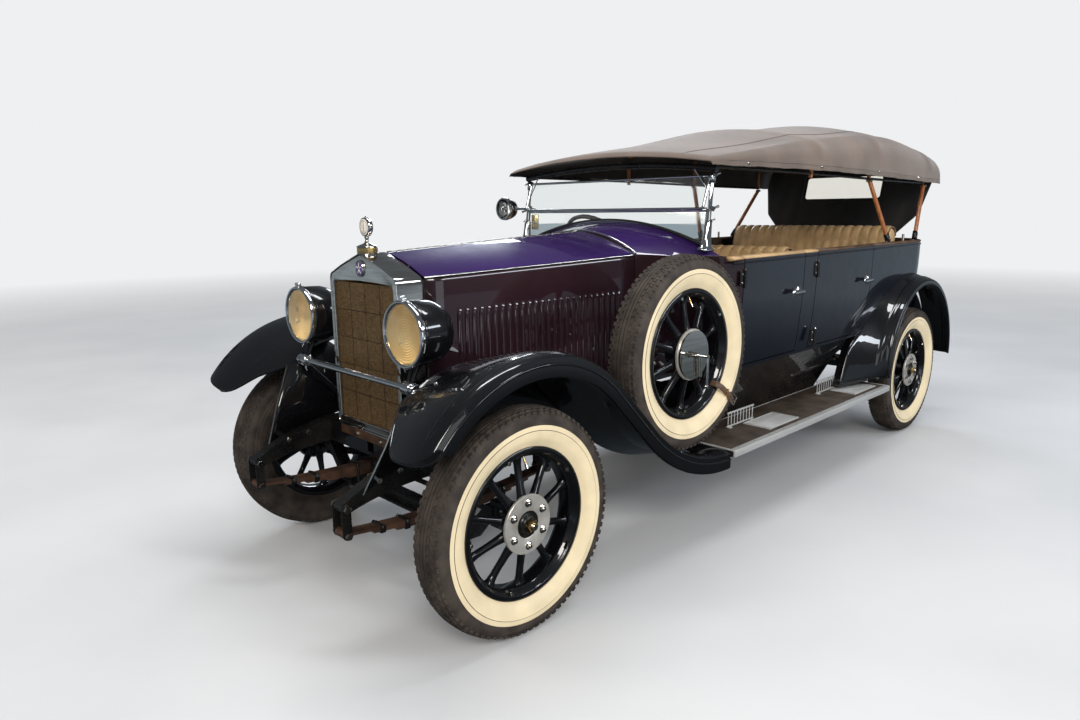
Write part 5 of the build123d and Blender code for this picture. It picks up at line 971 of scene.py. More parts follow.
def valance(side_name, side):
    """The sheet between a front wing's inner edge and the frame, with a wired front edge whose nickel finish is
    a painted highlight on the black edge.
    """
    path = front_wing_path()
    rows = []
    for (y, z, angle), distance in zip(path, distances(path)):
        top = at(side * 0.4225, y - 0.04 * sin(angle), z - 0.04 * cos(angle))
        if distance < 0.205 or z < 0.56:
            continue
        lean = max(0.0, 1.0 - (distance - 0.205) / 0.26)
        low_z = min(0.602 - 0.098 * lean ** 2, top.z - 0.004)
        foot = at(side * (0.366 - 0.007 * lean), y * 0.97 + 0.01 - 0.135 * lean, low_z)
        mid = top.lerp(foot, 0.5) + Vector((side * 0.01, 0, 0))
        rows.append([top, mid, foot, foot - Vector((side * 0.004, 0, 0)), mid - Vector((side * 0.004, 0, 0)),
            top - Vector((side * 0.004, 0, 0.001))])
    # The wired edge is nickel: a painted highlight standing in for the shine on its black paint
    pieces = [paint(loft("valance", rows), "wing"), tube("valance_edge", rows[0][:3], 0.004, "nickel", sides=8)]
    return join("valance_" + side_name, pieces)


REAR_CENTRE = (3.39, 0.465)
REAR_ROWS = [(-92.0, 0.563), (30.0, 0.563), (48.0, 0.584), (65.0, 0.658), (78.0, 0.77), (94.0, 0.85)]


def rear_crown(angle):
    """The inner rise of a rear wing at an angle forward of its top, in degrees."""
    for (a0, r0), (a1, r1) in zip(REAR_ROWS, REAR_ROWS[1:]):
        if a0 <= angle <= a1:
            share = (angle - a0) / (a1 - a0)
            if a1 > 40.0:
                share = share ** 1.15
            return r0 + (r1 - r0) * share
    return REAR_ROWS[-1][1]


def rear_wing(side_name, side):
    """One rear wing: a crowned arc that flares forward along the body."""
    cy, cz = REAR_CENTRE
    outer = 0.495
    rows = []
    steps = 92
    for step in range(steps + 1):
        lean = -92.0 + (93.0 + 92.0) * step / steps
        angle = radians(lean)
        rise = rear_crown(lean) - REAR_ROWS[0][1]
        line = [(0.806, 0.0), (0.8065, 0.01), (0.8055, 0.02), (0.801, 0.027), (0.79, 0.032),
            (0.768, 0.0385 + rise * 0.12), (0.746, 0.044 + rise * 0.25), (0.722, 0.0505 + rise * 0.42),
            (0.7, 0.058 + rise * 0.6), (0.68, 0.0635 + rise * 0.8), (0.66, 0.068 + rise), (0.64, 0.0705 + rise),
            (0.615, 0.073 + rise)]
        top = []
        fine = [(p.x, p.y) for p in smooth_path([(x, h, 0) for x, h in line], 4)]
        for x, height in fine:
            for rib_x in (0.7715, 0.7585):
                if abs(x - rib_x) < 0.005:
                    height += 0.0042 * cos(pi * (x - rib_x) / 0.005 / 2) ** 2
            top.append((x, height))
        under = [(x - (0.006 if h < 0.026 else 0.002), h - (0.0 if h < 0.012 else 0.006)) for x, h in top]
        row = []
        for x, height in top + under[::-1]:
            radius = outer + height
            point = (cy - radius * sin(angle), cz + radius * cos(angle))
            row.append(at(side * x, point[0], point[1]))
        rows.append(row)
    sheet = paint(loft("sheet", rows), "wing")
    low = 0.401
    cut_below(sheet, low)
    bead = []
    for step in range(steps + 1):
        angle = radians(-92.0 + 183.0 * step / steps)
        point = at(side * 0.8035, cy - outer * sin(angle), cz + outer * cos(angle))
        if point.z > low + 0.004:
            bead.append(point)
    pieces = [sheet, tube("bead", bead, sizes().wing_bead, "wing", sides=10)]
    return join("rear_wing_" + side_name, pieces)


def cut_below(piece, height):
    """Cuts a closed piece off at a height and closes the cut."""
    work = bmesh.new()
    work.from_mesh(piece.data)
    cut = bmesh.ops.bisect_plane(work, geom=work.verts[:] + work.edges[:] + work.faces[:],
        plane_co=(0, 0, height), plane_no=(0, 0, -1), clear_outer=True)
    edges = [e for e in cut["geom_cut"] if isinstance(e, bmesh.types.BMEdge)]
    bmesh.ops.holes_fill(work, edges=edges)
    bmesh.ops.recalc_face_normals(work, faces=work.faces)
    work.to_mesh(piece.data)
    work.free()
    return piece


class CAR_OT_finishes(bpy.types.Operator):
    """Finishes for every CAD piece."""

    bl_idname = "car.finishes"
    bl_label = "Finishes"

    def execute(self, context):
        make_finishes()
        for finish, nodes in CAD_FINISH.items():
            for node in nodes.split():
                paint(frame["nodes"][node], finish)
        return {"FINISHED"}


class CAR_OT_wings(bpy.types.Operator):
    """Crowned wings with ribs and wired edges."""

    bl_idname = "car.wings"
    bl_label = "Wings"

    def execute(self, context):
        for side_name, side in SIDES:
            wing = join("front_wing_" + side_name, [front_wing(side_name, side), valance(side_name, side)])
            stand_in(wing, "front_wings")
            rear = rear_wing(side_name, side)
            stand_in(rear, "rear_wings")
        return {"FINISHED"}


# Radiator, badge, cap and core

def shell_ring(margin, low, top, shoulder, station):
    """One loop of the shell's outline: level foot, upright sides and a gable."""
    half = 0.233 - margin
    right = [(half, low), (half, shoulder - 0.03), (half - 0.0012, shoulder - 0.018),
        (half - 0.005, shoulder - 0.0075), (half - 0.0115, shoulder - 0.001),
        (half * 0.62, shoulder + (top - shoulder) * 0.4), (half * 0.3, shoulder + (top - shoulder) * 0.735),
        (0.012, top - 0.0015)]
    loop = [(0.0, low)] + right + [(0.0, top)] + [(-x, z) for x, z in right[::-1]]
    return [at(x, station, z) for x, z in loop]


def radiator_shell():
    """The nickel shell: a wide gabled header, rounded shoulders and thin side rims."""
    rings = [
        # margin, foot, gable, shoulder, station
        (0.025, 0.632, 1.183, 1.1765, -0.06), (0.025, 0.632, 1.183, 1.1765, -0.1335),
        (0.0235, 0.6305, 1.185, 1.1785, -0.1395), (0.0205, 0.6275, 1.1885, 1.1815, -0.1425),
        (0.012, 0.62, 1.268, 1.196, -0.1405), (0.004, 0.608, 1.281, 1.2035, -0.14),
        (0.0022, 0.6045, 1.285, 1.207, -0.144), (0.0008, 0.603, 1.288, 1.209, -0.1425),
        (0.0, 0.602, 1.2885, 1.21, -0.137), (0.0, 0.602, 1.2885, 1.21, -0.035),
        (0.001, 0.603, 1.287, 1.209, -0.029), (0.005, 0.607, 1.28, 1.205, -0.0285),
        (0.025, 0.632, 1.183, 1.1765, -0.0285),
    ]
    shell = loft("radiator_shell_dressed", [shell_ring(*ring) for ring in rings], closed_path=True)
    pieces = [paint(shade_by_angle(shell, radians(30)), "nickel")]
    turned = [
        # along, radius
        (1.272, 0.0), (1.272, 0.031), (1.279, 0.0325), (1.2835, 0.036), (1.286, 0.0395), (1.2875, 0.0395),
        (1.2885, 0.037), (1.31, 0.037), (1.311, 0.0395), (1.3135, 0.0395), (1.315, 0.036),
        (1.32, 0.024), (1.324, 0.013), (1.329, 0.0085), (1.334, 0.0065), (1.34, 0.0062),
        (1.343, 0.0085), (1.346, 0.009), (1.349, 0.007), (1.352, 0.0)]
    pieces.append(paint(lathe("cap", turned, at(0, -0.108, 0), (0, 0, 1), 72), "nickel"))
    band = hexagon_ring("band", at(0, -0.108, 1.289), 0.0384, 0.0205)
    pieces.append(paint(band, "brass"))
    rim = [(-0.0105, 0.0), (-0.0105, 0.031), (-0.0085, 0.0345), (0.0, 0.0358), (0.0085, 0.0345),
        (0.0105, 0.031), (0.0105, 0.0)]
    pieces.append(paint(lathe("dial_case", rim, at(0, -0.108, 1.384), (0, 1, 0), 64), "nickel"))
    face = [(-0.0112, 0.0), (-0.0112, 0.0295), (-0.01, 0.0296), (-0.01, 0.0)]
    pieces.append(paint(lathe("dial_face", face, at(0, -0.108, 1.384), (0, 1, 0), 48), "dial"))
    mark = block("mark", (-0.0007, -0.0003, 0.0215), (0.0007, 0.0003, 0.027))
    marks = repeat("marks", mark, 24, "ink", at(0, -0.1194, 1.384), axis=(0, 1, 0), turn=tau / 24)
    pieces.append(marks)
    pieces.append(paint(block("needle", at(-0.0013, -0.1197, 1.366), at(0.0013, -0.119, 1.405)), "red_paint"))
    pieces.append(paint(rod("finial", at(0, -0.108, 1.419), at(0, -0.108, 1.424), 0.0045, 16,
        end_radius=0.0015), "nickel"))
    for name, finish, rings in (("badge_rim", "chrome", ((0.0, -0.1455), (0.86, -0.1455), (0.9, -0.15),
            (1.0, -0.15), (1.03, -0.1455), (1.03, -0.14))), ("badge_enamel", "enamel",
            ((0.0, -0.1485), (0.5, -0.1482), (0.87, -0.1468), (0.88, -0.144)))):
        ovals = [[at(0.0245 * scale * cos(a), station, 1.233 + 0.031 * scale * sin(a))
            for a in [tau * k / 48 for k in range(48)]] for scale, station in rings]
        pieces.append(paint(loft(name, ovals), finish))
    for k in range(5):
        angle = tau * k / 5 + pi / 2
        start = at(0.004 * cos(angle), -0.1489, 1.233 + 0.005 * sin(angle))
        end = at(0.0165 * cos(angle), -0.148, 1.233 + 0.0215 * sin(angle))
        pieces.append(paint(rod("petal", start, end, 0.0013, 8), "dial"))
    return join("radiator_shell_dressed", pieces)


def hexagon_ring(name, foot, radius, height, sides=24):
    """A knurled band: a short upright ring with flats."""
    profile = [(0.0, radius - 0.004), (0.0, radius - 0.0008), (0.0012, radius), (height - 0.0012, radius),
        (height, radius - 0.0008), (height, radius - 0.004)]
    return lathe(name, profile, foot, (0, 0, 1), sides, smooth=False)


def radiator_core():
    """The core: folded strips side by side, their fronts speckled with painted glints and their sides darker as
    painted shade, split into panels by dark grooves and backed by a black sheet, both painted shade.
    """
    low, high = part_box("radiator_core")
    front, depth = -0.1315, 0.015
    pitch = sizes().cell
    width = 0.416
    columns = round(width / pitch)
    pitch = width / columns
    rows = round((high[2] - low[2]) / pitch)
    step = (high[2] - low[2] - 0.001) / rows
    points, fronts, sides = [], [], []
    wall = 0.00105
    for k in range(2 * columns + 1):
        x = -width / 2 + k * pitch / 2
        z = step / 2 if k % 2 else 0.0
        points += [(x, 0.0, z - wall), (x, 0.0, z + wall), (x, depth, z + wall), (x, depth, z - wall)]
    for k in range(2 * columns):
        a, b = 4 * k, 4 * (k + 1)
        fronts.append((a, a + 1, b + 1, b))
        sides += [(a + 1, a + 2, b + 2, b + 1), (a + 3, a, b, b + 3)]
    start = at(0, front, low[2] + 0.0005)
    pieces = []
    for faces, finish in ((fronts, "core"), (sides, "core_wall")):
        for turn, lift in ((1, 0.0), (-1, step)):
            strip = add_mesh("strip", [(x, y, turn * z) for x, y, z in points], faces, smooth=False)
            pieces.append(repeat("strips", strip, rows, finish, start + Vector((0, 0, lift)), (0, 0, step)))
    # A black sheet behind the strips: painted shade in the core's depth
    back = block("core_back", at(-0.208, front + depth - 0.001, low[2]), at(0.208, -0.062, high[2]))
    pieces.append(paint(back, "core_back"))
    # Grooves in the same black painted shade
    for k in range(1, 4):
        x = -width / 2 + width * k / 4
        pieces.append(paint(block("groove", at(x - 0.0011, front - 0.0004, low[2]),
            at(x + 0.0011, front + depth, high[2])), "core_back"))
    for k in range(1, 5):
        z = low[2] + (high[2] - low[2]) * k / 5
        pieces.append(paint(block("groove", at(-width / 2, front - 0.0004, z - 0.0011),
            at(width / 2, front + depth, z + 0.0011)), "core_back"))
    return join("honeycomb_core", pieces)


class CAR_OT_radiator(bpy.types.Operator):
    """Nickel shell, bronze core, badge, cap and thermometer."""

    bl_idname = "car.radiator"
    bl_label = "Radiator"

    def execute(self, context):
        stand_in(radiator_shell(), "radiator_shell")
        stand_in(radiator_core(), "radiator_core")
        apron = [paint(block("core_apron", at(-0.206, -0.1505, 0.562), at(0.206, -0.146, 0.6015), 0.0012),
            "apron"), paint(block("apron_rim", at(-0.212, -0.152, 0.5985), at(0.212, -0.145, 0.6035), 0.0012),
            "nickel")]
        for x in (-0.085, 0.085):
            bolt = hexagon("bolt", (0, 0, 0), 1, 0.0075, 0.006)
            bolt.data.transform(Matrix.Translation(at(x, -0.15, 0.578)) @ Matrix.Rotation(-pi / 2, 4, "Z"))
            apron.append(paint(bolt, "nickel"))
        piece = join("core_apron", apron)
        beside(piece, "splash_aprons")
        return {"FINISHED"}


# Headlamps

LAMP = (0.369, 1.032)
BAR = (-0.202, 0.845)


def headlamp(side):
    """A deep black drum with a bright rim, a clasp on top and a fork foot."""
    centre = at(side * LAMP[0], 0, LAMP[1])
    turned = [
        # along, radius
        (-0.205, 0.101), (-0.22, 0.106), (-0.2215, 0.111), (-0.22, 0.115), (-0.215, 0.117),
        (-0.205, 0.1175), (-0.201, 0.116), (-0.2, 0.1125)]
    rim = paint(lathe("rim", turned + [(-0.2, 0.101)], centre, (0, 1, 0), 96), "chrome")
    drum = [(-0.2, 0.0), (-0.2, 0.112), (-0.196, 0.1135), (-0.15, 0.113), (-0.118, 0.1115), (-0.09, 0.103),
        (-0.066, 0.087), (-0.048, 0.066), (-0.036, 0.043), (-0.029, 0.02), (-0.0255, 0.01), (-0.025, 0.0)]
    pieces = [rim, paint(lathe("drum", drum, centre, (0, 1, 0), 96), "wing")]
    pieces.append(paint(lathe("drum_bead", [(-0.1905, 0.113), (-0.189, 0.1155), (-0.187, 0.113)], centre,
        (0, 1, 0), 96), "wing"))
    radii = [0.002 * k for k in range(51)]
    glow = [(-0.2009 - 0.69 * r * r + 0.0004 * cos(r * 700.0), r) for r in radii]
    glow += [(-0.202, 0.101), (-0.199, 0.0)]
    pieces.append(paint(lathe("reflector", glow, centre, (0, 1, 0), 64), "reflector"))
    top = centre + Vector((0, 0, 0.1165))
    y = FRONT_AXLE - 0.211
    for low, high in (((-0.013, -0.008, -0.002), (0.013, 0.01, 0.006)),
            ((-0.006, -0.012, 0.004), (0.006, 0.008, 0.015))):
        pieces.append(paint(block("clasp", (top.x + low[0], y + low[1], top.z + low[2]),
            (top.x + high[0], y + high[1], top.z + high[2]), 0.0015), "chrome"))
    pieces += painted("chrome", rod("clasp_pin", (top.x - 0.017, y, top.z + 0.01),
        (top.x + 0.017, y, top.z + 0.01), 0.0035, 12), rod("clasp_foot", (top.x, y, top.z - 0.235),
        (top.x, y, top.z - 0.246), 0.006, 12, end_radius=0.003))
    foot = centre + Vector((0, 0, -0.104))
    base = at(side * LAMP[0], *BAR)
    for reach in (-1, 1):
        upper = foot + Vector((reach * 0.012, -0.165, 0.0))
        lower = base + Vector((reach * 0.012, 0, 0.006))
        pieces.append(paint(rod("fork", lower, upper, 0.006, 14, end_radius=0.008), "wing"))
    pieces.append(paint(rod("cradle", foot + Vector((0, -0.18, 0.002)), foot + Vector((0, -0.15, 0.002)), 0.022,
        24, bevel=0.003), "wing"))
    clamp = [(-0.024, 0.0131), (-0.024, 0.0215), (-0.02, 0.0235), (0.02, 0.0235), (0.024, 0.0215),
        (0.024, 0.0131)]
    pieces += painted("chrome", lathe("clamp", clamp, base, (1, 0, 0), 40),
        rod("clamp_bolt", base + Vector((0, 0, -0.036)), base + Vector((0, 0, -0.018)), 0.006, 12))
    x = side * 0.332
    pieces += painted("wing", rod("stay", base + Vector((0, 0.004, -0.012)), at(x, -0.015, 0.612), 0.0105, 18,
        end_radius=0.0125), block("stay_foot", at(x - 0.024, -0.04, 0.6005), at(x + 0.024, 0.012, 0.612),
        0.003))
    x = side * 0.346
    for dy in (-0.03, 0.001):
        pieces.append(paint(rod("foot_bolt", at(x, dy, 0.611), at(x, dy, 0.618), 0.0065, 6), "nickel"))
    return pieces


def lens(side):
    """A lens: fine upright flutes and a bull's eye of small rings low in its middle."""
    centre = at(side * LAMP[0], 0, LAMP[1])
    rings, sides = 44, 128
    front, back = [], []
    for ring in range(1, rings + 1):
        radius = 0.1045 * max(ring - 1, 0.02) / (rings - 1)
        for k in range(sides):
            angle = tau * k / sides
            x, z = radius * cos(angle), radius * sin(angle)
            eye = hypot(x, z + 0.028)
            relief = 0.001 * cos(eye * 900.0) * max(0.0, 1 - eye / 0.03)
            flute = 0.00035 * cos(x * 1150.0) * min(1.0, max(0.0, eye / 0.03 - 0.8))
            dome = 0.0095 * (1 - (radius / 0.1045) ** 2)
            front.append((centre.x + x, FRONT_AXLE - 0.2155 - dome + relief + flute, centre.z + z))
            back.append((centre.x + x, FRONT_AXLE - 0.2105 - dome * 0.6, centre.z + z))
    points = front + back
    base = len(front)
    faces = grid_faces(rings, sides, False, True) + grid_faces(rings, sides, False, True, base)
    for k in range(sides):
        following = (k + 1) % sides
        faces.append(((rings - 1) * sides + k, (rings - 1) * sides + following,
            base + (rings - 1) * sides + following, base + (rings - 1) * sides + k))
    faces.append(tuple(range(sides)))
    faces.append(tuple(range(base, base + sides)))
    return add_mesh("lens", points, faces)


class CAR_OT_lamps(bpy.types.Operator):
    """Headlamps with pale lenses on their bright cross bar."""

    bl_idname = "car.lamps"
    bl_label = "Headlamps"

    def execute(self, context):
        pieces = []
        for side in (1, -1):
            pieces += headlamp(side)
            ball = [(side * a, r) for a, r in ((-0.012, 0.0131), (-0.01, 0.019), (0.0, 0.0215), (0.004, 0.0215),
                (0.006, 0.01), (0.007, 0.0), (-0.012, 0.0))]
            pieces.append(paint(lathe("bar_end", ball, at(side * 0.405, *BAR), (1, 0, 0), 40), "chrome"))
        pieces.append(paint(rod("cross_bar", at(-0.408, *BAR), at(0.408, *BAR), 0.013, 32), "chrome"))
        stand_in(join("headlamp_drums", pieces), "headlamps")
        stand_in(join("amber_lenses", [paint(lens(side), "lens") for side in (1, -1)]), "headlamp_lenses")
        return {"FINISHED"}


# Bonnet

BONNET = ((-0.023, 0.233, 1.206, 1.286), (1.045, 0.345, 1.24, 1.338))


def bonnet_at(share):
    """Station, half width, crease height and ridge height at a share of the bonnet's length."""
    return [first + (last - first) * share for first, last in zip(*BONNET)]


def bonnet_side(side_name, side):
    """A side panel with a turned edge and its row of pressed louvres."""
    rows = []
    for k in range(13):
        y, half, crease = bonnet_at(k / 12)[:3]
        skin = [(half, 0.668), (half + 0.0005, 0.68), (half + 0.0005, crease - 0.024),
            (half - 0.001, crease - 0.012), (half - 0.004, crease - 0.0075)]
        inner = [(x - 0.006, z) for x, z in skin[::-1]]
        rows.append([at(side * x, y, z) for x, z in skin + inner])
    pieces = [paint(loft("panel", rows), "bonnet_side")]
    sections = []
    for k in range(25):
        share = k / 24
        z = 0.712 + 0.374 * share
        end = min(share, 1 - share) * 0.374
        grow = min(1.0, end / 0.014) ** 0.5
        stand = 0.001 + 0.0088 * grow
        loop = [(0.0, -0.003), (0.0005, 0.0), (stand * 0.55, 0.003), (stand * 0.88, 0.0085), (stand, 0.015),
            (stand * 0.985, 0.0195), (stand * 0.9, 0.021), (stand * 0.72, 0.02), (0.0008, 0.015),
            (-0.002, 0.01)]
        sections.append([Vector((side * x, y, z)) for x, y in loop])
    louvre = loft("louvre", sections)
    first = bonnet_at((0.11 + 0.023) / 1.068)
    slope = (0.345 - 0.233) / 1.068
    start = at(side * (first[1] - 0.0006), first[0], 0)
    pieces.append(repeat("louvres", louvre, 26, "bonnet_side", start, (side * slope * 0.033, 0.033, 0)))
    # Black slots behind the louvres: painted shade in their openings
    gap = [(-0.0004, 0.0215), (0.0006, 0.0215), (0.0006, 0.0265), (-0.0004, 0.0265)]
    slot = loft("slot", [[Vector((side * x, y, z)) for x, y in gap] for z in (0.719, 1.079)])
    pieces.append(repeat("slots", slot, 26, "core_back", start + Vector((side * 0.0012, 0, 0)),
        (side * slope * 0.033, 0.033, 0)))
    ends = []
    for share, inset in ((0.0, 0.002), (1.0, -0.002)):
        y, half, crease = bonnet_at(share)[:3]
        ends.append(at(side * (half - 0.001), y + inset, crease - 0.0035))
    pieces.append(paint(rod("crease_hinge", *ends, 0.0038, 12), "nickel"))
    return join("bonnet_side_dressed_" + side_name, pieces)


def bonnet_top(side_name, side):
    """A top panel, gently arched, with a rolled edge along the crease and a bright rear bead."""
    rows = []
    for k in range(25):
        y, half, crease, ridge = bonnet_at(k / 24)
        skin = []
        for j in range(15):
            share = j / 14
            x = 0.0045 + (half - 0.0085) * share
            drop = ridge - crease - 0.003
            skin.append((x, ridge - drop * (0.62 * share + 0.38 * share ** 2.4)))
        lip = [(half - 0.0015, crease + 0.0005), (half - 0.001, crease - 0.001)]
        under = [(x, z - 0.006) for x, z in skin[::-1]]
        rows.append([at(side * x, y, z) for x, z in skin + lip[:1] + [(half - 0.006, crease - 0.003)] + under])
    # The top panel is painted in the violet sheen: a painted highlight of the aubergine paint
    top = paint(shade_by_angle(loft("panel", rows)), "bonnet")
    y, half, crease, ridge = bonnet_at(1.0)
    bead = [at(side * x, y - 0.003, ridge - (ridge - crease - 0.003) * (0.62 * s + 0.38 * s ** 2.4) + 0.0015)
        for s in [j / 16 for j in range(17)] for x in [0.006 + (half - 0.0105) * s]]
    pieces = [top, tube("rear_bead", bead, 0.003, "nickel", sides=8)]
    return join("bonnet_top_dressed_" + side_name, pieces)


class CAR_OT_bonnet(bpy.types.Operator):
    """Bonnet panels, louvres, hinges and catches."""

    bl_idname = "car.bonnet"
    bl_label = "Bonnet"

    def execute(self, context):
        for side_name, side in SIDES:
            stand_in(bonnet_side(side_name, side), "bonnet_side_" + side_name)
            stand_in(bonnet_top(side_name, side), "bonnet_top_" + side_name)
        start, end = [at(0, bonnet_at(share)[0] + inset, bonnet_at(share)[3] - 0.0005)
            for share, inset in ((0.0, 0.001), (1.0, -0.001))]
        pieces = [paint(rod("hinge_rod", start, end, 0.0042, 16), "nickel")]
        run = (end - start) / 24
        knuckle = rod("knuckle", (0, 0, 0), run * 0.47, 0.0058, 16, bevel=0.0008)
        pieces.append(repeat("knuckles", knuckle, 24, "nickel", start, run))
        beside(join("bonnet_centre_hinge", pieces), "radiator_shell")
        for side_name, side in SIDES:
            catches = []
            for y in (0.055, 0.985):
                half = bonnet_at((y + 0.023) / 1.068)[1]
                x = side * (half + 0.006)
                catches += painted("nickel", block("catch", at(side * half + min(0, side * 0.012), y - 0.01,
                    0.69), at(side * half + max(0, side * 0.012), y + 0.01, 0.735), 0.003),
                    rod("catch_spring", at(x, y, 0.662), at(x, y, 0.692), 0.0055, 14),
                    rod("catch_knob", at(side * (half + 0.01), y, 0.715), at(side * (half + 0.022), y, 0.715),
                    0.0075, 18, bevel=0.0015))
            beside(join("bonnet_catches_" + side_name, catches), "radiator_shell")
        return {"FINISHED"}


# Hood cloth, back curtain, bows and sticks

HOOD = [
    # station, half width, edge, shoulder and crown heights
    (1.19, 0.64, 1.62, 1.65, 1.702), (2.2, 0.655, 1.622, 1.758, 1.872),
    (3.15, 0.655, 1.604, 1.812, 1.94), (4.0, 0.64, 1.582, 1.706, 1.896)]
BOWS = (1.289, 2.16, 2.88, 3.74)


def hood_sizes(station):
    """The hood's five sizes at a station, on a smooth curve through its sections."""
    path = smooth_path([Vector(row[:3]) for row in HOOD], 40)
    more = smooth_path([Vector((row[0], row[3], row[4])) for row in HOOD], 40)
    station = max(station, path[0].x)
    for k in range(len(path) - 1):
        if path[k].x <= station <= path[k + 1].x:
            share = (station - path[k].x) / max(1e-9, path[k + 1].x - path[k].x)
            a, b = path[k].lerp(path[k + 1], share), more[k].lerp(more[k + 1], share)
            return a.y, a.z, b.y, b.z
    return HOOD[-1][1:]


def hood_row(station, inset=0.0):
    """Points from one lower edge over the top to the other: side, rounded shoulder and arc."""
    half, edge, shoulder, crown = hood_sizes(min(station, 4.0))
    near = min(abs(station - bow) for bow in BOWS)
    spans = [(a, b) for a, b in zip(BOWS, BOWS[1:]) if a <= station <= b]
    sag = 0.0
    if spans:
        a, b = spans[0]
        sag = 0.013 * sin(pi * (station - a) / (b - a)) ** 1.5
    peak = 0.007 * exp(-(near / 0.055) ** 2) if station > 1.5 else 0.0
    end = max(0.0, (station - 3.9) / 0.1)
    drop = 0.034 * end ** 2
    draw_in = 0.03 * end ** 2
    front = max(0.0, (1.235 - station) / 0.045)
    drop += 0.02 * front ** 2
    half, crown = half - inset - draw_in, crown - inset - drop
    shoulder = min(shoulder - inset - drop * 0.8, crown - 0.012)
    edge += 0.0012 * sin(station * 17.0) + 0.0008 * sin(station * 41.0) + 0.01 * end
    top_half = half - 0.004
    rise = crown - shoulder
    radius = (top_half ** 2 + rise ** 2) / (2 * rise)

    def arc(x):
        return crown - radius + sqrt(max(0.0, radius ** 2 - x ** 2))

    round_off = min(0.105, 0.62 * (shoulder - edge))
    line = []
    for k in range(7):
        share = k / 6
        z = edge + (shoulder - round_off - edge) * share
        wave = 0.0015 * sin(station * 23.0 + 1.0) * (1 - share)
        line.append((half + wave + 0.004 * (1 - share), z))
    start = Vector((half, shoulder - round_off, 0))
    corner = Vector((half - 0.002, shoulder, 0))
    stop_x = top_half - round_off * 1.15
    stop = Vector((stop_x, arc(stop_x), 0))
    for k in range(1, 9):
        t = k / 9
        point = start * (1 - t) ** 2 + corner * 2 * t * (1 - t) + stop * t ** 2
        line.append((point.x + peak * sin(pi * t), point.y + peak * sin(pi * t)))
    for k in range(15):
        x = stop_x * (1 - k / 14)
        slack = sag * (1 - 0.35 * (x / top_half) ** 2)
        line.append((x, arc(x) - slack * min(1.0, (top_half - x) / 0.1) + peak * 0.4))
    return line + [(-x, z) for x, z in line[-2::-1]]


def hood_cloth():
    """The top as one sheet with turned edges, taupe outside and black inside."""
    stations = [1.19, 1.196, 1.205, 1.215, 1.228, 1.245]
    stations += [1.27 + (3.9 - 1.27) * k / 108 for k in range(109)]
    stations += [3.92, 3.94, 3.955, 3.97, 3.98, 3.99, 3.996, 4.0]
    sections = []
    for station in stations:
        outer = hood_row(station)
        inner = hood_row(station, 0.0026)
        loop = [at(x, station, z) for x, z in outer] + [at(x, station, z + 0.0002) for x, z in inner[::-1]]
        sections.append(loop)
    cloth = paint(loft("hood_cloth_dressed", sections), "hood", "lining")
    unwrap(cloth, 1)
    for face in cloth.data.polygons:
        inward = face.normal.z < -0.15 or (abs(face.center.x) > 0.6 and face.normal.x * face.center.x < 0)
        face.material_index = 1 if inward else 0
    return cloth, sections


def unwrap(piece, axis):
    """A UV map in metres: along the car and round the section, by each point's own place."""
    layer = piece.data.uv_layers.new(name="cloth") if not piece.data.uv_layers else piece.data.uv_layers[0]
    for loop in piece.data.loops:
        point = piece.data.vertices[loop.vertex_index].co
        layer.data[loop.index].uv = (point[axis], point.x + (point.z if abs(point.x) > 0.58 else 0.0))


def measure(points):
    """The length of a line of points."""
    return sum((b - a).length for a, b in zip(points, points[1:]))


def hood_trim():
    """Seams along both shoulders, hems round the edge and press studs."""
    pieces = []
    stations = [1.215 + (3.96 - 1.215) * k / 90 for k in range(91)]
    for side in (1, -1):
        seam = []
        for station in stations:
            row = hood_row(station)
            target = 0.47
            for (x0, z0), (x1, z1) in zip(row, row[1:]):
                if x0 >= target >= x1:
                    share = (x0 - target) / max(1e-9, x0 - x1)
                    seam.append(at(side * target, station, z0 + (z1 - z0) * share + 0.0004))
                    break
        pieces.append(tube("seam", seam, 0.0017, "lining", sides=6))
        hem = [at(side * (hood_row(s)[0][0] - 0.0006), s, hood_row(s)[0][1] + 0.001) for s in stations]
        pieces.append(tube("hem", hem, 0.003, "hood", sides=8))
        welt = [at(side * (hood_row(s)[1][0] + 0.0006), s, hood_row(s)[0][1] + 0.022) for s in stations[3:]]
        pieces.append(tube("hem_stitch", welt, 0.0008, "lining", sides=4))
        for s in (1.47, 2.16, 2.88, 3.5):
            row = hood_row(s)
            x, z = row[1]
            stud = rod("stud", at(side * (x - 0.002), s, z + 0.006), at(side * (x + 0.006), s, z + 0.006),
                0.0075, 16, end_radius=0.004)
            pieces.append(paint(stud, "nickel"))
    for s in (1.1915, 3.999):
        row = hood_row(s)
        edge = [at(x, s, z - 0.001) for x, z in row]
        pieces.append(tube("end_hem", edge, 0.0024, "hood", sides=8))
    return join("hood_seams", pieces)


def curtain_rows():
    """The back curtain's outline by height: half width and station."""
    foot_y, foot_z = 3.7775, 1.218
    head_y, head_z = 3.956, 1.83
    rows = []
    for k in range(41):
        share = k / 40
        z = foot_z + (head_z - foot_z) * share
        if z < 1.388:
            half = 0.4 + 0.16 * (z - foot_z) / 0.17
        elif z < 1.592:
            half = 0.56 + 0.046 * (z - 1.388) / 0.204
        elif z < 1.674:
            half = 0.606 - 0.008 * (z - 1.592) / 0.082
        else:
            half = 0.598 * sqrt(max(0.0, 1 - ((z - 1.674) / (head_z + 0.012 - 1.674)) ** 2))
        rows.append((half, foot_y + (head_y - foot_y) * share, z))
    return rows


WINDOW = (1.486, 1.662, 0.29)  # low, high, half wide


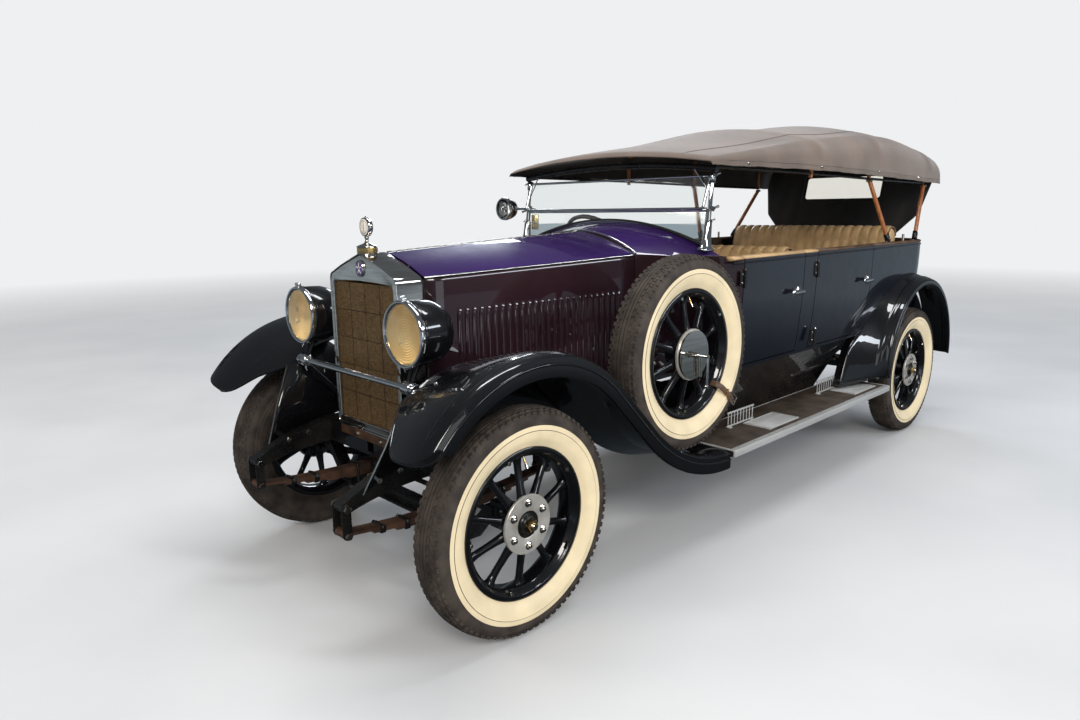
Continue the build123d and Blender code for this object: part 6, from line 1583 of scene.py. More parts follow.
def back_curtain():
    """A black curtain with slack folds and an opening left for its window."""
    rows = curtain_rows()
    low, high, wide = WINDOW
    columns = [-1 + 2 * k / 60 for k in range(61)]
    points, faces, index = [], [], {}

    def vertex(j, k):
        if (j, k) not in index:
            half, y, z = rows[j]
            x = columns[k] * half
            if abs(abs(x) - wide) < 0.01:
                x = copysign(wide, x)
            slack = 0.0035 * sin(x * 19.0 + z * 7.0) + 0.0025 * sin(x * 47.0 - z * 11.0)
            edge = min(1.0, (1 - abs(columns[k])) * 6, abs(z - 1.218) * 20)
            index[(j, k)] = len(points)
            points.append(at(x, y + slack * edge, z))
        return index[(j, k)]

    heights = [row[2] for row in rows]
    for j in range(len(rows) - 1):
        for k in range(60):
            mid_x = (columns[k] + columns[k + 1]) / 2 * rows[j][0]
            mid_z = (heights[j] + heights[j + 1]) / 2
            if abs(mid_x) < wide and low < mid_z < high:
                continue
            faces.append((vertex(j, k), vertex(j, k + 1), vertex(j + 1, k + 1), vertex(j + 1, k)))
    cloth = add_mesh("back_curtain_dressed", points, faces)
    area = sum(face.area for face in cloth.data.polygons)
    unwrap(cloth, 2)
    thick = cloth.modifiers.new("thickness", "SOLIDIFY")
    thick.thickness = 0.0024
    thick.offset = 0.0
    bake(cloth)
    paint(cloth, "lining")
    return cloth, area


def window_frame():
    """A flat border round the rear window, with the clear pane behind it."""
    rows = curtain_rows()
    foot, head = rows[0], rows[-1]
    lean = (head[1] - foot[1]) / (head[2] - foot[2])

    def on(x, z, off):
        return at(x, foot[1] + (z - foot[2]) * lean + off, z)

    low, high, wide = WINDOW
    sections = []
    for grow, off in ((-0.012, -0.0055), (-0.012, 0.0055), (0.014, 0.0055), (0.014, -0.0055)):
        corners = []
        for cx, cz, start in ((wide, high, 0), (-wide, high, 1), (-wide, low, 2), (wide, low, 3)):
            for k in range(6):
                angle = pi / 2 * (start + k / 5)
                r = 0.018
                sx, sz = (1 if cx > 0 else -1), (1 if cz > (low + high) / 2 else -1)
                x = cx - sx * (r - grow) + r * cos(angle)
                z = cz - sz * (r - grow) + r * sin(angle)
                corners.append(on(x, z, off))
        sections.append(corners)
    frame_piece = paint(loft("window_border", sections, closed_path=True), "lining")
    pane = []
    for off in (-0.0012, 0.0012):
        pane.append([on(x, z, off) for x, z in ((wide, low), (wide, high), (-wide, high), (-wide, low))])
    glass = paint(loft("window_pane", pane, smooth=False), "celluloid")
    return frame_piece, glass


def bow_path(station, drop, half):
    """A line across the car just under the cloth."""
    row = hood_row(station)
    line = [(x, z) for x, z in row if abs(x) <= half and z > row[0][1] + 0.05]
    return [at(x, station, z - drop) for x, z in line]


def flat_stick(name, start, end, wide, thick, material="bow"):
    """A flat wooden bar with rounded edges between two points, wide along the car."""
    start, end = Vector(start), Vector(end)
    run = (end - start).normalized()
    across = Vector((0, 1, 0)) - run * run.y
    across.normalize()
    through = run.cross(across)
    sections = []
    for share in (0.0, 0.02, 0.5, 0.98, 1.0):
        shrink = 0.75 if share in (0.0, 1.0) else 1.0
        loop = []
        for k in range(16):
            a = tau * k / 16
            c, s = cos(a), sin(a)
            loop.append(start.lerp(end, share) + across * copysign(abs(c) ** 0.6, c) * wide / 2 * shrink
                + through * copysign(abs(s) ** 0.6, s) * thick / 2 * shrink)
        sections.append(loop)
    return paint(loft(name, sections), material)


class CAR_OT_hood(bpy.types.Operator):
    """The hood's cloth, seams, curtain, window, bows and sticks."""

    bl_idname = "car.hood"
    bl_label = "Hood"

    def execute(self, context):
        cloth, sections = hood_cloth()
        stand_in(cloth, "hood_cloth")
        trim = hood_trim()
        beside(trim, "hood_cloth")
        area = sum(face.area for face in cloth.data.polygons) / 2
        curtain, area = back_curtain()
        border, pane = window_frame()
        for piece in (curtain, border):
            stand_in(piece, "back_curtain")
        beside(pane, "windscreen_glass")
        pieces = [tube("bow", bow_path(station, 0.0165, 0.605), 0.0115, "bow", sides=14)
            for station in BOWS[1:]]
        # The header is black as painted shade under the hood's front edge, where the cloth is taupe
        header = [at(x, 1.289, 1.6075 + 0.036 * (1 - (x / 0.6) ** 2)) for x in [-0.604 + 1.208 * k / 24
            for k in range(25)]]
        pieces.append(tube("header", header, 0.015, "frame", sides=16))
        for side in (1, -1):
            rail = [at(side * 0.6, 1.289, 1.616), at(side * 0.602, 2.16, 1.608), at(side * 0.602, 2.88, 1.596),
                at(side * 0.6, 3.74, 1.586)]
            pieces.append(tube("side_iron", smooth_path(rail, 14), 0.0075, "frame", sides=10))
            for station in BOWS[1:]:
                z = hood_row(station)[6][1]
                foot = at(side * 0.6, station, 1.588)
                pieces.append(paint(rod("leg", foot, at(side * 0.604, station, z + 0.05), 0.0105, 14), "bow"))
            for foot_y, head_y, head_z in ((3.07, 2.88, 1.59), (3.49, 3.74, 1.572)):
                foot, head = at(side * 0.664, foot_y, 1.232), at(side * 0.604, head_y, head_z)
                pieces.append(flat_stick("stick", foot, head, 0.03, 0.019))
                pieces.append(paint(rod("head_pin", head + Vector((-side * 0.016, 0, -0.004)),
                    head + Vector((side * 0.018, 0, -0.004)), 0.0085, 18, bevel=0.0015), "nickel"))
                along = (head - foot).normalized()
                socket_top = foot + along * 0.052
                pieces.append(flat_stick("socket", foot - along * 0.004, socket_top, 0.037, 0.026, "frame"))
                for share in (0.35, 0.75):
                    spot = foot.lerp(socket_top, share)
                    pieces.append(paint(rod("rivet", spot + Vector((-side * 0.016, 0, 0)),
                        spot + Vector((side * 0.016, 0, 0)), 0.004, 12), "nickel"))
                pieces.append(paint(block("foot_plate", foot + Vector((-0.024, -0.034, -0.016)),
                    foot + Vector((0.024, 0.034, -0.005)), 0.004), "frame"))
                for dy in (-0.024, 0.024):
                    pieces.append(paint(rod("foot_screw", foot + Vector((0, dy, -0.006)),
                        foot + Vector((0, dy, -0.0025)), 0.0055, 14), "nickel"))
            peg = at(side * 0.664, 3.3, 1.222)
            pieces.append(paint(rod("peg", peg, peg + Vector((0, 0, 0.045)), 0.0075, 14, bevel=0.002),
                "nickel"))
        stand_in(join("hood_bows_dressed", pieces), "hood_bows")
        return {"FINISHED"}


# Seats: sewn channels blown up as cloth, rolled tops and piping

PUFF_LIMIT = 0.009


def seat_lines(front, back, top_back):
    """The cushion's line and the back's line as (station, height), foot to rear."""
    base, top = 0.856, 1.018
    cushion = [(front + 0.004, base), (front - 0.005, base + 0.07), (front + 0.002, top - 0.04),
        (front + 0.03, top - 0.008), (front + 0.085, top), (back - 0.3, top - 0.014),
        (back - 0.15, top - 0.026)]
    behind = [(back - 0.18, top - 0.06), (back - 0.176, top + 0.06), (back - 0.15, top_back - 0.11),
        (back - 0.128, top_back - 0.045), (back - 0.098, top_back - 0.012), (back - 0.06, top_back - 0.004),
        (back - 0.024, top_back - 0.022), (back - 0.008, top_back - 0.06)]
    return cushion, behind


def even_rows(line, step):
    """Points of (station, height) at even steps along a smooth line."""
    path = smooth_path([Vector((y, z, 0)) for y, z in line], 24)
    total = measure(path)
    count = max(4, round(total / step))
    rows, run, k = [], 0.0, 0
    for j in range(count + 1):
        goal = total * j / count
        while k < len(path) - 2 and run + (path[k + 1] - path[k]).length < goal:
            run += (path[k + 1] - path[k]).length
            k += 1
        share = (goal - run) / max(1e-9, (path[k + 1] - path[k]).length)
        rows.append(path[k].lerp(path[k + 1], min(1.0, share)))
    return rows


def quilt(name, line, half, pleat, seam_rows=()):
    """A sewn sheet along a line: channels side by side, each pulled down at its seams."""
    rows = even_rows(line, 0.012)
    channels = round(2 * half / pleat)
    per = 8
    count = channels * per
    points, pins = [], []
    for j, row in enumerate(rows):
        ahead, behind = rows[min(j + 1, len(rows) - 1)], rows[max(j - 1, 0)]
        run = (ahead - behind).normalized()
        out = Vector((0, -run.y, run.x))
        share = j / (len(rows) - 1)
        ends = min(1.0, 9 * share, 9 * (1 - share))
        sewn = any(abs(share - seam) < 0.6 / (len(rows) - 1) for seam in seam_rows)
        for k in range(count + 1):
            u = (k % per) / per
            puff = 0.0075 * (1 - abs(2 * u - 1) ** 3) * (0.2 if sewn else 1.0) * ends
            points.append(at(-half + 2 * half * k / count, row.x, row.y) + out * puff)
            if k % per == 0 or j in (0, len(rows) - 1) or sewn:
                pins.append(len(points) - 1)
    faces = [(j * (count + 1) + k, j * (count + 1) + k + 1, (j + 1) * (count + 1) + k + 1,
        (j + 1) * (count + 1) + k) for j in range(len(rows) - 1) for k in range(count)]
    piece = add_object(name, bpy.data.meshes.new(name))
    piece.data.from_pydata([tuple(point) for point in points], [], faces)
    middle_face = piece.data.polygons[len(faces) // 2]
    if middle_face.normal.y > 0 and middle_face.normal.z < 0.3 or middle_face.normal.z < -0.1:
        piece.data.flip_normals()
    piece.data.shade_smooth()
    blow_up(piece, pins)
    return piece


def blow_up(piece, pins):
    """A short cloth simulation with air behind the sheet; its seams stay where they are."""
    before = [vertex.co.copy() for vertex in piece.data.vertices]
    group = piece.vertex_groups.new(name="seams")
    group.add(pins, 1.0, "REPLACE")
    modifier = piece.modifiers.new("cloth", "CLOTH")
    settings = modifier.settings
    for key, value in (("quality", 4), ("mass", 0.35), ("tension_stiffness", 12.0),
            ("compression_stiffness", 12.0), ("shear_stiffness", 4.0), ("bending_stiffness", 0.6),
            ("vertex_group_mass", "seams"), ("use_pressure", True), ("uniform_pressure_force", 3.0),
            ("shrink_min", -0.035)):
        setattr(settings, key, value)
    settings.effector_weights.gravity = 0.0
    modifier.collision_settings.use_self_collision = False
    scene = bpy.context.scene
    for number in range(1, 21):
        scene.frame_set(number)
    bake(piece)
    scene.frame_set(1)
    for vertex, start in zip(piece.data.vertices, before):
        move = vertex.co - start
        if move.length > PUFF_LIMIT:
            vertex.co = start + move * (PUFF_LIMIT / move.length)
    piece.data.shade_smooth()


def seat_core(name, line, half, low):
    """The firm body under a sewn sheet, its ends rounded."""
    rows = even_rows(line, 0.022)
    first, last = rows[0], rows[-1]
    outline = [(row.x, row.y) for row in rows] + [(last.x, low), (first.x, low)]
    centre = (sum(p[0] for p in outline) / len(outline), sum(p[1] for p in outline) / len(outline))
    sections = []
    for share, inset in ((-1.0, 0.02), (-0.988, 0.008), (-0.97, 0.003), (0.97, 0.003), (0.988, 0.008),
            (1.0, 0.02)):
        loop = []
        for y, z in outline:
            run = Vector((centre[0] - y, centre[1] - z))
            run = run.normalized() * (inset + 0.002)
            loop.append(at(half * share, y + run.x, z + run.y))
        sections.append(loop)
    core = loft(name, sections)
    return paint(shade_by_angle(core, radians(50)), "leather")


def make_seat(node, front, back, half, top_back):
    """One seat: cushion and back, each a core with its sewn sheet and piping."""
    cushion, behind = seat_lines(front, back, top_back)
    pleat = sizes().pleat
    pieces = [quilt("cushion", cushion, half - 0.004, pleat, (0.3,)), quilt("squab", behind, half - 0.004,
        pleat, (0.62,))]
    for piece in pieces:
        paint(piece, "leather")
    pieces.append(seat_core("cushion_core", cushion, half - 0.002, 0.855))
    pieces.append(seat_core("squab_core", behind + [(back - 0.006, top_back - 0.12)], half - 0.002, 0.858))
    for line in (cushion, behind):
        for side in (1, -1):
            pieces.append(tube("welt", [at(side * (half - 0.005), row.x, row.y)
                for row in even_rows(line, 0.014)], 0.0048, "piping", sides=10))
        cross = even_rows(line, 0.02)[-1]
        pieces.append(tube("welt", [at(x, cross.x, cross.y) for x in [(-1 + 2 * k / 20) * (half - 0.005)
            for k in range(21)]], 0.0048, "piping", sides=10))
    stand_in(join(node + "_upholstery", pieces), node)


class CAR_OT_seats(bpy.types.Operator):
    """Both seats with their sewn channels."""

    bl_idname = "car.seats"
    bl_label = "Seats"

    def execute(self, context):
        make_seat("front_seat", 1.5, 2.05, 0.6, 1.236)
        make_seat("rear_seat", 2.88, 3.48, 0.558, 1.31)
        return {"FINISHED"}


# Pieces taken from the solids, with their edges rounded

SOFTENED = {
    # node: edge radius and finish
    "body_tub": (0.0045, "body"), "scuttle": (0.003, "bonnet"), "door_front_left": (0.0026, "body"),
    "door_front_right": (0.0026, "body"), "door_rear_left": (0.0026, "body"),
    "door_rear_right": (0.0026, "body"), "chassis_frame": (0.002, "frame"), "front_axle": (0.003, "frame"),
    "rear_axle": (0.0025, "frame"), "splash_aprons": (0.0012, "wing"), "knuckle_left": (0.0016, "frame"),
    "knuckle_right": (0.0016, "frame"), "engine_and_exhaust": (0.0045, "engine")}


def soften(node, width, material):
    """A copy of a solid's mesh with flat faces made whole and edges rounded."""
    piece = add_object(node + "_finished", bpy.data.objects[node].data.copy())
    work = bmesh.new()
    work.from_mesh(piece.data)
    bmesh.ops.remove_doubles(work, verts=work.verts, dist=1e-5)
    bmesh.ops.dissolve_limit(work, angle_limit=radians(0.8), verts=work.verts, edges=work.edges)
    work.to_mesh(piece.data)
    work.free()
    bevel = piece.modifiers.new("rounded edges", "BEVEL")
    bevel.width = width
    bevel.segments = 2
    bevel.limit_method = "ANGLE"
    bevel.angle_limit = radians(40)
    bevel.use_clamp_overlap = True
    normals = piece.modifiers.new("even shading", "WEIGHTED_NORMAL")
    normals.keep_sharp = True
    shade_by_angle(piece, radians(32))
    bake(piece)
    return stand_in(paint(piece, material), node)


def scuttle_painted_sheen(piece):
    """Painted sheen: violet on the lit top above the crease and the plain aubergine of the same paint on the
    cheeks and outer rear corners, as on the bonnet.
    """
    piece.data.materials.append(FINISHES["bonnet_side"])
    for face in piece.data.polygons:
        side_face = face.normal.z < 0.5 and face.center.z < 1.236
        behind = face.center.y > at(0, 1.262, 0).y
        if side_face or (behind and abs(face.center.x) > 0.55):
            face.material_index = 1
    return piece


# Belt, hinges and handles

DOORS = (
    # node ending, hinge station, front edge, rear edge
    ("front", 1.3975, 1.4, 1.968), ("rear", 2.1095, 2.112, 2.795))


def belt_run(side, start, end, steps=2):
    """A straight stretch of the belt line."""
    return [at(side * 0.692, start + (end - start) * k / steps, 1.197) for k in range(steps + 1)]


def belt_corner():
    """The belt line round the back, from the left door's pillar to the right one."""
    line = [at(0.692, 2.802, 1.197), at(0.692, 3.47, 1.197)]
    for k in range(1, 13):
        angle = pi / 2 * k / 12
        line.append(at(0.362 + 0.33 * cos(angle), 3.47 + 0.33 * sin(angle), 1.197))
    return line + [Vector((-point.x, point.y, point.z)) for point in line[::-1]]


def roll_finish(start, end):
    """Tan beside the front seat, dark leather farther back."""
    return "leather" if start + end < 4.1 else "strap"


def inner_roll(line, inset, lift):
    """The belt line drawn inwards and raised, for the roll on top of the wall."""
    out = []
    centre_y = at(0, 3.47, 0).y
    for point in line:
        if point.y <= centre_y + 1e-6:
            out.append(Vector((point.x - copysign(inset, point.x), point.y, point.z + lift)))
            continue
        radial = Vector((abs(point.x) - 0.362, point.y - centre_y, 0))
        if abs(point.x) <= 0.362:
            radial = Vector((0, 1, 0))
        radial.normalize()
        out.append(Vector((point.x - copysign(radial.x, point.x) * inset, point.y - radial.y * inset,
            point.z + lift)))
    return out


def belt_parts(line, material):
    """The belt bead along a line and the flat oval roll on top of the wall beside it."""
    belt = tube("belt", line, 0.0048, "body", sides=10)
    line, sections = inner_roll(line, 0.022, 0.0205), []
    for k, point in enumerate(line):
        run = (line[min(k + 1, len(line) - 1)] - line[max(k - 1, 0)]).normalized()
        across = Vector((run.y, -run.x, 0))
        sections.append([point + across * (0.025 * cos(tau * j / 14)) + Vector((0, 0, 0.01 * sin(tau * j / 14)))
            for j in range(14)])
    return [belt, paint(loft("roll", sections), material)]


def hinge(side, station, height):
    """A door hinge: two leaves, a three-part barrel with bright pin ends, and screws."""
    x = side * 0.697
    pieces = [paint(rod("barrel", at(x, station, height - 0.038 + 0.026 * k),
        at(x, station, height - 0.014 + 0.026 * k), 0.009, 20, bevel=0.0015), "frame") for k in range(3)]
    for end in (-1, 1):
        tip = at(x, station, height + end * 0.0395)
        pieces.append(paint(rod("pin_end", tip, tip + Vector((0, 0, end * 0.006)), 0.006, 16,
            end_radius=0.0035), "nickel"))
    low = at(min(side * 0.688, side * 0.6955), station - 0.036, height - 0.034)
    high = at(max(side * 0.688, side * 0.6955), station - 0.004, height + 0.034)
    pieces.append(paint(block("leaf", low, high, 0.0015), "frame"))
    for dz in (-0.02, 0.02):
        screw = at(side * 0.6955, station - 0.022, height + dz)
        pieces.append(paint(rod("screw", screw, screw + Vector((side * 0.0022, 0, 0)), 0.005, 14,
            end_radius=0.004), "nickel"))
    return pieces


def handle(side, end):
    """A bright lever handle: round rose, neck and a leaf-shaped blade pointing forwards."""
    z, pivot = 1.026, end - 0.045
    x0 = 0.6875
    rose = lathe("rose", [(0.0, 1e-4), (0.0, 0.026), (0.004, 0.0265), (0.0075, 0.022), (0.01, 0.0125),
        (0.022, 0.0105), (0.026, 1e-4)], at(side * x0, pivot, z), (side, 0, 0), 28)
    sections = []
    shape = [(0.018, 0.003, 0.003), (0.016, 0.0085, 0.007), (0.004, 0.0125, 0.0098), (-0.012, 0.0105, 0.0085),
        (-0.034, 0.0098, 0.0072), (-0.06, 0.0135, 0.0068), (-0.082, 0.015, 0.0062), (-0.1, 0.012, 0.0052),
        (-0.108, 0.006, 0.0036), (-0.1095, 0.0008, 0.0006)]
    for dy, tall, deep in shape:
        bow = 0.714 + 0.004 * sin(pi * max(0.0, -dy) / 0.11)
        sections.append([at(side * (bow + deep * cos(tau * k / 18)), pivot + dy, z + tall * sin(tau * k / 18))
            for k in range(18)])
    blade = loft("blade", sections)
    return [paint(rose, "chrome"), paint(blade, "chrome")]


def door_card(side, start, end, rear):
    """The leather lining inside a door, with piping, a pocket and an inner latch."""
    x = side * 0.6465
    low, high = 0.745, 1.188
    pieces = []
    foot = end - 0.155 if rear else end - 0.022
    outline = [(start + 0.022, low), (foot, low), (end - 0.022, 0.905 if rear else low + 0.001),
        (end - 0.022, high), (start + 0.022, high)]
    sections = []
    for dx, grow in ((-0.004, 0.0), (0.0055, 0.0), (0.008, -0.005)):
        sections.append([at(x - side * (dx - 0.004), y - grow if y < (start + end) / 2 else y + grow, z)
            for y, z in outline])
    pieces.append(paint(loft("card", sections, smooth=False), "card"))
    border = [at(x - side * 0.0045, y, z) for y, z in outline]
    pieces.append(tube("card_piping", border, 0.0035, "piping", closed=True, sides=8))
    y0, y1 = start + 0.08, end - 0.19
    flap = [at(x - side * 0.0075, y, z) for y, z in ((y0, 0.99), (y1, 0.99), (y1, 0.985), (y0, 0.985))]
    pieces.append(tube("pocket_edge", [flap[0], flap[1]], 0.0055, "piping", sides=10))
    pieces.append(paint(block("pocket", at(min(x, x - side * 0.01), y0, 0.79),
        at(max(x, x - side * 0.01), y1, 0.985), 0.004), "card"))
    latch = at(x - side * 0.006, end - 0.06, 1.1)
    pieces += painted("nickel", rod("latch_rose", latch, latch - Vector((side * 0.01, 0, 0)), 0.015, 20,
        bevel=0.002), rod("latch", latch - Vector((side * 0.016, 0, 0)),
        latch + Vector((-side * 0.016, -0.055, -0.012)), 0.0045, 12, bevel=0.001),
        rod("latch_stem", latch, latch - Vector((side * 0.017, 0, 0)), 0.005, 12))
    return pieces


class CAR_OT_body(bpy.types.Operator):
    """Body, doors, scuttle and frame with rounded edges, belt, hinges, handles and linings."""

    bl_idname = "car.body"
    bl_label = "Body and doors"

    def execute(self, context):
        for node, (width, material) in SOFTENED.items():
            piece = soften(node, width, material)
            if node == "scuttle":
                # The scuttle's lit top gets the painted violet sheen
                scuttle_painted_sheen(piece)
        trim = []
        for side in (1, -1):
            for start, end in ((1.3, 1.394), (1.9735, 2.1065)):
                trim += belt_parts(belt_run(side, start, end), roll_finish(start, end))
            for name, station, start, end in DOORS:
                for height in (1.127, 0.776):
                    trim += hinge(side, station, height)
        trim += belt_parts(belt_corner(), "strap")
        beside(join("belt_and_hinges", trim), "body_tub")
        for side_name, side in SIDES:
            for name, station, start, end in DOORS:
                node = "door_%s_%s" % (name, side_name)
                fittings = handle(side, end) + door_card(side, start, end, name == "rear")
                fittings += belt_parts(belt_run(side, start + 0.001, end - 0.001), roll_finish(start, end))
                beside(join(node + "_fittings", fittings), node)
        return {"FINISHED"}


# Running boards

BOARD = (1.1565, 2.85)


def ribbed_mat(side, start, end, inner, outer):
    """A rubber mat with ribs across the car's width, laid along the board."""
    pitch = sizes().mat_rib
    count = int((end - start) / pitch)
    rib = block("rib", (-(outer - inner) / 2 + 0.006, -0.0032, 0.0), ((outer - inner) / 2 - 0.006, 0.0032,
        0.0026), 0.0009, 1)
    ribs = repeat("ribs", rib, count, "mat", at(side * (inner + outer) / 2, start + pitch / 2 + 0.002, 0.3985),
        (0, pitch, 0))
    sheet = block("mat", at(min(side * inner, side * outer), start, 0.3965),
        at(max(side * inner, side * outer), end, 0.399), 0.0006, 1)
    return [ribs, paint(sheet, "mat")]


def step_plate(side, start, end):
    """An aluminium step plate with a raised frame, ribs along it and screws."""
    inner, outer = 0.62, 0.77
    low_x, high_x = min(side * inner, side * outer), max(side * inner, side * outer)
    pieces = [paint(block("plate", at(low_x, start, 0.3985), at(high_x, end, 0.4015), 0.001), "aluminium")]
    ring = [at(low_x + 0.005, start + 0.005, 0.4012), at(high_x - 0.005, start + 0.005, 0.4012),
        at(high_x - 0.005, end - 0.005, 0.4012), at(low_x + 0.005, end - 0.005, 0.4012)]
    pieces.append(tube("plate_rim", ring, 0.004, "aluminium", closed=True, sides=10))
    rib = block("rib", (-0.0022, -(end - start) / 2 + 0.018, 0.0), (0.0022, (end - start) / 2 - 0.018, 0.0024),
        0.0009, 1)
    count = 11
    pieces.append(repeat("plate_ribs", rib, count, "aluminium", at(low_x + 0.017, (start + end) / 2, 0.4012),
        ((high_x - low_x - 0.034) / (count - 1), 0, 0)))
    for x in (low_x + 0.012, high_x - 0.012):
        for y in (start + 0.012, end - 0.012):
            pieces.append(paint(rod("screw", at(x, y, 0.4012), at(x, y, 0.4032), 0.0042, 14, end_radius=0.003),
                "nickel"))
    return pieces


def comb_guard(side, start, end):
    """A bright upright comb that keeps luggage off the paint: two rails and thin bars."""
    x, low, high = side * 0.612, 0.402, 0.474
    rails = []
    for z in (low + 0.006, high):
        rails.append(paint(block("rail", at(x - 0.004, start, z - 0.004), at(x + 0.004, end, z + 0.004),
            0.0015), "aluminium"))
    bar = rod("bar", (0, 0, 0), (0, 0, high - low - 0.006), 0.003, 10)
    count = 9
    gap = (end - start - 0.02) / (count - 1)
    rails.append(repeat("bars", bar, count, "aluminium", at(x, start + 0.01, low + 0.006), (0, gap, 0)))
    for y in (start + 0.02, end - 0.02):
        rails.append(paint(block("foot", at(x - 0.014, y - 0.012, low - 0.003),
            at(x + 0.014, y + 0.012, low + 0.003), 0.001), "aluminium"))
    return rails


class CAR_OT_boards(bpy.types.Operator):
    """Running boards with ribbed mats, bright edging, step plates and guards."""

    bl_idname = "car.boards"
    bl_label = "Running boards"

    def execute(self, context):
        start, end = BOARD
        pieces = []
        for side in (1, -1):
            def box_at(name, x0, x1, y0, y1, z0, z1, bevel, material):
                low_x, high_x = min(side * x0, side * x1), max(side * x0, side * x1)
                return paint(block(name, at(low_x, y0, z0), at(high_x, y1, z1), bevel), material)

            pieces.append(box_at("deck", 0.5, 0.815, start, end, 0.37, 0.3968, 0.0015, "frame"))
            pieces += ribbed_mat(side, start + 0.004, end - 0.004, 0.504, 0.8)
            pieces.append(box_at("edging_face", 0.8155, 0.8255, start, end, 0.369, 0.402, 0.0035, "aluminium"))
            pieces.append(box_at("edging_top", 0.796, 0.822, start, end, 0.3975, 0.402, 0.0015, "aluminium"))
            pieces.append(box_at("edging_inner", 0.5005, 0.508, start, end, 0.3965, 0.402, 0.001, "aluminium"))
            for y in (start, end - 0.012):
                pieces.append(box_at("edging_end", 0.508, 0.82, y, y + 0.012, 0.3965, 0.4022, 0.0012,
                    "aluminium"))
            for k in range(13):
                y = start + 0.06 + (end - start - 0.12) * k / 12
                pieces.append(paint(rod("screw", at(side * 0.809, y, 0.4018), at(side * 0.809, y, 0.403),
                    0.0032, 12, end_radius=0.0022), "nickel"))
            for y in (1.56, end - 0.35):
                pieces += step_plate(side, y, y + 0.285)
            for y in (1.43, end - 0.5):
                pieces += comb_guard(side, y, y + 0.24)
            for y in (1.42, end - 0.55):
                pieces.append(box_at("bracket", 0.4555, 0.59, y - 0.02, y + 0.02, 0.356, 0.3702, 0.002,
                    "frame"))
                pieces.append(box_at("bracket", 0.4555, 0.467, y - 0.02, y + 0.02, 0.356, 0.56, 0.002, "frame"))
        boards = join("running_boards_dressed", pieces)
        stand_in(boards, "running_boards")
        return {"FINISHED"}


# Windscreen: posts, fixed lower pane, upper pane swung forwards, mouldings and spot lamp

SCREEN_FOOT = (1.252, 1.2678)
SCREEN_HEAD = (1.289, 1.592)
SCREEN_HALF = 0.5815


def screen_place(x, share, forward=0.0):
    """A point on the windscreen's plane at a share of its height."""
    (y0, z0), (y1, z1) = SCREEN_FOOT, SCREEN_HEAD
    return at(x, y0 + (y1 - y0) * share - forward, z0 + (z1 - z0) * share)


def cowl_at(x, lift=0.0):
    """Height of the scuttle's rear edge."""
    rise, half = 0.148, 0.645
    radius = (half ** 2 + rise ** 2) / (2 * rise)
    return 1.38 - radius + sqrt(radius ** 2 - x ** 2) + lift


def oval_bar(name, start, end, wide, deep, material, end_share=1.0):
    """A bar with an oval section, wide across the car and deep along it."""
    start, end = Vector(start), Vector(end)
    run = (end - start).normalized()
    across = Vector((1, 0, 0)) - run * run.x
    across.normalize()
    through = run.cross(across)
    sections = []
    for share, size in ((0.0, 0.8), (0.012, 1.0), (0.5, (1 + end_share) / 2), (0.988, end_share),
            (1.0, 0.8 * end_share)):
        sections.append([start.lerp(end, share) + across * (cos(tau * k / 20) * wide / 2 * size) + through
            * (sin(tau * k / 20) * deep / 2 * size) for k in range(20)])
    return paint(loft(name, sections), material)


def wing_nut(place, side, size=0.016):
    """A screw head with two ears, on the outer side of a post."""
    pieces = [rod("nut", place, place + Vector((side * size, 0, 0)), size * 0.55, 18, end_radius=size * 0.38)]
    for lean in (-1, 1):
        tip = place + Vector((side * size * 1.3, lean * size * 1.25, lean * size * 0.5))
        pieces.append(rod("ear", place + Vector((side * size * 0.5, 0, 0)), tip, size * 0.24, 12,
            end_radius=size * 0.36))
    return [paint(piece, "chrome") for piece in pieces]


def cowl_share(x, lift):
    """How far up the screen the cowl's edge lies, plus a lift."""
    return (cowl_at(x) + lift - SCREEN_FOOT[1]) / (SCREEN_HEAD[1] - SCREEN_FOOT[1])


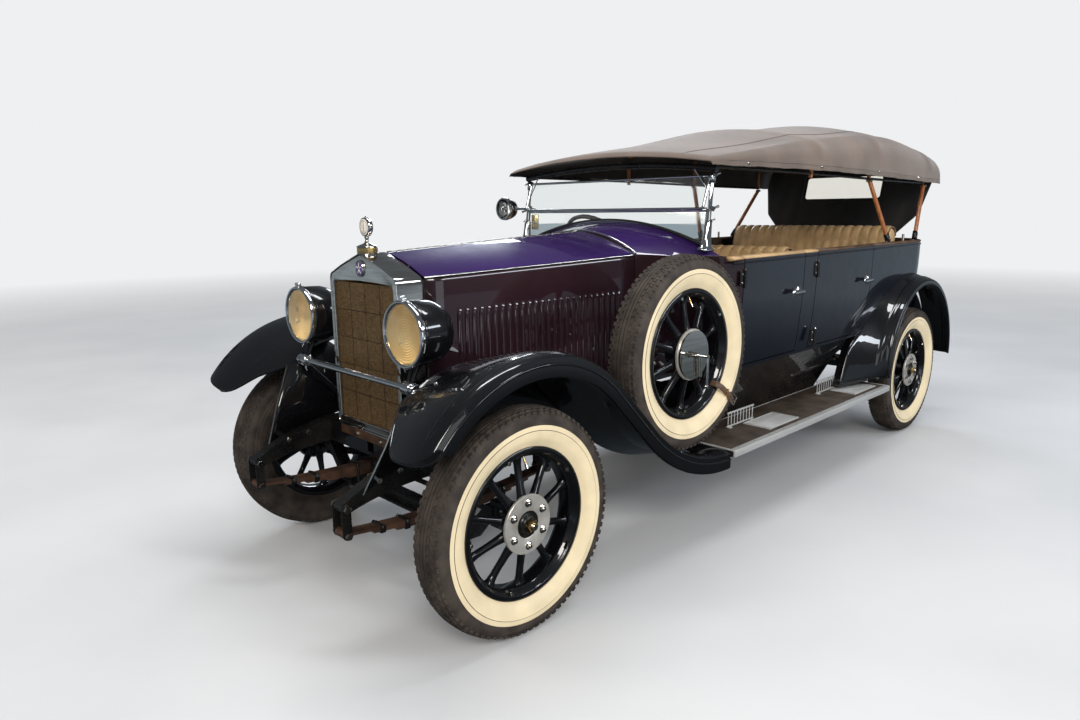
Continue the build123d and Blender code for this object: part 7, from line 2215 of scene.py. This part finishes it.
def screen_frame():
    """Posts with feet, the panes' channels, the top rail and their screws."""
    pieces = []
    for side in (1, -1):
        x = side * SCREEN_HALF
        pieces.append(oval_bar("post", screen_place(x, -0.02), screen_place(x, 1.005), 0.02, 0.026, "chrome",
            0.82))
        foot = screen_place(x, 0.0)
        foot.z = cowl_at(x)
        sections = []
        for lift, wide, deep in ((-0.004, 0.023, 0.052), (0.004, 0.022, 0.05), (0.012, 0.017, 0.034),
                (0.045, 0.014, 0.022), (0.11, 0.0125, 0.018), (0.116, 0.0105, 0.015)):
            centre = screen_place(x, lift / 0.324) if lift > 0.02 else foot + Vector((0, 0, lift))
            sections.append([centre + Vector((wide * copysign(abs(cos(a)) ** 0.7, cos(a)),
                deep * copysign(abs(sin(a)) ** 0.7, sin(a)), -0.26 * side * wide * cos(a) if lift < 0.02
                else 0.0)) for a in (tau * k / 24 for k in range(24))])
        pieces.append(paint(loft("post_foot", sections), "chrome"))
        for dy in (-0.036, 0.036):
            screw = foot + Vector((0, dy, 0.003))
            pieces.append(paint(rod("screw", screw, screw + Vector((0, 0, 0.005)), 0.0055, 16,
                end_radius=0.0042), "nickel"))
        pieces.append(oval_bar("head_clip", screen_place(x, 0.86), screen_place(x, 1.0), 0.026, 0.034, "chrome",
            1.0))
        for share, size in ((0.97, 0.013), (0.525, 0.017), (0.36, 0.011)):
            place = screen_place(x, share) + Vector((side * 0.01, 0, 0))
            pieces += wing_nut(place, side, size)
        stay = screen_place(x * 0.985, 0.74)
        pieces.append(paint(rod("stay", stay, at(side * 0.5, 1.268, 1.608), 0.0032, 12), "chrome"))
        arm = screen_place(x - side * 0.01, 0.52)
        swung = screen_place(x - side * 0.012, 0.535, 0.034)
        pieces.append(paint(rod("quadrant", arm, swung, 0.0038, 12), "chrome"))
    inner = SCREEN_HALF - 0.013
    pieces.append(oval_bar("top_rail", screen_place(-SCREEN_HALF, 0.995), screen_place(SCREEN_HALF, 0.995),
        0.014, 0.014, "chrome"))
    lower = [screen_place(-inner, 0.5), screen_place(inner, 0.5)]
    pieces.append(tube("lower_rail", lower, 0.0052, "chrome", sides=12, flat=1.4))
    for side in (1, -1):
        x = side * inner
        foot = screen_place(x, cowl_share(x, 0.006))
        pieces.append(tube("lower_side", [foot, screen_place(x, 0.5)], 0.0045, "chrome", sides=10))
    seal = [screen_place(x, cowl_share(x, 0.007)) for x in [(-1 + 2 * k / 24) * inner for k in range(25)]]
    pieces.append(tube("seal", seal, 0.007, "black_rubber", sides=12))
    corners = [screen_place(x, share, forward) for x, share, forward in ((-inner, 0.955, 0.0015),
        (inner, 0.955, 0.0015), (inner, 0.52, 0.034), (-inner, 0.52, 0.034))]
    ring = []
    for k, corner in enumerate(corners):
        before, after = corners[k - 1], corners[(k + 1) % 4]
        for t in (0.0, 0.25, 0.5, 0.75, 1.0):
            start, stop = (corner.lerp(other, 0.014 / (corner - other).length) for other in (before, after))
            ring.append(start * (1 - t) ** 2 + corner * 2 * t * (1 - t) + stop * t ** 2)
    pieces.append(tube("upper_channel", ring, 0.0062, "chrome", closed=True, sides=14))
    return pieces


def screen_panes():
    """The two panes of thin plate glass."""
    panes = []
    inner = SCREEN_HALF - 0.016
    low = [(x, cowl_share(x, 0.007)) for x in [(-1 + 2 * k / 16) * inner for k in range(17)]]
    lower = [(x, share, 0.0) for x, share in low] + [(inner, 0.5, 0.0), (-inner, 0.5, 0.0)]
    upper = [(-inner, 0.522, 0.034), (inner, 0.522, 0.034), (inner, 0.953, 0.0015), (-inner, 0.953, 0.0015)]
    for outline in (lower, upper):
        sections = [[screen_place(x, share, forward + off) for x, share, forward in outline]
            for off in (-0.0025, 0.0025)]
        panes.append(paint(loft("pane", sections, smooth=False), "glass"))
    return join("windscreen_panes", panes)


def cowl_mouldings():
    """Two bright mouldings and a leather roll along the scuttle's rear edge; the front moulding's copper tint
    is a painted brown reflection.
    """
    pieces = []
    half = 0.594
    columns = [(-1 + 2 * k / 48) * half for k in range(49)]
    # The front moulding is copper: polished metal with a painted brown reflection in its colour
    for y, lift, radius, material in ((1.2795, 0.001, 0.0085, "copper"), (1.2645, 0.0025, 0.0055, "chrome")):
        line = [at(x, y, cowl_at(x, lift)) for x in columns]
        pieces.append(tube("moulding", line, radius, material, sides=16))
    line = [at(x, 1.2785, cowl_at(x, -0.012)) for x in columns]
    pieces.append(tube("roll", line, 0.01, "piping", sides=16))
    joint = []
    for k in range(33):
        x = (-1 + 2 * k / 32) * 0.345
        rise = 0.098
        radius = (0.345 ** 2 + rise ** 2) / (2 * rise)
        joint.append(at(x, 1.0555, 1.338 - radius + sqrt(radius ** 2 - x ** 2) + 0.0035))
    pieces.append(tube("bonnet_band", joint, 0.0048, "chrome"))
    return pieces


def spot_lamp():
    """A small search lamp on the right-hand post: bowl, rim, lens, yoke and handle."""
    centre = Vector((-0.72, screen_place(0, 0.556, 0.022).y, screen_place(0, 0.556).z))
    bowl = lathe("bowl", [(-0.0445, 0.053), (-0.0445, 0.0605), (-0.038, 0.062), (-0.024, 0.062),
        (-0.022, 0.058), (0.0, 0.056), (0.022, 0.047), (0.038, 0.03), (0.0465, 0.01), (0.0472, 1e-4)], centre,
        (0, 1, 0), 48)
    paint(shade_by_angle(bowl, radians(28)), "frame", "chrome")
    for face in bowl.data.polygons:
        face.material_index = 1 if face.center.y < centre.y - 0.022 else 0
    reflector = lathe("reflector", [(-0.038, 0.0535), (-0.03, 0.05), (-0.01, 0.038), (0.006, 0.018),
        (0.01, 1e-4)], centre, (0, 1, 0), 40)
    glass = lathe("spot_glass", [(-0.0425, 1e-4), (-0.0425, 0.03), (-0.0405, 0.0535), (-0.0385, 0.0535),
        (-0.04, 0.03), (-0.0402, 1e-4)], centre, (0, 1, 0), 40)
    bulb = lathe("bulb", [(-0.018, 1e-4), (-0.015, 0.006), (-0.006, 0.009), (0.004, 0.006), (0.01, 0.004)],
        centre, (0, 1, 0), 20)
    pieces = [bowl, paint(reflector, "silver"), paint(bulb, "dial")]
    post = screen_place(-SCREEN_HALF, 0.556)
    pieces += painted("chrome", rod("yoke", post, centre + Vector((0.058, 0.004, 0)), 0.007, 16),
        rod("swivel", centre + Vector((0.05, 0.004, -0.012)), centre + Vector((0.05, 0.004, 0.014)), 0.0105, 20,
        bevel=0.002))
    pieces.append(paint(rod("grip", post, post + Vector((0.012, 0.085, -0.018)), 0.0085, 16, bevel=0.003),
        "black_rubber"))
    pieces.append(oval_bar("clamp", screen_place(-SCREEN_HALF, 0.52), screen_place(-SCREEN_HALF, 0.6), 0.034,
        0.04, "chrome"))
    return pieces, paint(glass, "clear")


class CAR_OT_screen(bpy.types.Operator):
    """The windscreen, its panes, the cowl mouldings and the spot lamp."""

    bl_idname = "car.screen"
    bl_label = "Windscreen"

    def execute(self, context):
        lamp, glass = spot_lamp()
        mirror = screen_place(-0.545, 0.33) + Vector((0, 0.022, 0.0))
        pieces = screen_frame() + cowl_mouldings() + lamp
        pieces.append(paint(block("mirror", mirror - Vector((0.026, 0.003, 0.04)),
            mirror + Vector((0.026, 0.003, 0.04)), 0.0025), "brass"))
        pieces.append(paint(rod("mirror_stem", mirror, screen_place(-SCREEN_HALF, 0.33), 0.0035, 12), "chrome"))
        frame_piece = join("windscreen_fittings", pieces)
        stand_in(frame_piece, "windscreen_frame")
        panes = screen_panes()
        stand_in(panes, "windscreen_glass")
        beside(glass, "windscreen_glass")
        return {"FINISHED"}


# Cabin: steering wheel, dash, pedals, levers and carpet

WHEEL_CENTRE = (-0.265, 1.5, 1.25)
COLUMN_ANGLE = radians(40)
RIM = 0.2


def wheel_frame():
    """The steering wheel's centre, axis towards the driver, and two directions across it."""
    centre = at(*WHEEL_CENTRE)
    axis = Vector((0, cos(COLUMN_ANGLE), sin(COLUMN_ANGLE)))
    across = Vector((1, 0, 0))
    return centre, axis, across, axis.cross(across)


def steering_wheel():
    """A wooden rim with finger grips on four tapered spokes."""
    centre, axis, across, up = wheel_frame()
    rim = []
    steps, sides = 144, 14
    for k in range(steps):
        angle = tau * k / steps
        grip = 0.001 * cos(36 * angle)
        out = across * cos(angle) + up * sin(angle)
        rim.append([centre + out * RIM + (out * cos(tau * j / sides) * 0.0115 + axis
            * (sin(tau * j / sides) * (0.012 + grip))) for j in range(sides)])
    pieces = [paint(loft("rim", rim, closed_path=True), "wheel_wood")]
    for number in range(4):
        angle = radians(45 + 90 * number)
        out = across * cos(angle) + up * sin(angle)
        side_dir = axis.cross(out)
        sections = []
        for share, wide, thick, drop in ((0.0, 0.015, 0.006, 0.014), (0.3, 0.011, 0.005, 0.013),
                (0.75, 0.0085, 0.0045, 0.006), (1.0, 0.01, 0.0045, 0.0)):
            place_at = centre + out * (0.018 + 0.178 * share) - axis * drop
            sections.append([place_at + side_dir * (cos(tau * j / 12) * wide) + axis
                * (sin(tau * j / 12) * thick) for j in range(12)])
        pieces.append(paint(loft("spoke", sections), "aluminium"))
    pieces.append(paint(lathe("hub", [(-0.175, 1e-4), (-0.175, 0.009), (-0.04, 0.009), (-0.038, 0.026),
        (-0.03, 0.03), (-0.012, 0.031), (-0.004, 0.028), (0.004, 0.02), (0.0055, 0.018)], centre, axis, 40),
        "nickel"))
    pieces.append(paint(lathe("horn_button", [(0.002, 0.0165), (0.007, 0.016), (0.0105, 0.01), (0.0112, 1e-4)],
        centre, axis, 32), "black_rubber"))
    return stand_in(join("steering_wheel_dressed", pieces), "steering_wheel")


def dial(x, z, radius, ticks):
    """A round instrument with a bezel, a pale face, marks and a needle."""
    face = at(x, 1.2715, z)
    pieces = [paint(lathe("bezel", [(-0.002, radius * 0.86), (0.006, radius * 0.86), (0.0085, radius * 0.92),
        (0.0075, radius), (-0.002, radius)], face, (0, 1, 0), 40), "nickel"),
        paint(lathe("dial_face", [(0.0022, 1e-4), (0.0022, radius * 0.88), (0.0, radius * 0.88)], face,
        (0, 1, 0), 36), "dial")]
    mark = block("mark", (-0.0004, -0.0002, radius * 0.68), (0.0004, 0.0003, radius * 0.8))
    pieces.append(repeat("marks", mark, ticks, "ink", face + Vector((0, 0.0024, 0)), (0, 0, 0), (0, 1, 0),
        radians(270) / (ticks - 1)))
    pieces.append(paint(block("needle", face + Vector((-0.0006, 0.0026, -radius * 0.1)),
        face + Vector((0.0006, 0.0032, radius * 0.62))), "ink"))
    return pieces


def dash_and_controls():
    """Instruments and switches on the dash, pedals, hand brake and gear lever."""
    pieces = [paint(block("panel", at(-0.205, 1.2695, 1.108), at(0.205, 1.2735, 1.236), 0.006), "wheel_wood")]
    for x, z, radius, ticks in ((-0.14, 1.172, 0.042, 13), (-0.045, 1.178, 0.028, 9), (0.03, 1.178, 0.028, 9),
            (0.125, 1.172, 0.036, 11)):
        pieces += dial(x, z, radius, ticks)
    for x in (-0.075, -0.01, 0.055):
        knob = at(x, 1.2735, 1.127)
        pieces.append(paint(lathe("knob", [(0.0, 0.004), (0.01, 0.004), (0.011, 0.009), (0.018, 0.009),
            (0.02, 1e-4)], knob, (0, 1, 0), 20), "nickel"))
    for x, y in ((-0.37, 1.215), (-0.285, 1.225), (-0.19, 1.24)):
        pieces.append(paint(rod("pedal_arm", at(x, y, 0.716), at(x, y + 0.055, 0.85), 0.0075, 14), "frame"))
        pieces.append(paint(block("pedal", at(x - 0.03, y + 0.052, 0.838), at(x + 0.03, y + 0.064, 0.9), 0.004),
            "black_rubber"))
    for x, y, lean, knob_material in ((-0.045, 1.45, -0.04, "ink"), (-0.1, 1.48, 0.03, "chrome")):
        foot, head = at(x, y, 0.714), at(x + 0.01, y + lean, 1.08)
        pieces.append(paint(rod("lever", foot, head, 0.0085, 16, end_radius=0.0065), "chrome"))
        pieces.append(paint(lathe("lever_knob", [(-0.022, 0.006), (-0.016, 0.015), (0.0, 0.019), (0.014, 0.015),
            (0.0205, 1e-4)], head, head - foot, 24), knob_material))
        pieces.append(paint(lathe("lever_gaiter", [(0.0, 0.042), (0.01, 0.04), (0.03, 0.02), (0.055, 0.011)],
            foot, (0, 0, 1), 24), "black_rubber"))
    return pieces


def carpets():
    """Carpet on the floors, low on the seat bases and on the back of the front seat, with a robe rail."""
    pieces = []
    for x, y0, y1, z in ((0.568, 1.275, 1.468, 0.7135), (0.585, 2.01, 2.846, 0.7135)):
        pieces.append(paint(block("carpet", at(-x, y0, z), at(x, y1, z + 0.008), 0.003), "carpet"))
    for y, half in ((1.5235, 0.596), (2.9035, 0.552)):
        pieces.append(paint(block("kick_carpet", at(-half, y, 0.722), at(half, y + 0.006, 0.849), 0.002),
            "carpet"))
    pieces.append(paint(block("rear_carpet", at(-0.575, 2.052, 0.852), at(0.575, 2.057, 1.15), 0.002),
        "carpet"))
    rail = [at(x, 2.078, 1.185) for x in (-0.5, 0.5)]
    pieces.append(tube("robe_rail", rail, 0.0085, "chrome", sides=16))
    for x in (-0.5, -0.17, 0.17, 0.5):
        pieces.append(paint(rod("rail_foot", at(x, 2.046, 1.178), at(x, 2.078, 1.185), 0.006, 14), "chrome"))
    return pieces


class CAR_OT_cabin(bpy.types.Operator):
    """Steering wheel, instruments, controls and carpets."""

    bl_idname = "car.cabin"
    bl_label = "Cabin"

    def execute(self, context):
        steering_wheel()
        beside(join("dash_and_controls", dash_and_controls()), "scuttle")
        beside(join("carpets", carpets()), "body_tub")
        return {"FINISHED"}


# Chassis fittings, spare strap and handle, lamps behind

SPRINGS = [
    # x, station of the middle, half length, leaf top, eye height, hanger height fore and aft,
    # reach and foot of its U-bolts
    (0.33, 0.0, 0.462, 0.362, 0.388, 0.48, 0.5, 0.036, 0.252),
    (0.43, 3.39, 0.508, 0.487, 0.516, 0.503, 0.562, 0.056, 0.352),
]
LEAF_CURVE = 3.5


def bolt(name, point, reach, radius, finish="nickel"):
    """A cross bolt with a hexagon at each end."""
    pieces = [rod(name, (point.x - reach, point.y, point.z), (point.x + reach, point.y, point.z), radius, 14)]
    for side in (1, -1):
        head = hexagon("nut", (0, 0, 0), side, radius * 1.9, radius * 1.3)
        head.data.transform(Matrix.Translation(point + Vector((side * reach * 0.88, 0, 0))))
        pieces.append(head)
    return paint(join(name, pieces), finish)


def shackle(x, station, low, high):
    """Two side plates and two bolts between a spring's eye and its hanger."""
    pieces = []
    for side in (1, -1):
        plate_x = x + side * 0.0315
        outline = []
        for middle_z, first, last in ((high, 0.0, pi), (low, pi, tau)):
            for k in range(9):
                angle = first + (last - first) * k / 8
                outline.append((0.0165 * cos(angle), middle_z + 0.0165 * sin(angle)))
        sections = [[at(plate_x + offset, station + y, z) for y, z in outline] for offset in (-0.0026, 0.0026)]
        pieces.append(paint(loft("plate", sections, smooth=False), "frame"))
    for z in (low, high):
        pieces.append(bolt("shackle_bolt", at(x, station, z), 0.042, 0.0075))
    return pieces


def spring_fittings():
    """Eyes, shackles, clips and U-bolts of the four springs."""
    pieces = []
    for side in (1, -1):
        for x, middle_y, half, top, eye, fore, aft, reach_y, low in SPRINGS:
            x = side * x
            for end, hanger in ((-1, fore), (1, aft)):
                y = middle_y + end * half
                pieces.append(paint(rod("eye", at(x - 0.028, y, eye), at(x + 0.028, y, eye), 0.015, 24),
                    "spring"))
                if abs(hanger - eye) > 0.03:
                    pieces += shackle(x, y, eye, hanger)
                else:
                    pieces.append(bolt("eye_bolt", at(x, y, eye), 0.04, 0.0075))
                for reach, leaves in ((0.225, 3), (0.325, 2)):
                    rise = reach * reach / LEAF_CURVE / 2
                    upper, lower = top + rise + 0.003, top + rise - 0.009 * leaves - 0.005
                    clip_y = middle_y + end * reach
                    pieces.append(paint(block("clip", at(x - 0.0315, clip_y - 0.01, lower),
                        at(x + 0.0315, clip_y + 0.01, upper), 0.0015), "frame"))
                    pieces.append(bolt("clip_bolt", at(x, clip_y, upper - 0.005), 0.037, 0.004))
            for end in (-1, 1):
                y = middle_y + end * reach_y
                hoop = [at(x - 0.034, y, low), at(x - 0.034, y, top + 0.004), at(x - 0.03, y, top + 0.009),
                    at(x + 0.03, y, top + 0.009), at(x + 0.034, y, top + 0.004), at(x + 0.034, y, low)]
                pieces.append(tube("u_bolt", hoop, 0.0055, "frame", sides=10))
                for reach in (-0.034, 0.034):
                    nut = hexagon("u_nut", (0, 0, 0), 1, 0.01, 0.01)
                    nut.data.transform(Matrix.Translation(at(x + reach, y, low + 0.006))
                        @ Matrix.Rotation(pi / 2, 4, "Y"))
                    pieces.append(paint(nut, "nickel"))
            if middle_y > 0:
                pieces.append(paint(block("plate", at(x - 0.046, middle_y - 0.07, 0.349),
                    at(x + 0.046, middle_y + 0.07, 0.357), 0.002), "frame"))
        pieces.append(bolt("dumb_bolt", at(side * 0.33, -0.33, 0.545), 0.03, 0.0065))
        pieces.append(bolt("dumb_bolt", at(side * 0.33, -0.245, 0.56), 0.03, 0.0065))
    return join("spring_fittings", pieces)


def spare_handle():
    """The bright crank that stands out of the spare's disc and hangs down."""
    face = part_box("spare_carrier")[1][0] + 0.0008
    y, z = SPARE.y, SPARE.z
    pieces = [rod("boss", (face - 0.001, y, z), (face + 0.008, y, z), 0.014, 28, bevel=0.002),
        rod("stub", (face + 0.006, y, z), (face + 0.048, y, z), 0.0065, 20, bevel=0.001)]
    arm = [Vector((face + 0.043, y, z + 0.008)), Vector((face + 0.0435, y, z - 0.05)),
        Vector((face + 0.042, y + 0.001, z - 0.122))]
    pieces.append(tube("arm", smooth_path(arm, 8), 0.0062, "chrome", sides=14, flat=0.6))
    pieces.append(rod("knob", (face + 0.036, y + 0.001, z - 0.122), (face + 0.048, y + 0.001, z - 0.122),
        0.0085, 20, bevel=0.002))
    return join("spare_handle", [paint(piece, "chrome") for piece in pieces])


STRAP = [  # x from the tyre's middle, distance from the wheel's axis
    (-0.034, 0.234), (0.01, 0.233), (0.04, 0.235), (0.06, 0.244), (0.0712, 0.27),
    (0.0738, 0.305), (0.0742, 0.338), (0.0722, 0.364), (0.067, 0.383), (0.058, 0.398),
    (0.042, 0.407), (0.02, 0.4085), (-0.02, 0.4085), (-0.043, 0.4065), (-0.059, 0.397)]


def spare_strap():
    """A leather strap round the spare tyre's lower rear quarter, with its buckle."""
    lean = radians(-40.0)
    across = Vector((0, -sin(lean), cos(lean)))
    along = Vector((0, cos(lean), sin(lean)))
    line = smooth_path([SPARE + along * reach + Vector((x, 0, 0)) for x, reach in STRAP], 5)
    sections = []
    for k, point in enumerate(line):
        before, after = line[max(k - 1, 0)], line[min(k + 1, len(line) - 1)]
        out = (after - before).normalized().cross(across).normalized()
        sections.append([point + across * a + out * b for a, b in ((-0.013, 0.0004), (-0.0115, -0.0014),
            (0.0115, -0.0014), (0.013, 0.0004), (0.0115, 0.0016), (-0.0115, 0.0016))])
    pieces = [paint(loft("band", sections), "strap")]
    centre = SPARE + along * 0.352 + Vector((0.0775, 0, 0))
    tilt = Vector((-0.007, 0, 0))
    corners = [centre + along * a + across * b - tilt * (a / 0.03) for a, b in ((-0.022, -0.0185),
        (-0.022, 0.0185), (0.022, 0.0185), (0.022, -0.0185))]
    pieces.append(tube("buckle", corners, 0.0026, "nickel", closed=True, sides=10))
    pieces.append(paint(rod("tongue", centre + along * -0.022, centre + along * 0.024, 0.002, 10), "nickel"))
    keeper = [centre + along * (-0.052 + a) + across * b + Vector((c, 0, 0))
        for a, b, c in ((0.0, -0.015, -0.004), (0.0, 0.015, -0.004), (0.0, 0.015, 0.001), (0.0, -0.015, 0.001))]
    pieces.append(tube("keeper", keeper, 0.0022, "brass", closed=True, sides=8))
    return join("spare_strap", pieces)


def tail_lamp(side):
    """A small drum lamp on the back of the frame, with a ruby glass."""
    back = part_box("chassis_frame")[1][1]
    y = back - 0.012
    x, z = side * 0.5, 0.64
    drum = [(y - 0.052, 0.0), (y - 0.05, 0.018), (y - 0.04, 0.028), (y - 0.02, 0.034), (y, 0.036), (y, 0.0)]
    pieces = [paint(lathe("drum", drum, (x, 0, z), (0, 1, 0), 40), "wing"),
        paint(lathe("rim", [(y - 0.001, 0.03), (y - 0.001, 0.038), (y + 0.005, 0.038), (y + 0.006, 0.03)],
        (x, 0, z), (0, 1, 0), 40), "nickel"), paint(lathe("ruby", [(y - 0.0005, 0.0), (y - 0.0005, 0.0305),
        (y + 0.004, 0.03), (y + 0.009, 0.016), (y + 0.01, 0.0)], (x, 0, z), (0, 1, 0), 40), "red"),
        paint(rod("stalk", (x, y - 0.03, z - 0.026), (side * 0.452, y - 0.06, 0.545), 0.008, 14), "frame")]
    return pieces


class CAR_OT_fittings(bpy.types.Operator):
    """Shackles, clips, U-bolts, the spare's crank and strap, and the tail lamps."""

    bl_idname = "car.fittings"
    bl_label = "Fittings"

    def execute(self, context):
        beside(spring_fittings(), "leaf_springs")
        beside(spare_handle(), "spare_carrier")
        beside(spare_strap(), "spare_carrier")
        lamps = [part for side in (1, -1) for part in tail_lamp(side)]
        beside(join("tail_lamps", lamps), "chassis_frame")
        post = [paint(rod("post", at(0.545, -0.215, 0.838), at(0.545, -0.215, 0.892), 0.0042, 12), "nickel"),
            paint(rod("top", at(0.545, -0.215, 0.889), at(0.545, -0.215, 0.897), 0.0065, 14, bevel=0.001),
            "nickel")]
        beside(join("wing_post", post), "front_wings")
        return {"FINISHED"}


# Stage

BACKDROP = (0.86, 0.87, 0.88, 1.0)


def studio_floor():
    """Pale floor that fades into the backdrop far away and stays dim in the paint's reflections."""
    material, tree, shader, coords = start_material("studio floor", Roughness=0.55)
    mottle = noise(tree, coords, 0.8, 4.0)
    tree.links.new(blend(tree, mottle, 0.35, 0.65, (0.6, 0.6, 0.6), (0.66, 0.655, 0.65)),
        shader.inputs["Base Color"])
    far = add_node(tree, "ShaderNodeVectorMath", [(0, coords)], operation="LENGTH").outputs["Value"]
    fade = spread(tree, far, 0.0, 1.0, 5.0, 17.0)
    seen = add_node(tree, "ShaderNodeEmission", [("Color", BACKDROP), ("Strength", 1.0)])
    glow = spread(tree, far, 0.05, 0.36, 2.6, 7.0)
    dim = add_node(tree, "ShaderNodeEmission", [("Color", (0.74, 0.88, 1.0, 1.0)), ("Strength", glow)])
    ray = add_node(tree, "ShaderNodeLightPath")
    plain = add_node(tree, "ShaderNodeMixShader", [(0, fade), (1, shader.outputs[0]), (2, seen.outputs[0])])
    mix = add_node(tree, "ShaderNodeMixShader", [(0, ray.outputs["Is Glossy Ray"]), (1, plain.outputs[0]),
        (2, dim.outputs[0])])
    tree.links.new(mix.outputs[0], tree.nodes["Material Output"].inputs["Surface"])
    return material


class CAR_OT_stage(bpy.types.Operator):
    """A pale floor and backdrop, soft lights and the camera at the photo's place."""

    bl_idname = "car.stage"
    bl_label = "Stage and camera"

    def execute(self, context):
        scene = context.scene
        floor = add_mesh("floor", [(-60, -60, 0), (60, -60, 0), (60, 60, 0), (-60, 60, 0)], [(0, 1, 2, 3)],
            smooth=False)
        floor.data.materials.append(studio_floor())
        world = bpy.data.worlds.new("studio")
        world.use_nodes = True
        tree = world.node_tree
        light = tree.nodes["Background"]
        light.inputs["Color"].default_value = (0.9, 0.94, 1.0, 1.0)
        light.inputs["Strength"].default_value = 0.62
        ray = add_node(tree, "ShaderNodeLightPath")
        mirrored = add_node(tree, "ShaderNodeBackground", [("Color", (0.8, 0.9, 1.0, 1)), ("Strength", 0.12)])
        seen = add_node(tree, "ShaderNodeBackground", [("Color", BACKDROP), ("Strength", 1.0)])
        clear = combine(tree, ray.outputs["Is Camera Ray"], ray.outputs["Is Transmission Ray"], "MAXIMUM")
        first = add_node(tree, "ShaderNodeMixShader", [(0, ray.outputs["Is Glossy Ray"]), (1, light.outputs[0]),
            (2, mirrored.outputs[0])])
        mix = add_node(tree, "ShaderNodeMixShader", [(0, clear), (1, first.outputs[0]), (2, seen.outputs[0])])
        tree.links.new(mix.outputs[0], tree.nodes["World Output"].inputs["Surface"])
        scene.world = world
        lamps = [
            # name, place, target, size, height, watts, colour
            ("key", (6.0, -5.5, 5.2), (0.2, -0.8, 0.8), 3.2, 2.0, 330.0, (1.0, 0.96, 0.9)),
            ("side", (7.5, 2.5, 4.0), (0.5, 0.4, 0.9), 5.5, 0.9, 230.0, (0.86, 0.92, 1.0)),
            ("front", (-4.5, -7.0, 3.6), (0.0, -1.6, 0.9), 2.6, 1.4, 150.0, (1.0, 0.93, 0.84)),
            ("top", (0.4, -0.4, 6.5), (0.0, 0.2, 0.8), 5.0, 0.8, 200.0, (0.95, 0.97, 1.0)),
            ("rim", (-5.5, 5.0, 4.4), (-0.2, 0.6, 1.0), 3.5, 0.9, 190.0, (0.85, 0.92, 1.0)),
            ("left card", (-7.5, -5.0, 1.6), (0.0, -1.0, 0.8), 4.0, 2.4, 34.0, (1.0, 0.97, 0.92)),
            ("right card", (9.0, -1.5, 1.5), (0.0, 0.0, 0.8), 5.0, 2.0, 34.0, (0.94, 0.97, 1.0)),
        ]
        for name, place_at, target, wide, high, watts, tone in lamps:
            data = bpy.data.lights.new(name, "AREA")
            data.shape = "RECTANGLE"
            data.size, data.size_y = wide, high
            data.energy = watts
            data.color = tone
            lamp = bpy.data.objects.new(name, data)
            scene.collection.objects.link(lamp)
            lamp.location = place_at
            lamp.visible_glossy = name not in ("front", "left card")
            lamp.rotation_euler = (Vector(target) - Vector(place_at)).to_track_quat("-Z", "Y").to_euler()
        azimuth, elevation, roll = 0.8023, 0.197, -0.0121
        back = Vector((sin(azimuth) * cos(elevation), -cos(azimuth) * cos(elevation), sin(elevation)))
        right = (-back).cross(Vector((0, 0, 1))).normalized()
        up = right.cross(-back)
        level = right * cos(roll) + up * sin(roll)
        upright = up * cos(roll) - right * sin(roll)
        data = bpy.data.cameras.new("camera")
        data.lens = 24.878
        camera = bpy.data.objects.new("camera", data)
        scene.collection.objects.link(camera)
        camera.matrix_world = Matrix.Translation(at(2.469, -1.6052, 1.4346)) @ Matrix((level, upright,
            back)).transposed().to_4x4()
        scene.camera = camera
        scene.view_settings.view_transform = "Standard"
        return {"FINISHED"}


class CAR_PT_panel(bpy.types.Panel):
    """Buttons for each group of pieces, with their sizes and colours."""

    bl_idname = "CAR_PT_panel"
    bl_label = "Touring car"
    bl_space_type = "VIEW_3D"
    bl_region_type = "UI"
    bl_category = "Touring car"

    def draw(self, context):
        column = self.layout.column(align=True)
        for operator in STEPS:
            column.operator(operator.bl_idname)
        box = self.layout.box()
        for group in (context.scene.car_sizes, context.scene.car_colours):
            for name in group.__annotations__:
                box.prop(group, name)


STEPS = (CAR_OT_finishes, CAR_OT_wheels, CAR_OT_wings, CAR_OT_radiator, CAR_OT_lamps, CAR_OT_bonnet,
    CAR_OT_hood, CAR_OT_seats, CAR_OT_body, CAR_OT_boards, CAR_OT_screen, CAR_OT_cabin, CAR_OT_fittings,
    CAR_OT_stage)
CLASSES = (CarSizes, CarColours) + STEPS + (CAR_PT_panel,)


def register():
    """Adds the classes and the scene's sizes and colours."""
    for item in CLASSES:
        bpy.utils.register_class(item)
    bpy.types.Scene.car_sizes = bpy.props.PointerProperty(type=CarSizes)
    bpy.types.Scene.car_colours = bpy.props.PointerProperty(type=CarColours)


def unregister():
    """Takes them away again."""
    del bpy.types.Scene.car_colours
    del bpy.types.Scene.car_sizes
    for item in reversed(CLASSES):
        bpy.utils.unregister_class(item)


def main():
    """Registers the classes and builds every piece in order."""
    register()
    for operator in STEPS:
        group, name = operator.bl_idname.split(".")
        getattr(getattr(bpy.ops, group), name)()


if __name__ == "__main__":
    main()
